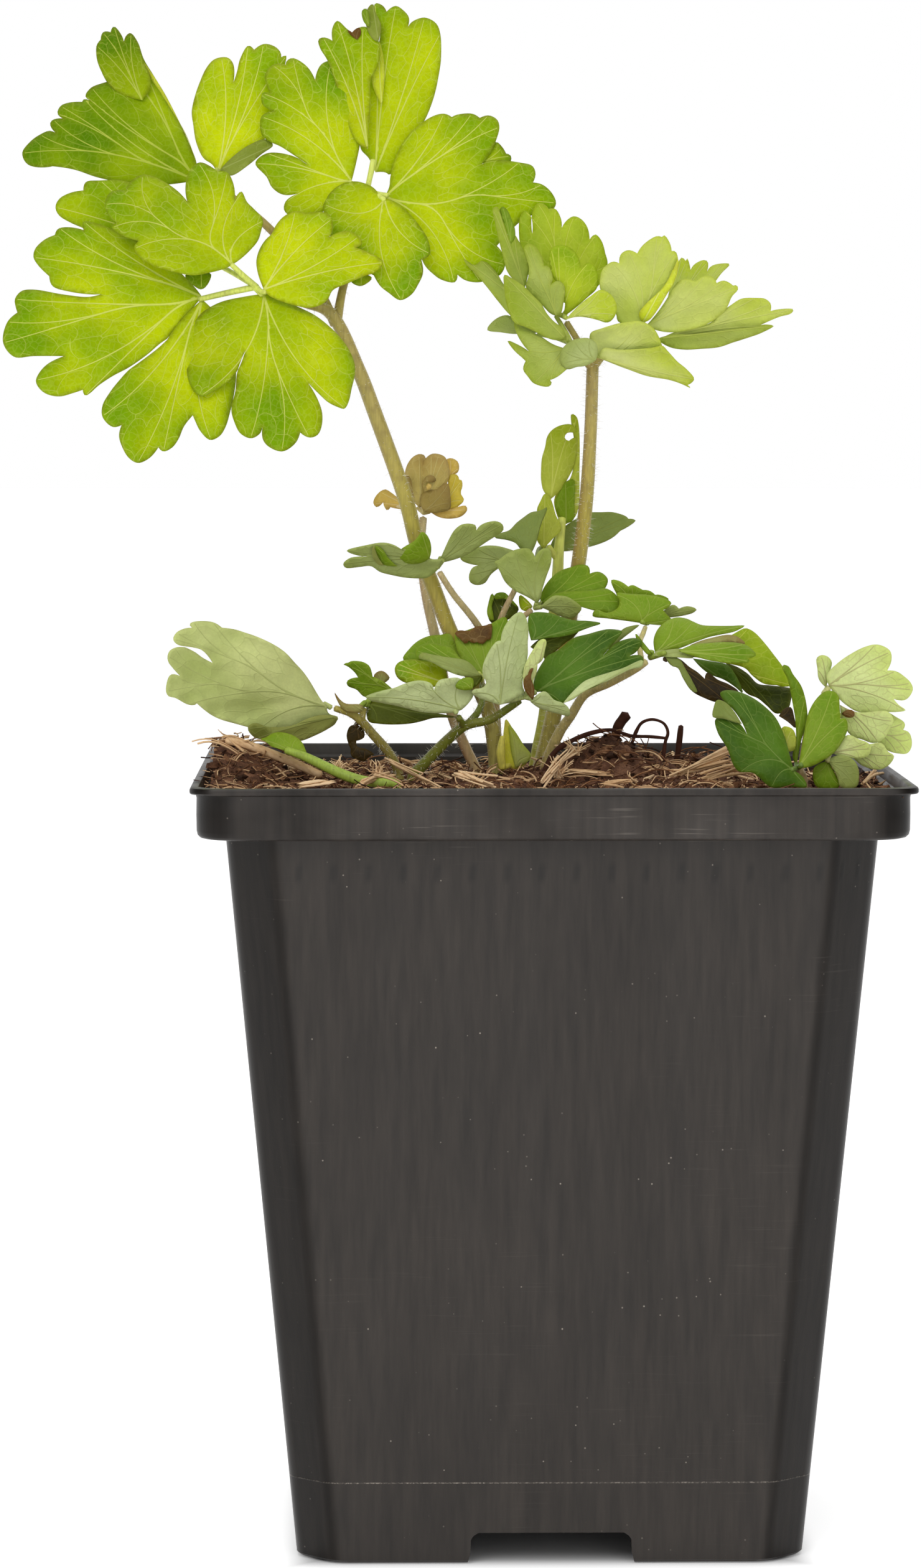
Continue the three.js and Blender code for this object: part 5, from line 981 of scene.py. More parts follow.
for name, (number, short, long) in HAIRS.items():
    piece = down.grow(name + "_down", bpy.data.objects[name + "_petiole_flesh"].data, hair_paint,
                      {"Density": number * PER_SQUARE_METRE, "Smallest": short, "Largest": long})
    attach(piece, "root")

# ---- Leaves ----------------------------------------------------------------------------------
# Columbine leaflets are thin soft blades cut into rounded lobes. Forking veins run from the base
# to every tip, the blade swells between them, and the underside is paler and greyer. They grow
# from the stalks' ends, on short stalks of their own.
BLADE_THICK, BRIGHTER = 0.3, 1.1
RIM_STEP, FILL_STEP, VEIN_STEP = 0.34, 0.46, 0.5
# A blade's first line gives the side that faces the front, its finish, the depth of its base, its
# lean across and up, its fold, curl and roll. Its outline follows, as X,Z from the base round: T
# is the tip of a lobe, S the notch beside it.
LEAVES = {
    "head_left_lower": """
top lime -5.5 .2 .5 .05 0 0
-43.1,159.1 -44.2,160.5 -48,164 -53,166.9 T-57.5,168.2 S-57.5,167.2 T-60.5,167.4 S-61,166.6 -62.3,166
-63.4,164.9 T-63.6,163.9 -63.1,163 S-61.7,161.6 -61.3,160.4 -59.1,159.7 -56.8,159.4 S-55.5,159.4 -57,159.1
-60,159.4 -63.7,160 -65.1,159.8 T-65.9,158.8 -65.8,157.9 S-65.6,157.2 T-66.85,156 T-67.35,153.5 -66,151.8
-63.7,151.9 S-60,151.9 -61.9,151 -62.9,150 T-63.4,148.9 -63,148 -62.1,147.3 -60.5,147 -58.9,147.4
S-57.7,147.8 T-57.4,147.1 -56.8,147.4 -55.8,148.3 -54,149.5 -52.1,150.5 -49.8,152.1 -48.4,153.3 S-47.4,154
top lime -5.8 .2 .5 .05 0 0
-43.1,158.8 -45.6,156.4 S-47.4,153.9 -48.6,152.8 -51,151 -52.1,150.2 -53.3,148.9 -54.4,147.5 -55.3,145.9
T-55.3,144.5 -54.1,143.3 S-53,143.5 -53.3,142.2 -52.9,140.8 -52.1,139.5 T-51,138.9 -49.6,139.5
S-48.5,140.8 T-47.9,140.3 -46.8,140.8 -46,141.9 -45.4,143.3 S-44.3,144.7 -44,144 -43.4,142.8 T-42.2,141.7
-41,142.2 -40.3,143.3 S-39.9,144.5 -39,149.5 -39.6,154.5
top lime -6.7 0 .5 .06 0 0
-35.6,159.5 -38.2,159.1 -40.5,158.6 -41.9,158 -43.1,157.2 -44,156.1 -44.7,154.4 -44.9,152.4 -45,150.1
-44.7,148.7 -44,147.5 T-43.2,147 -42.1,147.4 -40.7,148.2 -39,149.9 S-37.9,152.5 -38.9,149.8 -39.1,147.7
-39.6,145.4 -39.2,143.8 -38.5,142.5 T-37.2,141.9 -36.1,142.5 S-35.8,143.3 -35.8,141.9 -35.2,141
T-33.4,140.3 -31.8,141.3 S-31.2,142.6 T-30.1,142 -29.1,142.3 -28.6,143.3 -28.5,144.9 -28.9,146.3
-29.6,147.7 S-30.2,148.6 -28.9,147.3 -27.8,146.3 -26.6,145.7 T-25.8,145.5 -25.3,146.3 -24.9,148
-24.5,149.8 -24.6,151.2 -25.3,152.8 -26.3,154.2 -27.7,155.6 -29.4,156.9 -31.2,157.8 -34.7,159.3
top lime -9 .05 .6 .05 0 0
-39.4,163 -40.4,162.5 -42.8,161.9 -44.2,161.7 -46.1,162 -47.7,162.4 S-48.8,162.7 -50,163.4 -51,164.2
T-51.4,165 S-50.8,165.9 -52.1,166.2 -53.3,166.8 T-54.1,167.6 S-53.5,168.1 -54.5,169 T-54.9,170.4
-54.2,171.8 S-52.4,172 -51.8,173 T-50.4,173.9 -49.3,173.8 -47.9,173.2 -46,171.9 S-44.9,170.7 -45.1,172.2
-44.7,174.2 T-43.4,175.4 -42,174.9 S-41.2,174.3 T-40,174.2 -39.2,172.6 S-39.1,170.6 -38.9,171.3
T-38.3,171.9 -37.6,170.6 -36.8,169.8 T-35.7,168.5 -35.9,167.1 -36.3,165.9 -37.3,164.7 -38.4,163.7
top lime_gold -8.2 0 .5 .05 0 0
-35.6,160 -36.3,161.9 -36.5,163.5 -36.1,164.9 -35.4,166 -34.6,166.8 -34.1,167.8 -33.1,168.9 T-31.7,169.5
S-30.5,169.3 -29.4,169.4 -28,169.3 T-27.3,168.6 -27.3,166.9 S-27.6,166.4 -26.6,166.9 -25.2,167.1
T-24,166.4 -23.6,165.6 S-24.4,165.1 -23,164.6 -21.8,164 T-21,163.3 -22,162.1 -23.4,161.6 -25.2,160.8
-27.2,159.9 -27.8,158.8 -28.7,158.1 -29.9,157.8 -31.2,157.9 -34.9,159.2
top lime -1.2 .05 .35 0 0 0
-41,163 -50,164 -57.5,167.4 -59.1,168.1 -60.5,169 T-60.9,170 -60.4,171 -59.1,171.7 S-57.5,172 -57.2,173
T-55.5,173.2 -52.3,173.1 -46,170
top lime_shade -7 0 .5 0 0 0
-43.2,162 -45.2,161.7 -44.2,160.5 T-43.2,160 -42.5,160.5 -42,161.9""",
    "head_left_upper": """
top lime_shade 3.5 0 .6 .05 0 0
-43.7,173.2 -43.7,175.2 -44.7,177.9 -46.1,180.9 -47.5,183.6 -48.9,185.9 -50.1,187.9 -50.8,189.9 T-51.7,191
S-52.5,190 -52.8,190.8 T-53.7,191.7 S-54.1,191.1 T-55,191.1 S-55.2,190 -55.4,187 S-54.6,185.1 -55.3,184.9
T-56.5,184.4 T-57.2,183.4 S-56.7,182.9 T-57.4,183 S-57.6,182.7 -59.2,182.6 T-60.2,182.2 T-60.6,181.3
S-60,180.7 T-61.2,180.5 -61.5,180 S-60.9,179 -61.6,179.2 T-62.8,178.7 -63.9,177.9 T-64.9,176.5 -64.2,175.1
S-61.2,174.9 -58.6,174.5 -55.9,173.6 -53.1,173 -49,172.6
top lime_shade 8.6 0 .6 .04 0 0
-50.3,182.9 -51.8,183.2 -53.2,183.8 -54.3,184.8 -55.4,186.7 -55.8,188 T-55.8,189.5 S-55.3,190.2 T-55,191.1
S-54.1,191.1 T-53.7,191.8 -52.8,190.8 S-52.5,189.9 -52.2,190.7 T-51.7,191 -50.9,190 -50.5,188.9
-50.1,187.5 -49.4,186.2 -49.3,184.4
under lime_roll 5.3 0 .6 0 0 0
-43.8,175.4 -45,178.8 -46.8,181.8 -48.6,184.6 -50.2,186.6 -52.4,188.6 T-53.9,189.7 -51.8,189.3 -50.2,187.6
-48.8,185.7 -47.4,183.4 -46,180.7 -44.6,177.7
top lime_gold 4 0 .6 .05 0 0
-41.2,174 -41.8,175.1 -42.9,175.9 -43.8,177.9 -44.1,179.8 -44.3,181.5 -43.9,183.4 -43.3,185.1 -42.5,186.8
-41.6,187.8 T-40.6,188.1 -39.8,188 -39.2,187.2 S-39.2,185.1 -38.8,186.3 -38.4,187.9 T-37.4,189.5
S-36.7,189 T-35.5,189.7 -34.2,189.4 -33.5,188.7 S-33.4,188.1 T-32.8,188.3 -32.9,187.4 -34,183 -35.5,178.1
-37.5,176.9
under grey_fold 3.7 0 .6 0 0 0
-40.9,174.5 -39.2,176.2 -37.5,177.4 -35.4,178.2 T-34.4,177.5 -35.8,176.4 -37.5,175 -39.4,173.8 -40.2,173.9""",
    "head_mid": """
top lime 2 0 .5 .05 0 0
-24.9,173.1 -24.6,174.2 -24.2,175.9 -23.8,177.9 -23.5,180.9 -23.8,184 -24.7,186 -25.7,187.3 T-27.4,187.7
-28.6,187.2 S-29.3,185.4 -30.3,187 T-32,188 -32.7,187.7 S-32.9,187.2 T-34.4,187.2 -35.4,185.9 -35.3,185.1
S-34.8,183.7 T-35.7,183.8 -35.7,182.4 S-34.3,181.6 T-35.8,181 -35.9,179 -35.2,178.1 -33.5,177.3
-32.1,176.4 S-30.2,175.1 -32.1,176.2 T-35.2,176.5 T-36.6,175.3 -35.2,173.6 -34.6,172.4 -33.3,171.5
S-31.5,171.6 T-32.9,170.7 -33.1,169.6 -32,168.8 -28,169.6 -26,171.8
top lime 4.4 0 .5 .04 0 0
-22,174.2 -22.8,175.9 -23.8,177.1 -23.6,180.1 -23.4,183 -22.5,187 -21.5,190.1 -21.4,192 -22.1,193.1
T-22,194.6 -21.1,194.35 S-20.6,193.6 T-19.5,194.3 -18.5,193.7 -17.9,192.9 S-18,191.8 -17.5,192.4
T-16,192.9 -14.6,192.2 T-14.1,191 -14,188 -14.2,186.4 -14.9,183.2 -16.2,180.1 -18.5,177 -20.2,173.9
-20.8,174.2
under grey_fold 9.9 0 .5 0 0 0
-21.6,190 -22.2,190.2 -22.9,191.3 -23.2,192.7 -22.9,194 T-22.3,194.55 -21.9,193.4 -21.3,192
top meadow 10.3 0 .5 0 0 0
-22.7,191.7 -23.4,192.4 T-23.6,193.7 T-23.1,194 -22.7,193
top lime_roll 7.6 0 .5 0 0 0
-21.2,182.3 -22.4,185 -22.3,187.6 -21.6,190.1 -21,188.2 -20.9,185
top lime 3.2 0 .5 .04 0 0
-22.9,177 -22.6,183 -22.5,185.5 -21.8,186.8 -21.4,188.1 -21.5,189.7 -22,191.2 T-23.5,191.8 S-24.8,191.1
-25.4,191.5 T-26.6,192.5 -27.2,191.6 S-27.2,190.1 T-28.3,190.5 -28.9,190.2 -28.7,189.2 -27.8,187.7
-26.5,184 -24.4,178
top scorched 9.6 0 .5 0 0 0
-24.2,190.2 -24.9,190.7 T-25.4,191.4 S-24.8,191.1 T-23.9,191.7 -23.7,191
top lime 1.5 -.1 .3 .04 0 0
-20.9,171.2 -20.3,172.5 -20.2,173.5 -19.7,175.7 -18.4,178.2 -17.2,179.5 -15,181 T-13.6,181.3 S-12.7,180.9
-12,181.2 T-10.2,181.3 S-9.3,180.8 T-8.2,181.1 -7.2,180.6 T-6.9,179.7 -7.3,178.1 -7.8,176.9 S-9,175.2
-8.3,175.6 -7,175.7 T-4.4,175.4 -2.9,175 -2.5,174.1 S-2.8,173 T-1.6,172.7 -.5,171.7 T0,170.5 -.4,169.7
-3.5,168.8 -5.5,167.2 S-7.2,165.3 -6.5,164.4 T-6.2,162.9 -6.9,161.7 S-7.6,161.6 T-9.2,160.9 -11,161.1
S-12,161.8 T-12.3,160.9 -14,161.2 -15,161.9 -15.9,162.8 -16.5,164 -17.5,167 -19,169.5
top lime_shade 2.4 -.1 .3 0 0 0
-9,175.4 -8,177 -7.3,177.9 T-6.5,177.2 S-6.1,176.5 T-5.5,176.2 -5.6,175.4 -7.5,174.6
top lime .3 0 .5 .04 0 0
-20.9,171.1 -21.4,171.2 -21.8,171.9 -22.3,172.4 -23.1,172.8 -24.2,173.1 -25.4,173 -26.6,172.5 -27.6,171.6
T-28.3,170.2 -28,168 -27,165.5 -25,163.5 S-22.2,161.7 -21.4,160.4 -20.4,159.6 T-19,158.7 -17.6,159.4
-16.8,160.6 -16.2,162 S-16.4,163.6 T-15.4,164.2 -15.4,165.4 -15.8,166.5 -17.4,168.7 -18.6,169.9
-19.8,170.7
top lime_shade -4.6 0 .4 0 0 0
-23.4,161.9 T-25,161 T-23.8,160.4 -22.4,161.4""",
    "head_right_left": """
under grey_lime -5 0 -.25 0 0 0
-3.8,160.2 -5.2,161.2 -6,162.3 -6.4,163.8 -7,166.1 -7.4,168 T-7.7,169.8 T-7.2,170.1 -6.7,169 -6.3,167.8
S-5.6,165.9 T-5.1,166.7 -4.6,166 -4,164.9 -3.5,163.7 -3.3,162.6 -3.5,161.3
top green -6.5 0 -.25 0 0 0
-5.5,165.5 -6.3,167.9 -6.9,169.6 T-6.5,170.1 -5.9,169.6 T-5.4,168.5 -5,167.3 -5,166.3
top grey_lime -5.6 0 .3 0 0 0
.8,154.2 -3,155 -5.5,156.8 -7,158.5 -8.1,159.9 -9,161 -9.9,162 -10.9,163 T-11.3,163.8 -10.1,163
S-9.6,163.1 T-9.1,163.5 -8.5,163.3 -7.6,162.5 -7,161.7 -6.4,160.7 -4,158.6 -1,156.6
under grey_lime -7.6 0 -.3 0 0 0
1.3,153.9 .8,155.3 -.2,156.1 -1.1,157.1 -1.8,158.3 -2.7,159.2 -3.9,160.4 -5.1,161.2 T-6.3,161.8 -6.3,160.1
-6.1,158.5 -5.1,156 -3.9,155.5 -2.7,155 -1.6,154.4 -.4,153.9
top grey_lime -8.2 0 .5 0 0 0
1,152.9 -.4,153.4 -1.8,154.3 -2.7,154.8 -3.9,155.4 -5.1,156 -4.8,154.7 -4,153.3 S-3.3,152.5 -4.4,153.2
T-5.9,153.8 -5.1,152.6 -4.1,151.7 S-3.7,151.3 -4,150.3 -3.4,149.4 T-2.7,148.6 T-.9,148.2 -.5,148.6
S-.7,149 .2,149.4 1.2,150.2 1.6,150.6
under sage -4 0 .3 0 0 0
-2,154.8 -4.5,156 -5.9,156.9 -7.4,156.4 T-8.4,155.1 -6.7,154.8 -5,154.6
under sage -9.6 0 -.3 0 0 0
4.9,151.4 3.5,150.7 2.6,150.6 1.4,150.3 T.6,151 .5,151.8 T.7,152.7 1.3,153.4 T2.1,153.9 3,154.1 T4,154.1
4.9,153.5 5.1,152.5
under pale_lime -7 0 -.5 .04 0 0
5.1,151.9 4.3,153 4.2,154.7 5.6,155.3 7.6,155.9 8.9,156.1 T10,156.2 T11.1,155.9 12,155.2 12.5,154.4
S13,153.1 13.7,152.5 14.8,151.3 16,150.3 T16.9,149.1 S16.1,148.4 T16.5,148 15.4,148.5 13.9,149 11.1,149.5
8.8,150.3 7.2,150.9
under pale_lime -7.8 0 -.5 .04 0 0
5.2,151.7 5.8,152.9 7.6,152.7 10,152.8 12,153 13,153.2 13.7,152.5 14.8,151.3 16,150.3 T16.9,149.1
S16.1,148.4 T16.5,148 15.4,148.5 13.9,149 11.1,149.5 8.8,150.3 7.2,150.9""",
    "head_right_mid": """
under grey_lime -6.6 0 -.3 .04 0 0
0,156.8 -.7,157.1 -1.4,157.8 -2.5,159 -3.4,159.8 -3.7,160.4 -3.4,161.5 -3.3,162.7 -3.6,163.8 T-3.9,165.2
T-3.3,165.6 -2.5,165.2 -1.6,163.7 S-1.5,162.9 T-.9,162.8 -.4,161.4 S-.7,160.5 T.3,161.1 1,160.5 1.1,159.8
.9,158.3 .6,157.1
under fresh -5.7 0 -.3 .04 0 0
.8,156.8 1.1,158.3 .6,160.3 -.4,161.5 -.8,162.9 -.9,163.9 T-.6,165 T.3,165.4 1.3,165.3 2.2,164.7 2.8,163.8
S3.1,162.5 T3.9,163.3 4.7,162.9 5.1,162 5,160.2 3.9,159.1 1.5,157.1
under pale_lime -7.6 0 -.3 0 0 0
1.1,156.3 2.8,158.1 4.2,159.2 T5.5,160 6.7,159.4 S7.4,158.2 T7.3,157 T6.6,156.1 6,156 5.1,156.3 2.8,156.7
top fresh -3.6 0 .15 .03 0 0
2,158 -1,159.5 -3.5,162 -4.4,165.4 -4.4,168.8 T-3.8,169.6 -3.1,169 S-2.9,166.8 -2.9,169.3 T-2.2,170.5
-1.2,170.2 S-.9,169.8 T-.1,169.8 .6,168.6 S.7,167.5 1.2,168.3 T2.1,168.9 3,168.6 3.8,167.6 S4.1,166.1
T4.8,166.7 5.5,166 S6,164.4 T6.3,163.1 5.9,161.5 5.2,160.5""",
    "head_right_end": """
under pale_lime -5.7 0 -.4 .04 0 0
10.5,155.7 7.6,156.1 7.3,157.1 5.4,160 5.4,161.5 5.7,162.5 T6.9,163.4 S7.7,163.2 7.9,164.3 T8.8,164.8
S9.9,164.4 10.4,165.2 11.3,166 T12.3,166.5 S12.9,166.4 T13.2,166.6 13.9,165.6 S14.1,164.7 T14.6,164.6
14.9,163.1 14.2,160.6 13.4,159.4 12.5,157.8 11.3,156.4
top lime_roll -6.5 0 -.4 .02 0 0
10.6,156 10.1,157 11,158.3 12.4,159.6 13.5,160.9 14.3,162.6 T14.9,163.8 14.8,162 14.2,160.5 13.4,159.2
12.5,157.7 11.4,156.3
under pale_lime -4.8 -.1 -.4 .03 0 0
10.9,155.5 12.5,157.4 13.7,159.2 14.3,160.3 15.2,161.2 T16.1,161.3 S17,161 T18.3,161.7 19.2,161.5
S19.6,160.8 T20.5,161.1 S21.6,160.5 T22.1,160.5 T22.2,160 21.5,159.2 20.6,157.4 18,155.6 14,154.8
under pale_lime -3.7 -.1 -.5 .03 0 0
12.4,153.9 15.7,155.3 18.7,155.9 20.3,157.4 21.3,158.1 22.6,158.9 T24.4,159 25.5,158.9 T26.2,158.3
S26.2,157.4 27,157.6 T29,157.6 28.7,157.1 27.3,156.7 S25,155.7 T26.6,155.6 25,154.8 21.7,153.6 18,152.9
14,153
under grey_lime -4.6 -.1 -.5 .02 0 0
12.2,154 14,154.5 16.5,154.6 19.3,154.9 22.5,155.3 T26.6,155.6 25,154.7 23.6,154.2 21.7,153.6 19.9,153
17.8,152.8 15.7,152.7 13.9,153
top pale_lime -2.6 0 .4 0 0 0
13,155.8 14,160.5 T15.3,163.9 S15.8,163.5 T16,163.8 16.3,163 S16.4,162.4 16.9,163.1 T18,163.6 T18.5,163.4
S18.4,162.2 19,162.9 T20.4,163.2 T21.2,163.1 20.2,162 19.4,160.9 17,157""",
    "young_brown_leaf": """
under bud 8.9 0 0 0 0 1.2
-16.6,133.4 -17.4,134.2 -18,135.1 -18.4,136.7 -18.4,137.9 -18.1,138.8 -17.5,139.6 T-16.7,140 T-16,139.8
-15.9,138.3 -16,136.5 -15.8,134.6
under bud 8.5 0 0 0 0 1
-15.6,134.4 -16.3,136 -16.5,137.9 -16.1,139.2 T-15.2,140 T-14.3,140 T-13.5,139.6 -13,138.3 -13,137.2
-13.4,136.2 -14.2,135.2
under bud_dark 7.7 0 .1 0 0 .8
-16.1,133 -16.6,134 -16.3,135.2 -15.4,135.6 -14.4,135.7 -13.6,136.5 T-13.1,136.3 -12.9,135.1 T-12.8,134.1
-12.9,133.3 -14,132.9 -15.2,132.8
top ochre 7.6 0 0 0 0 0
-15.9,135.8 T-15.7,136.4 -15.2,136.3 T-15.2,135.8 -15.6,135.6
under bud_dark 7.5 0 0 0 0 0.5
-16.3,136.1 -16.2,136.8 T-15.6,137.4 -14.9,137.3 T-14.6,136.8 -15.1,136.5 -15.8,136.6
under bud_dark 7.9 0 0 0 0 0.6
-17.2,134.6 -18,135.3 -18.6,136.6 T-18.4,137.3 T-17.9,137.3 -17.6,136.6 -17.5,135.6
top ochre 10 0 0 0 0 0
-13.2,136.8 -13.5,138.3 -13.4,139.3 T-12.8,139.5 -12,139.1 T-11.8,138.4 -12,137.7 -12.7,137.4
top ochre_green 9.4 0 0 0 0 0
-13.6,133.6 -13.2,135.5 -13,137.4 T-12.1,137.5 S-11.8,136.9 T-11.5,136.8 -11.4,136.1 -11.6,135.2
T-11.2,134.4 -11.8,133.7 -12.8,133.2
top ochre 9.2 0 0 0 0 0
-15.4,133 -14.3,132.3 -12.9,132.1 -11.5,132.4 T-10.8,133.2 -11,133.7 -11.8,133.6 -13,133.3
top ochre 10.4 0 0 0 0 0
-16.6,133.3 -19,134.5 -20.1,135.3 -20.8,135.7 T-21.5,135.4 -22.1,134.7 T-22.3,134 -21.9,133.5 S-21.1,134.1
T-20.6,133.1 S-20.2,133.5 -18.5,133.2""",
    "young_green_leaf": """
top soft 4 0 0 0 0 1
-.6,134.5 -1.5,135.5 -1.8,136.9 -1.8,138.1 -1.7,139.5 -1.3,140.9 -1.1,142 T-.6,142.8 .1,143.3 1,143.6
T1.9,143.6 2.6,142.9 S2.1,142.6 1.3,142.5 1.1,141.9 S1.6,141.6 2.5,142 2.3,138.8 1.6,137.2 .5,135.5
top soft 5 0 0 0 0 0
.7,131.2 0,133 -.2,134.4 .7,136.2 1.7,136.9 2.3,141 1.9,143.6 T1.9,144.9 T2.5,144.6 2.8,143.6 2.9,138
2.5,132.5
under soft 3.4 0 0 0 0 0
-1.5,128.4 -2.4,129.8 -2,131.4 -2.3,133.2 -1.9,134.2 T-1.3,135.2 -.7,134.7 -.3,133.7 0,132.6 .7,130.8
-.2,129.8
top meadow 4.4 0 0 0 0 0
1.3,131.5 .3,132.6 -.1,134 .4,135.3 T1.2,136.6 2.2,136.9 2.3,134 2.2,132""",
    "mid_leaf_left": """
under sage -6.2 0 -1 0 0 0
-13.8,127.3 -15.2,127.2 -16.5,128 S-18.9,128.4 -20,129 T-21.2,129.2 -23.1,128.9 T-25.6,128.2 S-23,127.5
-24,127.5 -25.2,127.3 T-26,126.6 -25.7,126.1 -24,126.2 -22.6,126.3 -21.5,125.6 -20,125.2 -18.4,124.9
-16.8,124.8 -15.7,124.9 -14.7,125.6 -14,126.4
top meadow -6.8 0 -1 0 0 0
-15.4,127.3 -15.2,128.4 -15.4,129.5 -15.9,130.3 T-16.4,130.5 -16.8,130 -17.3,129.4 -18.9,128.4 -19.5,127.5
-18,126.6 -16.4,126.7
top meadow -6.2 0 -1 0 0 0
-19.3,126.3 -20.4,127.3 -21.2,128.4 T-22,128.8 -22.3,128.3 -21.7,127.2 -21.1,126.5
under dull_olive -6.6 0 -1 0 0 0
-21,126.4 -21.6,127.2 -22,128.1 T-22.2,128.9 -22.5,128.2 -22.3,127.2 -21.7,126.5
under sage -5 0 -1 0 0 0
-14.4,126.7 -14,127.5 -13.6,128.4 -13.1,129.5 -12.4,130.7 -11.5,131.4 T-10.4,131.5 -9.8,131.3 S-9.7,130.7
-9.2,131.3 -8.3,131.7 T-7.2,131.8 T-6.5,131.4 -6.4,130.7 -7.3,130 -8.7,129.1 -9.7,128.4 -10.8,127.7
-12.4,127.1 -13.6,126.8""",
    "mid_leaf_back": """
top dark_sage -1.5 0 .4 0 0 0
-3,127.8 -4.3,128.4 -4.9,129.1 -6,129.5 -7.5,129.8 -6.9,130.3 -5.7,130.7 -4.8,131.6 -3.9,132.3 -3,132.9
-1.9,133.1 T-1,133.5 -1.2,132.8 -1.7,131.6 -2.1,130.2 -2.4,129.1
under sage -2.8 0 -.5 0 0 0
-5.6,126.8 -4.9,128 -6,128.5 -7.3,128.8 -8.7,128.8 T-9.7,128.5 -10.8,128 T-11.7,127.5 -11.5,127
-10.6,126.6 S-9.5,126.4 -10.2,126.1 T-10.6,125.2 -10.5,124.4 T-9.8,124 -8.7,124.2 -7.8,125.4
under dark_sage 7 0 .1 0 0 0
-.8,128.3 -.2,129.8 .7,130.8 1.7,131.6 3.9,132.8 5.6,132.9 7,132.9 T8.6,132.4 S8.9,132.1 T9.8,131.9
9.3,131.4 S7.9,130.6 7,129.8 5.6,129.1 3.5,128.5 1.2,128.1""",
    # its dark_olive blade is painted shade, the dark hollow inside the rolled lobe
    "mid_leaf_centre": """
under sage -6.5 0 -.3 .05 0 0
-2.3,121.8 -3.6,122.6 -5,123.3 -6.2,124.4 -6.9,125.8 T-7.5,126.9 -6.9,127.1 -6.2,127.7 T-5,128.3
-3.9,128.5 -3.2,128.4 S-2.5,127.4 -2.1,128.1 T-1.4,128.5 -.8,128.5 -.5,127.7 -.6,126.5 -1.1,125.1
-1.6,123.5 -1.9,122.2
under sage -7.4 0 -.6 .03 0 0
-1.9,121.3 -1.1,122.1 -.2,122.7 T.5,122.7 1.3,122.6 2.1,122.2 T3.2,121.2 2.9,120.6 2,119.9 .8,120.1
-.5,120.7
top green -4.8 0 .5 .03 0 0
-1.9,121.8 -1.7,123.1 -1.1,124.2 -.2,125.2 .7,125.8 1.9,126.2 T3,126.5 4,126.3 S4.2,125.4 T5.4,125.6
T6.4,124.7 S6,123.5 4,121.8 1.5,121
top green -5.6 0 .5 .04 0 0
-1.7,121.8 -.4,122.9 1,123.2 2.8,123.3 4.7,123.4 6.1,123.6 T7.2,123 T7.9,122 7.9,121.2 7.2,120.5 5.8,120.6
4.2,121 2.6,121.4 .6,121.3
top dark_olive 1.2 0 .3 0 0 0
-6.6,119.4 -7.9,119.4 -8.3,120.3 -8.2,121.6 T-7.9,122.8 S-7.5,122.7 T-6.3,123 -5.6,122.4 -4.5,121.1
-5,120.3
top meadow .6 0 .3 0 0 0
-7.5,119.7 -8.1,119.8 -8.4,120.6 -8.25,121.7 T-7.8,123 T-7.5,122.6 -7.8,121.4 -7.6,120.4
top green .5 0 .3 0 0 0
-5.2,121.6 -6.2,122.3 -7.5,122.3 T-7.4,122.9 T-6.3,123.1 -5.6,122.5 -4.6,121.3
top lime_gold -2.2 0 .2 0 0 0
-2.8,121.4 -3.6,122.3 T-4.4,122.8 -4.5,122 T-4.2,121 -3.4,120.8""",
    "right_upper_leaf": """
top meadow -7.5 0 .3 .03 0 0
10.6,119.3 8.6,119.6 6.3,119.9 4.5,120.2 4.9,121 6.3,120.6 7.6,121.2 7.8,122.1 T7.4,123 9.3,122.9
T11.2,122.8 13.2,122.4 T14.2,121.8 S13.2,120.9 13.8,120.2 T14.2,119.8 S13.6,119.5 T13.7,119.1 12.3,119.1
under meadow -3.4 0 -.3 0 0 0
8.6,121.5 7.4,123 T6.8,124.6 7.8,124.5 S8.9,123.8 T9.4,124 10.3,123.6 S10.7,123.4 T11.5,123.3 S12.2,122.8
T12.8,122.8 T13.9,122.2 12,121
under sage -4.4 0 -.3 0 0 0
12,119.9 13.3,120.9 T14.4,121.6 S15.1,121.1 T16.2,121.4 T17.3,121 16.9,120.6 15.5,120.2 14,120""",
    "low_leaf_left": """
under silver -16 0 -.4 .05 0 0
-11.5,108.7 -10.5,109.7 -10,110.7 -10.6,111.4 T-11.8,112.6 -13,112.6 -14.3,112.3 S-14.9,111.1 -15.1,111.8
T-15.8,112.2 -17,112.3 -18.3,112 -19.8,111.4 -21.1,111.1 T-23.3,110.3 -22.8,109.9 -20,109.3 -18.3,108.9
-16.8,108.5 -15,108.3 -13.3,108.3 -12.4,108.4
top meadow -18 0 0 0 0 0
-10.2,111.2 -11.3,111.1 -12.3,111.5 T-11.7,112.4 -10.9,112.7 T-10.1,112.5
under dark_olive -17.7 0 0 0 0 0
-10,111.4 -10.9,112.6 -10,112.8 T-9,112.9 -9,112.4""",
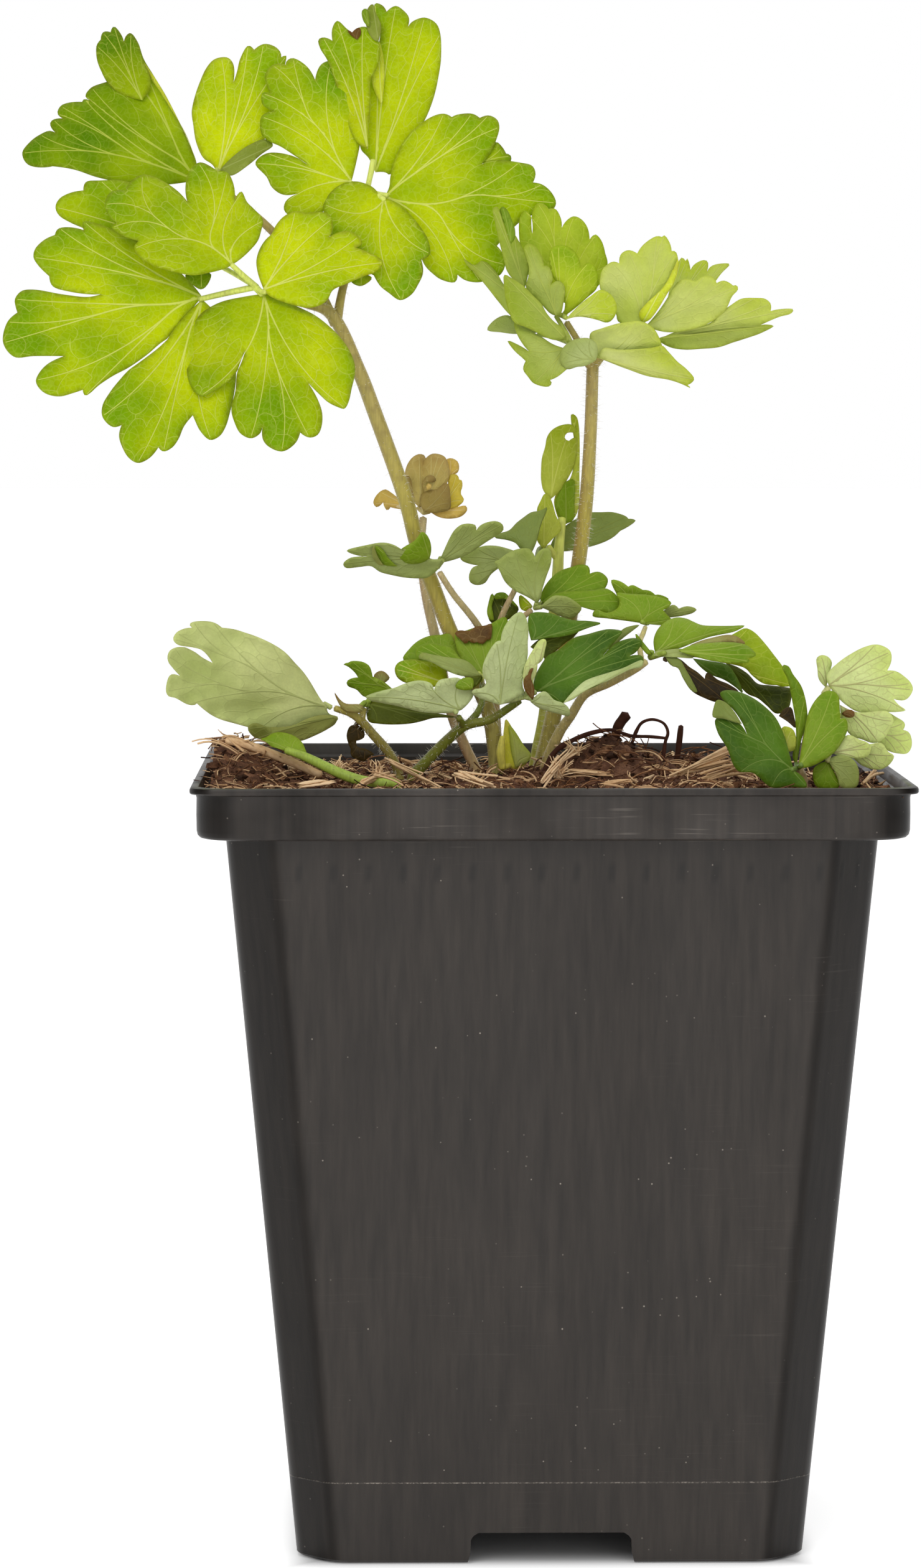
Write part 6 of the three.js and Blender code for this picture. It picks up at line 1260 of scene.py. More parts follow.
    "low_leaf_lime": """
top lime -6.6 0 .45 0 0 0
-13.4,112 -15.2,111.5 -16.8,112 -18.3,112 -19.4,112.7 T-19.7,113.7 T-19.4,114.4 -18.6,114.8 -17.1,114.9
-16.4,114.7 -15.2,114.6 -14,114.4 -13.3,113.1
top meadow -5 0 .45 0 0 0
-13.4,113.4 -15.5,114 -18.7,114.9 -17.9,116.2 -16.8,117.2 T-15.4,117.8 T-14.2,117.9 -12.9,118 -12,116
-11.5,114.5
top meadow -9.6 0 .5 0 0 0
-9.1,113 -9.6,113.5 -10.3,114.3 -11.7,115.1 -12.4,116 -13.2,116.5 -14.3,116.8 T-15.6,116.9 T-16.6,116.6
T-17.1,116 -17.1,115.1 -16.8,114.8 -15.6,114.8 -13.9,113.9 -12.4,113.2 -11.1,112.9
under sage -10.2 0 .5 0 0 0
-9,112.9 -9.6,113.5 -10.3,114.3 -11.1,114.8 -12,115 -13.5,115.2 -15.1,115.5 T-16.4,115.7 T-16.8,115.1
-15.6,114.7 -14.9,114.4 -13.9,113.8 -12.4,113.1 -11.1,112.8 -9.9,112.8
top meadow -7.3 0 .5 0 0 0
-8.6,112.8 -10.5,113.6 -11.7,115.2 -12.2,116.5 T-12.3,118 -11.8,118.3 T-11.1,118.4 T-9.9,118.8 -8.6,119
T-7.9,119.3 T-6.2,120.1 -5.8,119.5 -6.2,117.2 -7,114.5
top scorched -5.8 0 .5 0 0 0
-9.6,117 T-10.2,116.9 S-10.6,117.2 T-11,116.8 -11.8,117.5 T-12.35,118 -12,118.4 S-11.1,118.4 T-10.4,118.5
T-9.8,118.9 -8.6,119.05 T-7.85,119.3 -7.8,118.2 T-8,117.3 S-8.4,117.3 T-8.9,116.8""",
    "low_leaf_front": """
under silver -17.5 0 -.4 .04 0 0
-6.8,109.3 -8.4,109.8 -9.7,110.3 T-10.3,110.9 S-9.8,111.3 -8.8,111.5 -8.5,112.1 -8.9,112.9 -8.9,114.1
-8.5,115.2 -7.9,116.3 T-7.2,117.1 S-6.7,117.2 -6.6,118 -6.2,119 -5.4,120.1 T-4.5,120.7 -4,120.6 -3.5,119.7
-3.3,118.4 -3.4,116.9 -3.4,115.4 -4,112.7 -4,111.6 -3.8,110.8 -4.6,110.3 -5.6,109.7
under pale_silver -18.6 0 -.3 0 0 0
-3,110.2 -3.7,111 -4,112.2 -3.9,113.7 -3.5,114.8 -2.7,116.2 -2,117.2 T-1.3,117.4 -1.1,117 -1.3,116
-1.6,114.8 S-2.2,114.3 -2.3,113.3 -2.7,112.2 -2.6,110.8
top scorched -19.2 0 -.3 0 0 0
-2.8,109.9 -3.5,110.7 T-3.9,111.5 -3.8,112.6 S-3.4,113 -3.1,113.7 T-2.7,113.9 -3,112.7 T-2.6,111.4
-2.6,110.5
top deep -17 -.08 .5 .04 0 0
-2.6,110.8 -2.7,112 -2.3,113.3 -1.4,114.8 -.9,115.4 .3,116 2.2,117.5 4,118 5.4,118.4 T6.6,118.6 T8.2,118.3
7.8,117.7 6.8,116.5 S5.8,115.3 6.3,115.9 7.3,116.8 8.4,117.3 T9.8,117.5 T10.6,117.1 10,115.9 S9.1,115.3
T10.6,115.3 10.8,114.7 10.6,114.1 9.3,113.8 8.2,113.3 6.3,112.4 5,111.6 2.2,110.4 T1,109.5 -.5,109.9
-1.2,110.8
under silver -18.6 -.08 .5 .02 0 0
.9,109.5 1.9,110.7 2.9,111.7 3.7,112.3 5,112.8 6.3,113.2 8.2,113.8 T10.7,114.8 10.6,114 9.3,113.7
8.2,113.2 6.3,112.2 5,111.7 3.3,110.8 2.2,110
top deep -13.6 0 .4 0 0 0
-3,117.2 -3.3,118.4 -3.4,119.5 T-3.1,120.5 -.9,120.6 T.7,120.1 2.2,119.7 T4.1,119.6 T5.6,119.3 4.2,118.8
2.9,118.3 2.2,118 .3,117.6 -1,117.5 -2,117.3
under dark_olive -12.4 0 .4 0 0 0
-3.1,116.4 -2,117.35 -1,117.6 .3,117.7 2.2,118.1 T2.9,118.4 2.2,117.6 1.2,116.9 -.1,115.8 -1.2,114.9
-1.8,115.5
under dark_sage -12 0 .3 0 0 0
5.9,115.8 6.8,117 7.9,118.3 8.6,118.8 T10.3,119.1 9.6,118.5 8.3,117.5 7,116.4
under silver -18.4 0 -.4 .05 0 0
-3.1,109.7 -2.2,110.6 T-1.4,111 -1,110.8 -.1,109.9 .8,109.6 T1.5,109.1 T1.8,108.4 1.7,107.9 .7,108.1
-.5,108.4 -2,108.9""",
    "side_leaf_big": """
under dull_silver -15.4 .15 -.5 .05 0 0
-28,109.1 -28.6,109.8 -29.3,110.9 -30,112.1 -30.9,113.4 -32,114.6 -33,115.7 -34.1,116.5 -35.4,117.2
-36.8,117.8 -38,118.2 -39.3,118.6 S-40.8,118.8 T-42,119.5 T-44.4,119.5 -44.8,119.2 S-44.5,118.8
-45.4,118.7 T-46.4,118.2 T-46.8,117.4 -46.4,116.8 S-45.3,116.5 -44.3,116.35 -43.4,116.1 -42.7,115.5
S-42,114.5 -42.6,114.8 -43.3,115.2 -44.1,115.8 S-45.3,116.4 -46.4,116.4 -47.2,116 T-47.5,115.3 -47.4,114.6
-46.9,113.9 S-46,112.9 T-47,113.1 -47.4,112.7 T-47.7,111 -47.4,110.4 -46.6,110.2 T-45.1,109.4 -44.3,109.3
S-43.9,109.5 -43,108.7 -42,108 -40.9,107.5 -39.5,107.1 S-37.7,106.6 T-37.1,105.6 -35,105.2 -33.2,105
-31.2,105 -29.6,105.6 -28,106.4 T-26.9,107.2 -26.6,107.8 -27.8,108.3
under dull_olive -15.7 .15 -.5 .03 0 0
-26.8,107.9 -28.7,108.1 -30.5,107.6 -32.3,106.8 -34.1,106.6 -35.5,106.7 -36.6,107.1 -37.5,106.9
T-37.7,106.4 -37.4,105.8 T-36.6,105.2 -35,105.1 -33.2,104.9 -31.2,104.9 -29.6,105.5 -28,106.3 T-26.9,107.1""",
    "side_leaf_small": """
under meadow -9 0 -.5 0 0 0
-19.6,110.9 -21.1,112.2 S-22.4,112.8 -22.5,113.3 T-22.8,114.1 -23.6,114.6 T-25,114.7 S-25.4,114.5
T-26,114.3 -25.4,114 -24.6,113.3 S-24.2,112.7 T-25.2,112.5 T-25.6,112.1 -25.4,111.6 -24.4,111.2
T-23.4,110.3 -21.6,110.6
under flushed -8.2 0 0 0 0 .3
-21.3,111.8 -22.3,112.8 T-21.8,113.4 T-21.2,113.5 -20.6,113.1 -20.3,112.6 -20.8,112.1
top dark_olive -12 0 .6 .03 0 0
-23.1,109.5 -22.9,107.3 T-21.7,107 -20,106.9 -17.9,107 T-16.4,107.3 -14.9,107.7 T-12.1,107.8 -14.9,108.4
-18.3,109.3 -21,110
under flushed -15.2 0 0 0 0 0
-23.6,108.6 -24.1,108.3 -25.2,108.4 -26,108.7 -26.4,109.2 -26.9,110.2 T-27.1,110.9 -26.4,110 -25.7,109.5
-23.7,109.3""",
    # its dark_olive blade is painted shade on the lobe that lies in shadow
    "droop_leaf": """
top meadow -14 0 .8 0 0 0
12.2,115.7 12,117.2 12.4,118.4 13.2,119.3 T14.6,120 16,119.9 T16.9,119.5 17.9,119.1 19.7,119 21.5,119
T23.2,119 22,118.3 20.2,117.9 18.8,117.6 16.9,116.9 15.1,116.2 13.2,115.9
under flushed -14.6 0 .8 0 0 0
16.4,116.6 17.9,117.2 19,117.5 T21.1,117.9 22.2,117.7 T23.3,116.8 21.3,117 19,116.7
under sage -15.2 0 .8 0 0 0
12,115.3 12.3,115.9 13.3,116 15.1,116.2 T16.3,116 17,115.1 15,115.1
top meadow -16 0 .7 0 0 0
15,115.9 16.9,116.7 18.8,116.9 21.3,117 T23.2,116.7 24.1,116.1 T24.6,115.4 S23.6,115 T23.8,114.6
22.9,114.4 20.6,114.5 19,114.7 17.2,115.2
top fresh -9.5 0 .5 0 0 0
16.9,115.2 21.8,118 23.2,118.7 T23.7,118.6 24.5,118.1 25.7,116.8 26.8,115.4 28,113.8 28.8,112.4 T29,111.7
28,111.5 S27.1,111.7 T25.5,111.9 24.1,112.9 23.2,113.8 20.2,114.5
top deep -10.8 0 .5 0 0 0
16.8,115 17.9,113.8 19,113 20.6,112.4 22,111.5 T23,110.7 22.7,111.7 22,113.1 21.1,114.2 18.8,114.7
top dark_olive -6.5 0 .5 0 0 0
20.9,114.4 21.5,112.9 22.5,111.7 23.6,110.6 T24.8,110.1 25.9,109.2 T27.1,108.2 28.5,108.7 28.9,109.9
T29,111.2 28,111.5 26.2,111.7 24.8,111.9 23.6,113.1 22.2,114
top green -14.7 0 .3 0 0 0
11.9,115.6 10.9,116.8 T9.8,118.1 9.9,117.3 10.5,116.3 11.4,115.4""",
    "dead_leaflet": """
top dead -14.6 0 .2 0 0 0
13.3,115.3 14.2,114.1 15,113.8 15.6,112.6 16.7,111 18.3,110.1 19.7,109.6 T21.2,109.4 T22.5,110.8
21.3,111.8 19.9,112.4 T18.6,113.3 S18.3,112.5 T17.3,113.4 16.5,113.9 15.1,115
under dark_sage -15.1 0 .2 0 0 0
13.4,115.3 14.2,114.1 15,113.8 15.6,112.6 16.7,111 T17.4,110.8 16.8,112.2 16,113.6 15.1,115
top dead -11 0 .5 0 0 0
27.4,107.9 28.2,108.9 T28.9,109 29.3,107.8 T29.5,106.4 28.5,107.2""",
    "right_leaf_green": """
top deep -30.5 .1 .4 .04 0 0
29.3,101.2 28.8,103 28.2,105.2 27.1,107.6 25.9,108.9 24.3,110.1 T22.5,110.9 T20.9,111.1 20.2,110.8
20.4,110.1 21.8,108.7 22.9,107.1 S23.5,105.7 22.5,107.1 T20.6,107.9 T19.6,107.5 19.9,105.9 21.1,103.9
21.8,102 T22.5,101.1 24.3,100.9 T26.4,99.2 29,99.2 T30.9,99.2 30.4,100.4
under dark_sage -29.3 .1 .4 0 0 0
22.9,106.9 21.6,108.9 20.7,109.7 T19.8,109.9 19.4,109 T19.3,107.8 20.6,107.6 21.8,107.2
top soft -27 0 0 0 0 0
28.2,103.6 27.6,105 T27.9,106.6 T29,106.4 29.5,105.5 29.3,103.7
top green -26.5 0 0 0 0 0
29.6,101.8 29.1,103 29.5,104.8 29.4,107.6 29.1,109.4 28.8,111 28.4,112.6 27.8,113.8 T27.9,114.2 28.6,114
29.1,113.1 30.1,111.7 T30.6,110.3 30.9,108.5 30.9,106.9 30.3,105.3 29.9,103.4
top meadow -29.8 0 .35 .02 0 0
29.8,101.5 30.5,105.7 31,108.2 31.9,109.9 33,110.9 T34,111 34.7,110.4 34.9,108.9 S35,107.6 T35.6,107.6
35.9,106.6 35.6,105.5 34.4,103.6 33,102.5 31.4,101.7
top green -27.8 0 0 0 0 0
33.4,102.4 31.8,101.6 T31.6,100.6 32.1,99.2 T34.9,99.2 34.2,101.1""",
    "right_leaf_pale": """
under pale_silver -22.5 0 -.3 .03 0 0
33.5,111.7 33.3,113 34.7,114.5 36.3,115.6 37.9,116.4 T39.3,116.7 40.4,116.4 T41.1,115.8 41.2,114.7
S40.7,113.5 T41.8,113.4 43,112.6 T43.65,111.9 T43.85,111.1 43,109.9 S41.5,110 42.1,109.3 T43,108.6
42,108.4 40,108.4 37.2,108.4 36,109 34.6,110.2
under pale_silver -24.8 0 -.3 .03 0 0
34.9,109.3 37,108.4 40.9,108.4 T41.5,107.2 41.1,106.4 40.4,105.2 T39.7,104.7 T38.8,104.6 37.7,105
36.3,105.5 35.3,107
top pale_silver -20.6 0 .3 0 0 0
38,106.6 40.7,108.3 T41.8,107.8 T42.9,107 S42.7,106.2 T43.4,105.9 T43.75,105 43.7,104 T43.2,103.3
T42,103.3 40.9,103.6 39.8,104.4
under pale_silver -27 0 -.3 0 0 0
35.6,103.9 38.8,104.5 40,104.6 40.9,103.5 T41.6,103 41.1,102 T40.2,101.4 T39.3,101.3 37.9,101.7 37,102.3
under pale_silver -27.8 0 0 0 0 0
33.8,103.4 34.8,104.6 35.9,105.6 37.4,105 T38.4,104.6 T38.8,103.9 38.4,103 T37.4,102.7 35.8,102.8
under sage -28.2 0 0 0 0 0
33.4,102.4 34.7,103.1 T36.5,102.6 T37.1,101.8 37.3,100.6 T37,99.2 35,99.2 34.7,100.2 34,101.6
under pale_silver -21.5 0 0 0 0 0
33.2,111.4 32.3,112.4 T32.1,113.8 32,115 T32.6,115.4 33.4,115.2 T33.9,114.5 33.7,113.5
top scorched -25.4 0 -.3 0 0 0
35.1,108.2 T35.4,107.9 35.9,107.7 T36.6,107.8 36.7,108.4 T36.2,108.7 35.6,108.6""",
    "soil_shoot": """
top meadow -21 0 .6 0 0 0
-32,103.2 -34.1,104 -34.8,104.2 -35.5,104.8 T-36.2,105.1 -35.4,105.4 -34.8,105.8 -33.9,106 -32.7,105.8
T-31.8,105.4 -31.1,104.8 T-30.7,104 -30.5,103.2""",
    "withered_leaf": """
top dead -12.2 0 0 0 0 0
-24.4,106.9 -25.2,106.7 T-25.6,105.6 -25.4,104.6 S-25.1,103.9 T-25,103 -24.2,102.6 T-23.4,102.4 -22.8,103
T-22.2,103.2 -23.2,103.9 -24.3,104.2 S-24.4,104.9 T-23.4,105.4 -23.6,106.4""",
    "crown_sheath": """
top sheath -1.9 0 0 0 0 0
-4.6,101.4 -6.6,102.2 -6.5,104.5 -6.3,106.5 T-6.1,107.6 -5.1,106.2 -3.9,104.4 T-3.1,103.2 -3.5,102.2
top pale_lime -2.3 0 0 0 0 0
-4.9,101.6 -5.4,103.4 -5.6,105 T-5.7,106.9 -4.9,106 -3.9,104.4 T-3,103.2 -3.3,102.4""",
}
SHORT_STALKS = {
    "head_left_lower": """
-36.5,160.3,-6.3,.42 -38,161.6,-7.6,.38 -39.5,163,-8.8,.34 /
-36.6,160.3,-6.2,.42 -40,159.6,-5.8,.4 -43.5,158.8,-5.6,.36 /
-36.5,160.3,-6.3,.38 -36,159.8,-7.2,.36 -35.4,159.7,-8,.34 /
-36.7,160.2,-6.4,.36 -35.8,159.3,-6.7,.34 /
-37,160.6,-6,.36 -39,161.8,-4,.34 -41.2,163,-1.6,.34""",
    "head_left_upper": """
-41.9,173,3,.4 -43.8,173.3,3.5,.34 /
-41.9,173,3,.4 -41.2,174.6,4,.34""",
    "head_mid": """
-23,172.1,2.2,.4 -23.8,172.4,2.1,.36 -25.2,173,2,.34 /
-23,172.1,2.2,.4 -22.6,173.8,3.4,.36 -22.1,175.6,4.5,.34 /
-22.8,173,2.8,.36 -22.3,175.7,3.2,.32 /
-23,172.1,2.2,.4 -21.8,171.6,1.8,.36 -20.5,171.4,1.5,.34 /
-23,172.1,2.2,.4 -21.9,171.5,1.2,.34 -20.9,170.9,.3,.34""",
    "head_right_left": """
1.8,153.5,-6.6,.4 1.2,154,-7.6,.34 /
1.8,153.5,-6.6,.4 1.2,154.8,-5.8,.34 0,156.8,-5,.3 /
1.8,153.5,-6.6,.4 .6,154.4,-5.6,.32 /
1.8,153.5,-6.6,.38 -.2,154.2,-4.8,.3 -2.2,154.6,-4,.3 /
1.8,153.5,-6.6,.4 1.9,152.3,-8.2,.34 /
1.8,153.5,-6.6,.4 2.6,152.2,-8.4,.36 3.5,151.2,-9.6,.34 /
1.8,153.5,-6.6,.4 3.4,152.6,-7.4,.36 5.4,151.9,-7,.34""",
    "head_right_mid": """
.9,156.8,-5.6,.36 -.2,157.2,-6.6,.32 /
.9,156.8,-5.6,.36 .7,156.9,-5.8,.34 /
.9,156.8,-5.6,.36 1.2,156.6,-7.5,.32 /
.9,156.8,-5.6,.36 1.8,158.1,-3.7,.32""",
    "head_right_end": """
10.9,155.2,-4.7,.36 10.5,155.9,-5.7,.32 /
10.9,155.2,-4.7,.36 11.2,155.6,-4.8,.32 /
10.9,155.2,-4.7,.36 11.3,154.4,-3.8,.32 /
10.9,155.2,-4.7,.36 12,155.6,-3.6,.32 13.3,156.4,-2.6,.32""",
    "young_brown_leaf": """
-16.1,132.9,9,.4 -16,133.6,8.4,.34 /
-16.1,132.9,9,.4 -15,133.6,10,.32 /
-16.1,132.9,9,.4 -15.4,133,9.2,.32 /
-16.1,132.9,9,.4 -16.8,133.4,10.3,.3""",
    "young_green_leaf": """
root -2.6,101.6,7.4,.75 -1.4,108,6.8,.78 -.4,118,5.6,.8 .2,124.4,4.9,.8 .4,128.4,4.6,.7 .8,132.2,4.6,.55 /
.3,127,4.8,.5 -.9,128.7,3.6,.4 /
.6,130.5,4.6,.45 -.8,132.9,4.2,.4""",
    "mid_leaf_left": """
-14.5,126.2,-5.1,.38 -13.8,127.1,-5.9,.34 /
-14.5,126.2,-5.1,.38 -14,127.4,-5,.34""",
    "mid_leaf_back": """
-4.8,124,-3,.34 -4.4,126,-2.2,.32 -3.6,127.8,-1.5,.3 /
-4.8,124,-3,.34 -6.2,126.6,-2.8,.32 /
-4.8,124,-3,.34 -3.4,125.4,-.5,.32 -2.4,127.2,3.2,.3 -1.9,128.5,5.8,.3 -.7,128.6,7,.3""",
    "mid_leaf_centre": """
-2.5,121.2,-5.6,.34 -2.3,121.8,-6.5,.32 /
-2.5,121.2,-5.6,.34 -1.8,121.3,-7.3,.32 /
-2.5,121.2,-5.6,.34 -1.7,121.8,-4.8,.32""",
    "right_upper_leaf": """
11.2,119.3,-6.6,.32 10.5,119.5,-7.3,.32 /
11.2,119.3,-6.6,.32 10,120.6,-4.8,.32 8.9,122,-3.4,.32 /
11.2,119.3,-6.6,.32 12.4,120.2,-4.4,.32""",
    "low_leaf_left": """
-12.1,108.3,-16.1,.36 -12.4,108.7,-16.1,.34""",
    "low_leaf_lime": """
-9,112.2,-7.8,.34 -9.2,112.9,-5.5,.32 /
-9,112.2,-7.8,.34 -9.4,113.2,-9.6,.32 /
-9,112.2,-7.8,.34 -9,113,-7.3,.32""",
    "low_leaf_front": """
-3.8,110.3,-17,.36 -5,110,-17.2,.34 -6.6,109.7,-17.5,.34 /
-3.8,110.3,-17,.36 -3.2,111.4,-18.6,.32 /
-3.8,110.3,-17,.36 -2.4,110.9,-17,.34 /
-3.8,110.3,-17,.36 -2.8,111.2,-13.6,.32 /
-3.8,110.3,-17,.36 -2.7,110,-18.4,.32""",
    "side_leaf_big": """
-27.5,109,-15.1,.36 -28.4,109.5,-15.4,.34""",
    "side_leaf_small": """
-23.4,109.4,-12.7,.36 -23,109.3,-12,.34 /
-23.4,109.4,-12.7,.36 -22,110.4,-10.6,.34 -19.7,111,-9,.32 /
-23.4,109.6,-12.7,.34 -24,109.1,-15.1,.3""",
    "droop_leaf": """
11.6,115.1,-13.6,.38 11.8,115.9,-14,.36 /
11.6,115.1,-13.6,.38 13.4,115.7,-16,.34 /
11.6,115.1,-13.6,.38 12.9,115.5,-11.6,.36 14.4,115.9,-9.5,.34 /
12.9,115.5,-11.6,.36 14.4,115.5,-10.8,.34 /
14,115.7,-10.2,.34 16,115.5,-8.4,.34 18.4,115.4,-6.5,.34""",
    "dead_leaflet": """
13.3,115,-14.6,.34 13.7,114.8,-14.6,.34""",
    "right_leaf_green": """
29.7,101.6,-27.2,.4 29.4,101.4,-29,.36 29,101.3,-30.4,.34 /
29.7,101.6,-27.2,.4 29.6,102,-26.5,.34 /
29.7,101.6,-27.2,.4 30,101.7,-28.8,.36 30.2,101.9,-29.7,.34""",
    "right_leaf_pale": """
32.9,110.7,-23.3,.34 33.5,111.3,-22.5,.34 /
32.9,110.7,-23.3,.34 33.4,111.4,-21.5,.34 /
32.9,110.7,-23.3,.34 33.7,109.7,-24.2,.34 34.5,108.9,-24.8,.34 /
32.9,110.7,-23.3,.34 33.4,107,-24.6,.34 33.6,104.8,-26.4,.34 33.6,103.2,-27.8,.34 33.4,102.3,-28.2,.34 /
33.5,108.4,-23.9,.34 34.8,108,-22,.34 36.4,107.8,-20.6,.34 /
33.6,104.9,-26.5,.34 34.4,104.5,-27,.34 /
33.6,104.9,-26.5,.34 34,104.4,-27.6,.34""",
    "soil_shoot": """
root -19.6,99.6,-25,.7 -21,99.65,-25,.7 -22.4,99.75,-25,.7 -24.5,100.2,-24.6,.7 -26.6,101,-24,.68
-28.7,102,-23,.64 -30.8,103,-22,.58 -33,103.8,-21.1,.5""",
    "withered_leaf": """
-24.3,107.1,-12.2,.3 -24.6,106.6,-12.2,.3""",
    "crown_sheath": """
-6.5,101.5,-3,.5 -6.7,103.6,-3.2,.6 -6.5,105.4,-3.2,.34 /
-6.5,101.6,-2.8,.4 -5.6,101.9,-2,.34""",
}
FINISHES = {  # near the base, towards the tips, margin, veins, far side, far side's veins, brown rim
    "lime": "200,213,8 128,168,4 172,196,44 228,232,120 158,178,50 190,202,104 0.4",
    "lime_gold": "212,222,8 150,184,4 190,208,48 234,236,126 166,184,54 198,206,110 0.5",
    "lime_shade": "172,194,8 96,138,2 150,178,36 204,214,92 140,164,50 180,194,96 0.4",
    "grey_lime": "172,184,92 146,166,36 164,180,50 180,190,88 134,168,14 170,188,66 0.1",
    "pale_lime": "204,210,128 184,198,48 190,204,60 206,212,116 156,186,18 188,200,82 0.1",
    "fresh": "186,202,40 132,164,4 172,192,36 206,216,84 152,168,78 178,186,110 0.1",
    "ochre": "240,208,112 204,176,76 232,198,118 242,218,150 192,170,98 206,182,120 0.3",
    "soft": "196,202,88 162,178,36 196,206,72 212,216,110 164,172,62 190,194,100 0.1",
    "sage": "176,188,116 146,160,72 172,186,100 166,176,98 98,128,20 132,152,58 0.1",
    "dark_sage": "138,152,80 110,128,46 146,160,80 140,152,72 88,116,22 118,136,50 0.1",
    "green": "124,156,28 92,126,4 140,166,40 152,174,62 128,146,60 148,162,84 0.1",
    "meadow": "140,168,40 108,144,10 154,178,54 166,186,76 134,152,62 154,168,86 0.1",
    "silver": "214,226,164 176,192,120 206,220,148 184,196,122 100,136,26 138,160,70 0.1",
    "pale_silver": "224,234,160 206,220,124 218,232,136 190,184,126 132,160,34 166,186,84 0.1",
    "deep": "88,126,24 54,90,2 116,148,48 124,150,66 112,132,52 136,152,78 0.1",
    # dark_olive is a shaded green: on the middle leaf's inner lobe and the drooping leaf's shaded lobe it is
    # painted shade
    "dark_olive": "82,92,6 54,64,2 104,116,30 112,122,44 104,114,46 122,132,66 0.2",
    "flushed": "170,176,100 140,122,66 168,150,88 172,170,100 122,120,56 140,138,76 0.5",
    "dead": "60,48,16 28,18,4 92,74,34 92,72,38 78,66,32 96,78,46 0.0",
    "lime_roll": "216,224,40 176,196,14 226,232,84 226,232,120 176,192,44 196,206,96 0.3",
    "grey_fold": "158,170,76 128,144,40 170,182,84 176,186,100 140,162,24 162,178,66 0.2",
    "ochre_green": "224,200,70 190,168,44 230,208,90 232,216,120 170,164,70 184,180,98 0.2",
    "bud": "206,188,108 178,150,86 210,184,116 212,196,128 164,148,76 176,162,92 0.3",
    "bud_dark": "172,150,80 144,116,62 180,156,94 182,162,100 128,110,52 144,126,68 0.2",
    "dull_silver": "220,226,152 178,190,110 210,220,140 190,198,124 100,136,26 138,160,70 0.2",
    "dull_olive": "158,164,84 122,130,52 166,172,92 154,162,86 98,124,28 128,144,60 0.2",
    "scorched": "126,96,44 84,56,24 150,112,62 140,112,68 110,88,46 124,104,62 0.6",
    "sheath": "255,250,80 214,204,44 250,242,120 240,230,110 190,182,76 200,190,100 0.1",
}
LEAF_SLOTS = {
    "lime": "head_left_lower head_left_upper head_mid young_green_leaf",
    "green": "head_right_left head_right_mid head_right_end mid_leaf_centre right_upper_leaf soil_shoot",
    "grey": "mid_leaf_left mid_leaf_back side_leaf_small",
    "pale": "low_leaf_left side_leaf_big right_leaf_pale",
    "deep": "low_leaf_lime low_leaf_front droop_leaf right_leaf_green",
    "brownLeaf": "young_brown_leaf", "dead": "dead_leaflet withered_leaf", "sheath": "crown_sheath",
}


def leaf_paint(name, rough, sheen, see_through, raised):
    """Blade skin: veins, a fine net between them, mottling, and light coming through."""
    skin = Paint(name, rough, sheen)
    where = skin.where()
    gap = skin.split(skin.own("gaps", "Vector"))
    main = skin.span(gap["X"], 0.3, 0.85, 0.85, 0.0, "SMOOTHSTEP")
    side = skin.span(gap["Y"], 0.01, 0.085, 0.36, 0.0, "SMOOTHSTEP")
    warp = skin.noise(where, 700.0, 2.0).node.outputs["Color"]
    bent = skin.add("ShaderNodeMix", 1, data_type="VECTOR", i0=0.0006, i4=where, i5=warp)
    net = skin.add("ShaderNodeTexVoronoi", feature="DISTANCE_TO_EDGE", Vector=bent, Scale=1250.0)
    mesh_line = skin.span(net, 0.02, 0.14, 0.1, 0.0, "SMOOTHSTEP")
    lines = skin.math("MAXIMUM", skin.math("MAXIMUM", main, side), mesh_line)
    mottle = skin.noise(where, 520.0, 5.0, 0.65)
    cells = skin.noise(where, 4200.0, 2.0)
    both = skin.math("MULTIPLY", skin.span(mottle, 0.3, 0.7, 0.93, 1.06),
                     skin.span(cells, 0.3, 0.7, 0.97, 1.03))
    colour = skin.mix(lines, skin.shade(skin.own("leaf"), both), skin.own("line"))
    skin.coat(Base_Color=colour)
    swell = skin.math("MULTIPLY_ADD", lines, 1.0 if raised else -1.0, mottle)
    bump = skin.bump(skin.math("MULTIPLY_ADD", cells, 0.25, swell), 0.55, 0.16)
    glow = skin.add("ShaderNodeBsdfTranslucent", Color=colour, Normal=bump)
    mixed = skin.add("ShaderNodeMixShader", i0=see_through, i1=skin.shader.outputs[0], i2=glow)
    skin.fill(skin.tree.nodes["Material Output"], Surface=mixed)
    return skin


def vein(start, over, end):
    """Points of a bent vein, about VEIN_STEP apart."""
    far = np.linalg.norm(over - start) + np.linalg.norm(end - over)
    return bend(start, over, end, max(3, int(far / VEIN_STEP) + 2))


def gap_to(points, lines, widths=None):
    """Each point's distance to the nearest of the polylines, over that line's width if given."""
    best = np.full(len(points), 99.0)
    for k, run in enumerate(lines):
        a, ab = run[:-1], run[1:] - run[:-1]
        t = np.einsum("ijk,jk->ij", points[:, None] - a[None], ab) / (np.einsum("jk,jk->j", ab, ab) + 1e-12)
        t = np.clip(t, 0, 1)
        far = np.linalg.norm(points[:, None] - (a[None] + t[..., None] * ab[None]), axis=2)
        if widths is not None:
            far = far / np.interp(t + np.arange(len(a))[None], [0, len(a)], widths[k])
        best = np.minimum(best, far.min(axis=1))
    return best


def within(points, loop):
    """Which points lie inside a closed outline."""
    x, y = points[:, 0][:, None], points[:, 1][:, None]
    ax, ay = loop[:, 0][None], loop[:, 1][None]
    bx, by = np.roll(loop[:, 0], -1)[None], np.roll(loop[:, 1], -1)[None]
    crosses = ((ay > y) != (by > y)) & (x < (bx - ax) * (y - ay) / np.where(by == ay, 1e-12, by - ay) + ax)
    return crosses.sum(axis=1) % 2 == 1


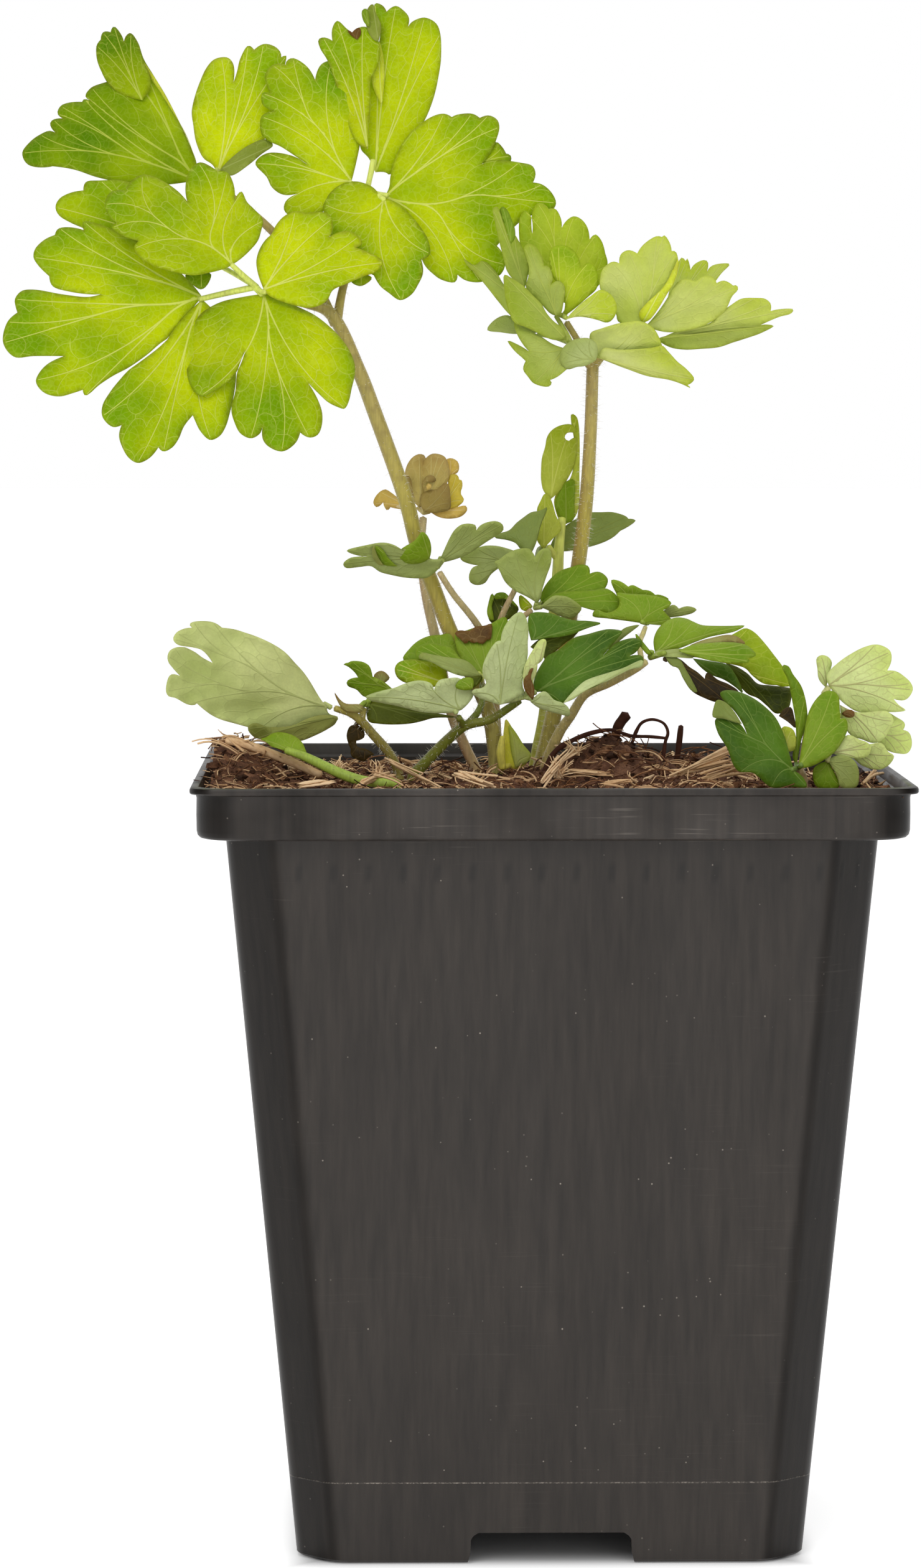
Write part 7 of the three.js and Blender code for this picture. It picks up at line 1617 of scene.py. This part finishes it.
def read_outline(text):
    """The drawn points of an outline, their kinds, and its smooth rim."""
    words = text.split()
    kinds = [word[0] if word[0] in "TS" else "-" for word in words]
    knots = np.array([[float(v) for v in word.lstrip("TS").split(",")] for word in words])
    loop = np.vstack([knots, knots[:1]])
    stops = [0] + [i for i, kind in enumerate(kinds) if kind == "S" and i > 0] + [len(knots)]
    rim = []
    for i, j in zip(stops[:-1], stops[1:]):
        run = loop[i:j + 1]
        if len(run) > 2:
            run = run_through(run, 8, round_ends=0.6)[0]
        far = np.concatenate([[0], np.cumsum(np.linalg.norm(np.diff(run, axis=0), axis=1))])
        count = max(2, int(round(far[-1] / RIM_STEP)))
        at = np.linspace(0, far[-1], count + 1)[:-1]
        rim.append(np.stack([np.interp(at, far, run[:, 0]), np.interp(at, far, run[:, 1])], axis=1))
    return knots, kinds, np.vstack(rim)


def centre_of(a, b, c):
    """The centre of the circle through three points, or none where they lie in a line."""
    d = 2 * (a.x * (b.y - c.y) + b.x * (c.y - a.y) + c.x * (a.y - b.y))
    if abs(d) < 1e-9:
        return None
    aa, bb, cc = a.length_squared, b.length_squared, c.length_squared
    return np.array([(aa * (b.y - c.y) + bb * (c.y - a.y) + cc * (a.y - b.y)) / d,
                     (aa * (c.x - b.x) + bb * (a.x - c.x) + cc * (b.x - a.x)) / d])


def vein_net(base, way, knots, rim, main, rng):
    """The net of thin veins: long cells that fan out from the base, drawn about scattered seeds."""
    reach = np.linalg.norm(knots - base, axis=1).max()
    step = min(2.0, max(0.75, reach * 0.085))
    spread, stretch = reach * 0.6, 1.9
    heading = math.atan2(way[1], way[0])
    seeds = []
    for j in range(int(2.7 * spread / (step * 0.87)) * 2):
        turn = -2.7 + j * step * 0.87 / spread
        if turn > 2.7:
            break
        for i in range(int(reach * 1.2 / stretch / step) + 2):
            far = (i + (0.5 if j % 2 else 0)) * step
            seeds.append(Vector((far + rng.uniform(-0.32, 0.32) * step,
                                 turn * spread + rng.uniform(-0.32, 0.32) * step)))
    points, _, tris = geometry.delaunay_2d_cdt(seeds, [], [], 0, 1e-6)[:3]
    centres = [centre_of(*(points[i] for i in t)) for t in tris]
    owners = {}
    for k, t in enumerate(tris):
        if centres[k] is not None:
            for pair in zip(t, (*t[1:], t[0])):
                owners.setdefault(tuple(sorted(pair)), []).append(k)
    lines = []
    for pair in owners.values():
        if len(pair) < 2:
            continue
        a, b = centres[pair[0]], centres[pair[1]]
        far = np.linalg.norm(a - b)
        if far > 4 * step or min(a[0], b[0]) * stretch < reach * 0.27:
            continue
        t = np.linspace(0, 1, max(3, int(far * stretch / VEIN_STEP) + 2))[:, None]
        across = np.array([a[1] - b[1], b[0] - a[0]]) * rng.uniform(-0.22, 0.22)
        run = a * (1 - t) + b * t + across * np.sin(math.pi * t)
        angle = heading + run[:, 1] / spread
        run = base + (run[:, 0] * stretch)[:, None] * np.stack([np.cos(angle), np.sin(angle)], axis=1)
        if within(run[[0, -1]], rim).any() and gap_to(run[len(run) // 2][None], main)[0] >= 0.28:
            lines.append(run)
    return lines


def grow_veins(knots, kinds, rim, rng):
    """Main veins fork from the base to every tip; side veins leave them at a slant."""
    tips = [i for i, kind in enumerate(kinds) if kind == "T"]
    base = knots[0]
    main, widths = [], []

    def notch(i, j):
        between = [k for k in range(i + 1, j) if kinds[k] == "S"] or list(range(i, j + 1))
        return min((knots[k] for k in between), key=lambda p: np.linalg.norm(p - base))

    def fork(start, ahead, group, level, width):
        if len(group) == 1:
            tip = knots[group[0]]
            far = np.linalg.norm(tip - start)
            end = tip + (start - tip) / far * min(0.35, far * 0.2)
            over = start + ahead * far * 0.4 + (end - start) * 0.15
            main.append(vein(start, over, end))
            widths.append((width, 0.08))
            return
        pairs = list(zip(group[:-1], group[1:]))
        cuts = [np.linalg.norm(notch(i, j) - base) + 0.15 * abs(k + 0.5 - len(pairs) / 2)
                for k, (i, j) in enumerate(pairs)]
        cut = int(np.argmin(cuts)) + 1
        depth = np.linalg.norm(notch(*pairs[cut - 1]) - start)
        for part in (group[:cut], group[cut:]):
            if len(part) == 1:
                fork(start, ahead, part, level + 1, width * 0.85)
                continue
            middle = knots[part].mean(axis=0)
            far = np.linalg.norm(middle - start)
            share = (0.05, 0.22, 0.35)[min(level, 2)] * min(1.0, depth / far + 0.2)
            at = start + (middle - start) * share
            if level:
                over = start + ahead * share * far * 0.5
                at = at * 0.85 + (start + ahead * share * far) * 0.15
            else:
                over = (start + at) / 2
            main.append(vein(start, over, at))
            widths.append((width, width * 0.85))
            fork(at, (at - over) / (np.linalg.norm(at - over) + 1e-9), part, level + 1, width * 0.85)

    reach = np.linalg.norm(knots - base, axis=1).max()
    middle = knots[tips].mean(axis=0) if tips else knots.mean(axis=0)
    way = (middle - base) / np.linalg.norm(middle - base)
    fork(base, way, tips or [int(np.argmax(np.linalg.norm(knots - base, axis=1)))], 0, 0.13 + 0.006 * reach)
    return main, widths, vein_net(base, way, knots, rim, main, rng)


def fill_outline(rim, lines, rng):
    """A flat mesh of triangles, all facing one way, with the rim and every vein as edges."""
    loop = np.vstack([rim, rim[:1]])
    flat, edges = [tuple(p) for p in rim], [(i, (i + 1) % len(rim)) for i in range(len(rim))]
    for run in lines:
        keep = run[within(run, rim) & (gap_to(run, [loop]) > 0.12)]
        if len(keep) > 1:
            edges += [(len(flat) + i, len(flat) + i + 1) for i in range(len(keep) - 1)]
            flat += [tuple(p) for p in keep]
    low, high = rim.min(axis=0), rim.max(axis=0)
    rows = np.arange(low[1], high[1], FILL_STEP * 0.866)
    fill = np.array([(x + (FILL_STEP / 2 if j % 2 else 0), z) for j, z in enumerate(rows)
                     for x in np.arange(low[0], high[0], FILL_STEP)])
    fill = fill + np.array([[rng.uniform(-0.06, 0.06), rng.uniform(-0.06, 0.06)] for _ in fill])
    fill = fill[within(fill, rim)]
    fill = fill[gap_to(fill, [loop]) > 0.24]
    flat += [tuple(p) for p in fill[gap_to(fill, lines) > 0.22]]
    for _ in range(3):
        # where an edge of the mesh jumps from one vein to another, a point goes in between
        spots, _, tris = geometry.delaunay_2d_cdt([Vector(p) for p in flat], edges, [], 1, 1e-4)[:3]
        spots = np.array([tuple(p) for p in spots])
        on_vein = gap_to(spots, lines) < 0.03
        ends = np.array([e for e in {(min(a, b), max(a, b)) for t in tris for a, b in zip(t, (*t[1:], t[0]))}
                         if on_vein[e[0]] and on_vein[e[1]]])
        if not len(ends):
            break
        halfway = (spots[ends[:, 0]] + spots[ends[:, 1]]) / 2
        halfway = halfway[gap_to(halfway, lines) > 0.05]
        if not len(halfway):
            break
        flat += [tuple(p) for p in halfway]
    spots, _, tris = geometry.delaunay_2d_cdt([Vector(p) for p in flat], edges, [], 1, 1e-4)[:3]
    flat = np.array([tuple(p) for p in spots])
    middle = np.array([flat[list(t)].mean(axis=0) for t in tris])
    tris = [tuple(t) for t, keep in zip(tris, within(middle, rim)) if keep]
    turns = [(flat[b] - flat[a])[0] * (flat[c] - flat[a])[1] - (flat[b] - flat[a])[1] * (flat[c] - flat[a])[0]
             for a, b, c in tris]
    return flat, [t if turn > 0 else t[::-1] for t, turn in zip(tris, turns)]


def read_finish(name):
    """The six colours of a finish, and how brown its rim is."""
    *hues, brown = FINISHES[name].split()
    return [np.array(tone(*(int(v) for v in hue.split(",")))) for hue in hues], float(brown)


def make_blade(row, index):
    """A blade's skin, the values of its points (colour, vein colour and gaps), and each face's side."""
    facing, finish, *lie, text = row
    depth0, lean_x, lean_z, fold, curl, roll = (float(v) for v in lie)
    rng = random.Random(900 + index)
    knots, kinds, rim = read_outline(text)
    if np.sum(rim[:, 0] * np.roll(rim[:, 1], -1) - np.roll(rim[:, 0], -1) * rim[:, 1]) < 0:
        rim = rim[::-1]
    main, widths, side = grow_veins(knots, kinds, rim, rng)
    flat, tris = fill_outline(rim, main + side, rng)

    def own(p):
        """How far points lie along the blade and across it."""
        d = p - base
        return d @ axis, d[:, 1] * axis[0] - d[:, 0] * axis[1]

    base = knots[0]
    axis = knots.mean(axis=0) - base
    axis /= np.linalg.norm(axis)
    length, width = own(knots)[0].max(), np.abs(own(knots)[1]).max()
    along, across = own(flat)
    to_main, to_rim = gap_to(flat, main), gap_to(flat, [np.vstack([rim, rim[:1]])])
    to_side = gap_to(flat, side) if side else np.full(len(flat), 9.0)
    size = min(1.0, max(length, 2 * width) / 22)
    swell = 0.55 * size * (1 - np.exp(-(to_main / (0.7 + 1.1 * size)) ** 2))
    swell = swell + (0.05 + 0.09 * size) * (1 - np.exp(-(to_side / 0.5) ** 2))
    swell = swell * (1 - np.exp(-to_rim / 0.5)) - 0.1 * size
    sway = np.array([noise.noise(Vector((p[0] * 0.16, p[1] * 0.16, index * 3.1))) for p in flat])
    ripple = np.array([noise.noise(Vector((p[0] * 0.55, p[1] * 0.55, index * 1.7 + 40))) for p in flat])
    droop = np.exp(-(to_rim / 0.9) ** 2)
    rise = swell + size * (0.85 * sway * np.clip(along / 3, 0, 1) + 0.35 * ripple * droop - 0.35 * droop)
    toward = 1 if facing == "top" else -1
    slant = math.hypot(1, lean_x, lean_z)
    depth = depth0 + lean_x * (flat[:, 0] - base[0]) + lean_z * (flat[:, 1] - base[1])
    depth = depth + fold * np.abs(across) + curl * (along / length) ** 2 + roll * (across / width) ** 2
    depth = depth - toward * rise * min(slant, 1.4)
    half = BLADE_THICK / 2 * slant * np.clip(0.3 + to_rim / 0.6, 0.3, 1)
    points = [place(np.stack([flat[:, 0], flat[:, 1], at], axis=1)) for at in (depth - half, depth + half)]

    # the two sides are joined along the edges that only one triangle has
    n = len(flat)
    near, far = (0, 1) if facing == "top" else (1, 0)
    edges = {pair: None for t in tris for pair in zip(t, (*t[1:], t[0]))}
    rims = [(b, a, a + n, b + n) for a, b in edges if (b, a) not in edges]
    faces = tris + [(c + n, b + n, a + n) for a, b, c in tris] + rims
    sides = [near] * len(tris) + [far] * len(tris) + [near] * len(rims)

    hues, brown = read_finish(finish)
    tones = [np.minimum(hue * BRIGHTER, 1) for hue in hues]
    tips = knots[[k for k, kind in enumerate(kinds) if kind == "T"]]
    to_tip = length - along
    if len(tips):
        to_tip = np.min(np.linalg.norm(flat[:, None] - tips[None], axis=2), axis=1)
    away = np.linalg.norm(flat - base, axis=1) / np.linalg.norm(knots - base, axis=1).max()
    mix = 0.1 + 0.75 * away ** 1.6 + 0.3 * np.exp(-to_tip / (0.12 * length + 0.8))
    mix = mix + 0.75 * sway + 0.15 * ripple
    mix = np.clip(mix - 0.12 * np.exp(-(to_main / 0.9) ** 2), 0, 1)[:, None]
    warm = np.exp(-(to_rim / 0.35) ** 2)[:, None] * 0.5
    front = (tones[0] * (1 - mix) + tones[1] * mix) * (1 - warm) + tones[2] * warm
    back = tones[4] * (1 - 0.25 * mix) + tones[1] * 0.25 * mix
    singe = 0.8 * brown * (np.exp(-to_rim / 0.16) - 0.3)
    singe = singe + brown * 1.2 * np.clip(ripple - 0.15, 0, 1) * np.exp(-to_rim / 0.35)
    singe = np.clip(singe, 0, 0.75)[:, None]
    scorch = np.array(tone(126, 84, 30)) * singe
    gaps = np.stack([gap_to(flat, main, widths), to_side, to_rim], axis=1)
    values = [np.hstack([colour * (1 - singe) + scorch, np.tile(veins, (n, 1)), gaps])
              for colour, veins in ((front, tones[3]), (back, tones[5]))]
    return (np.vstack(points), faces), np.vstack(values), sides


young = [leaf_paint("young upper leaf skin", 0.55, 0.06, 0.4, raised=False),
         leaf_paint("young under leaf skin", 0.65, 0.06, 0.4, raised=True)]
grown = [leaf_paint("upper leaf skin", 0.5, 0.2, 0.25, raised=False),
         leaf_paint("under leaf skin", 0.65, 0.2, 0.25, raised=True)]
NO_VEIN = 9.0

index = 0
for name, text in LEAVES.items():
    rows = []
    for line in text.strip().split("\n"):
        if "," in line:
            rows[-1][-1] += line + " "
        else:
            rows.append([*line.split(), ""])
    heap = Heap()
    for row in rows:
        heap.add(*make_blade(row, index))
        index += 1
    hues, _ = read_finish(rows[0][1])
    stub_tone = hues[3] * 0.75 + hues[1] * 0.25
    for way in SHORT_STALKS[name].split("/") if name in SHORT_STALKS else ():
        at, radii = read_way(way)
        path, along = run_through(at, 6)
        skin = tube(path, np.interp(along, range(len(radii)), radii), 10)
        values = np.tile([*stub_tone, *stub_tone, NO_VEIN, NO_VEIN, NO_VEIN], (len(skin[0]), 1))
        heap.add(skin, values, 2)
    slot = next(slot for slot, names in LEAF_SLOTS.items() if name in names.split())
    piece = heap.piece(name + "_blades", [*(young if slot == "lime" else grown), flesh])
    values = np.vstack(heap.values)
    for label, low, high in (("leaf", 0, 4), ("line", 4, 8), ("stem", 0, 4), ("gaps", 8, 11)):
        carry(piece, label, values[:, low:high])
    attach(piece, "root")
    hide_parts(name)
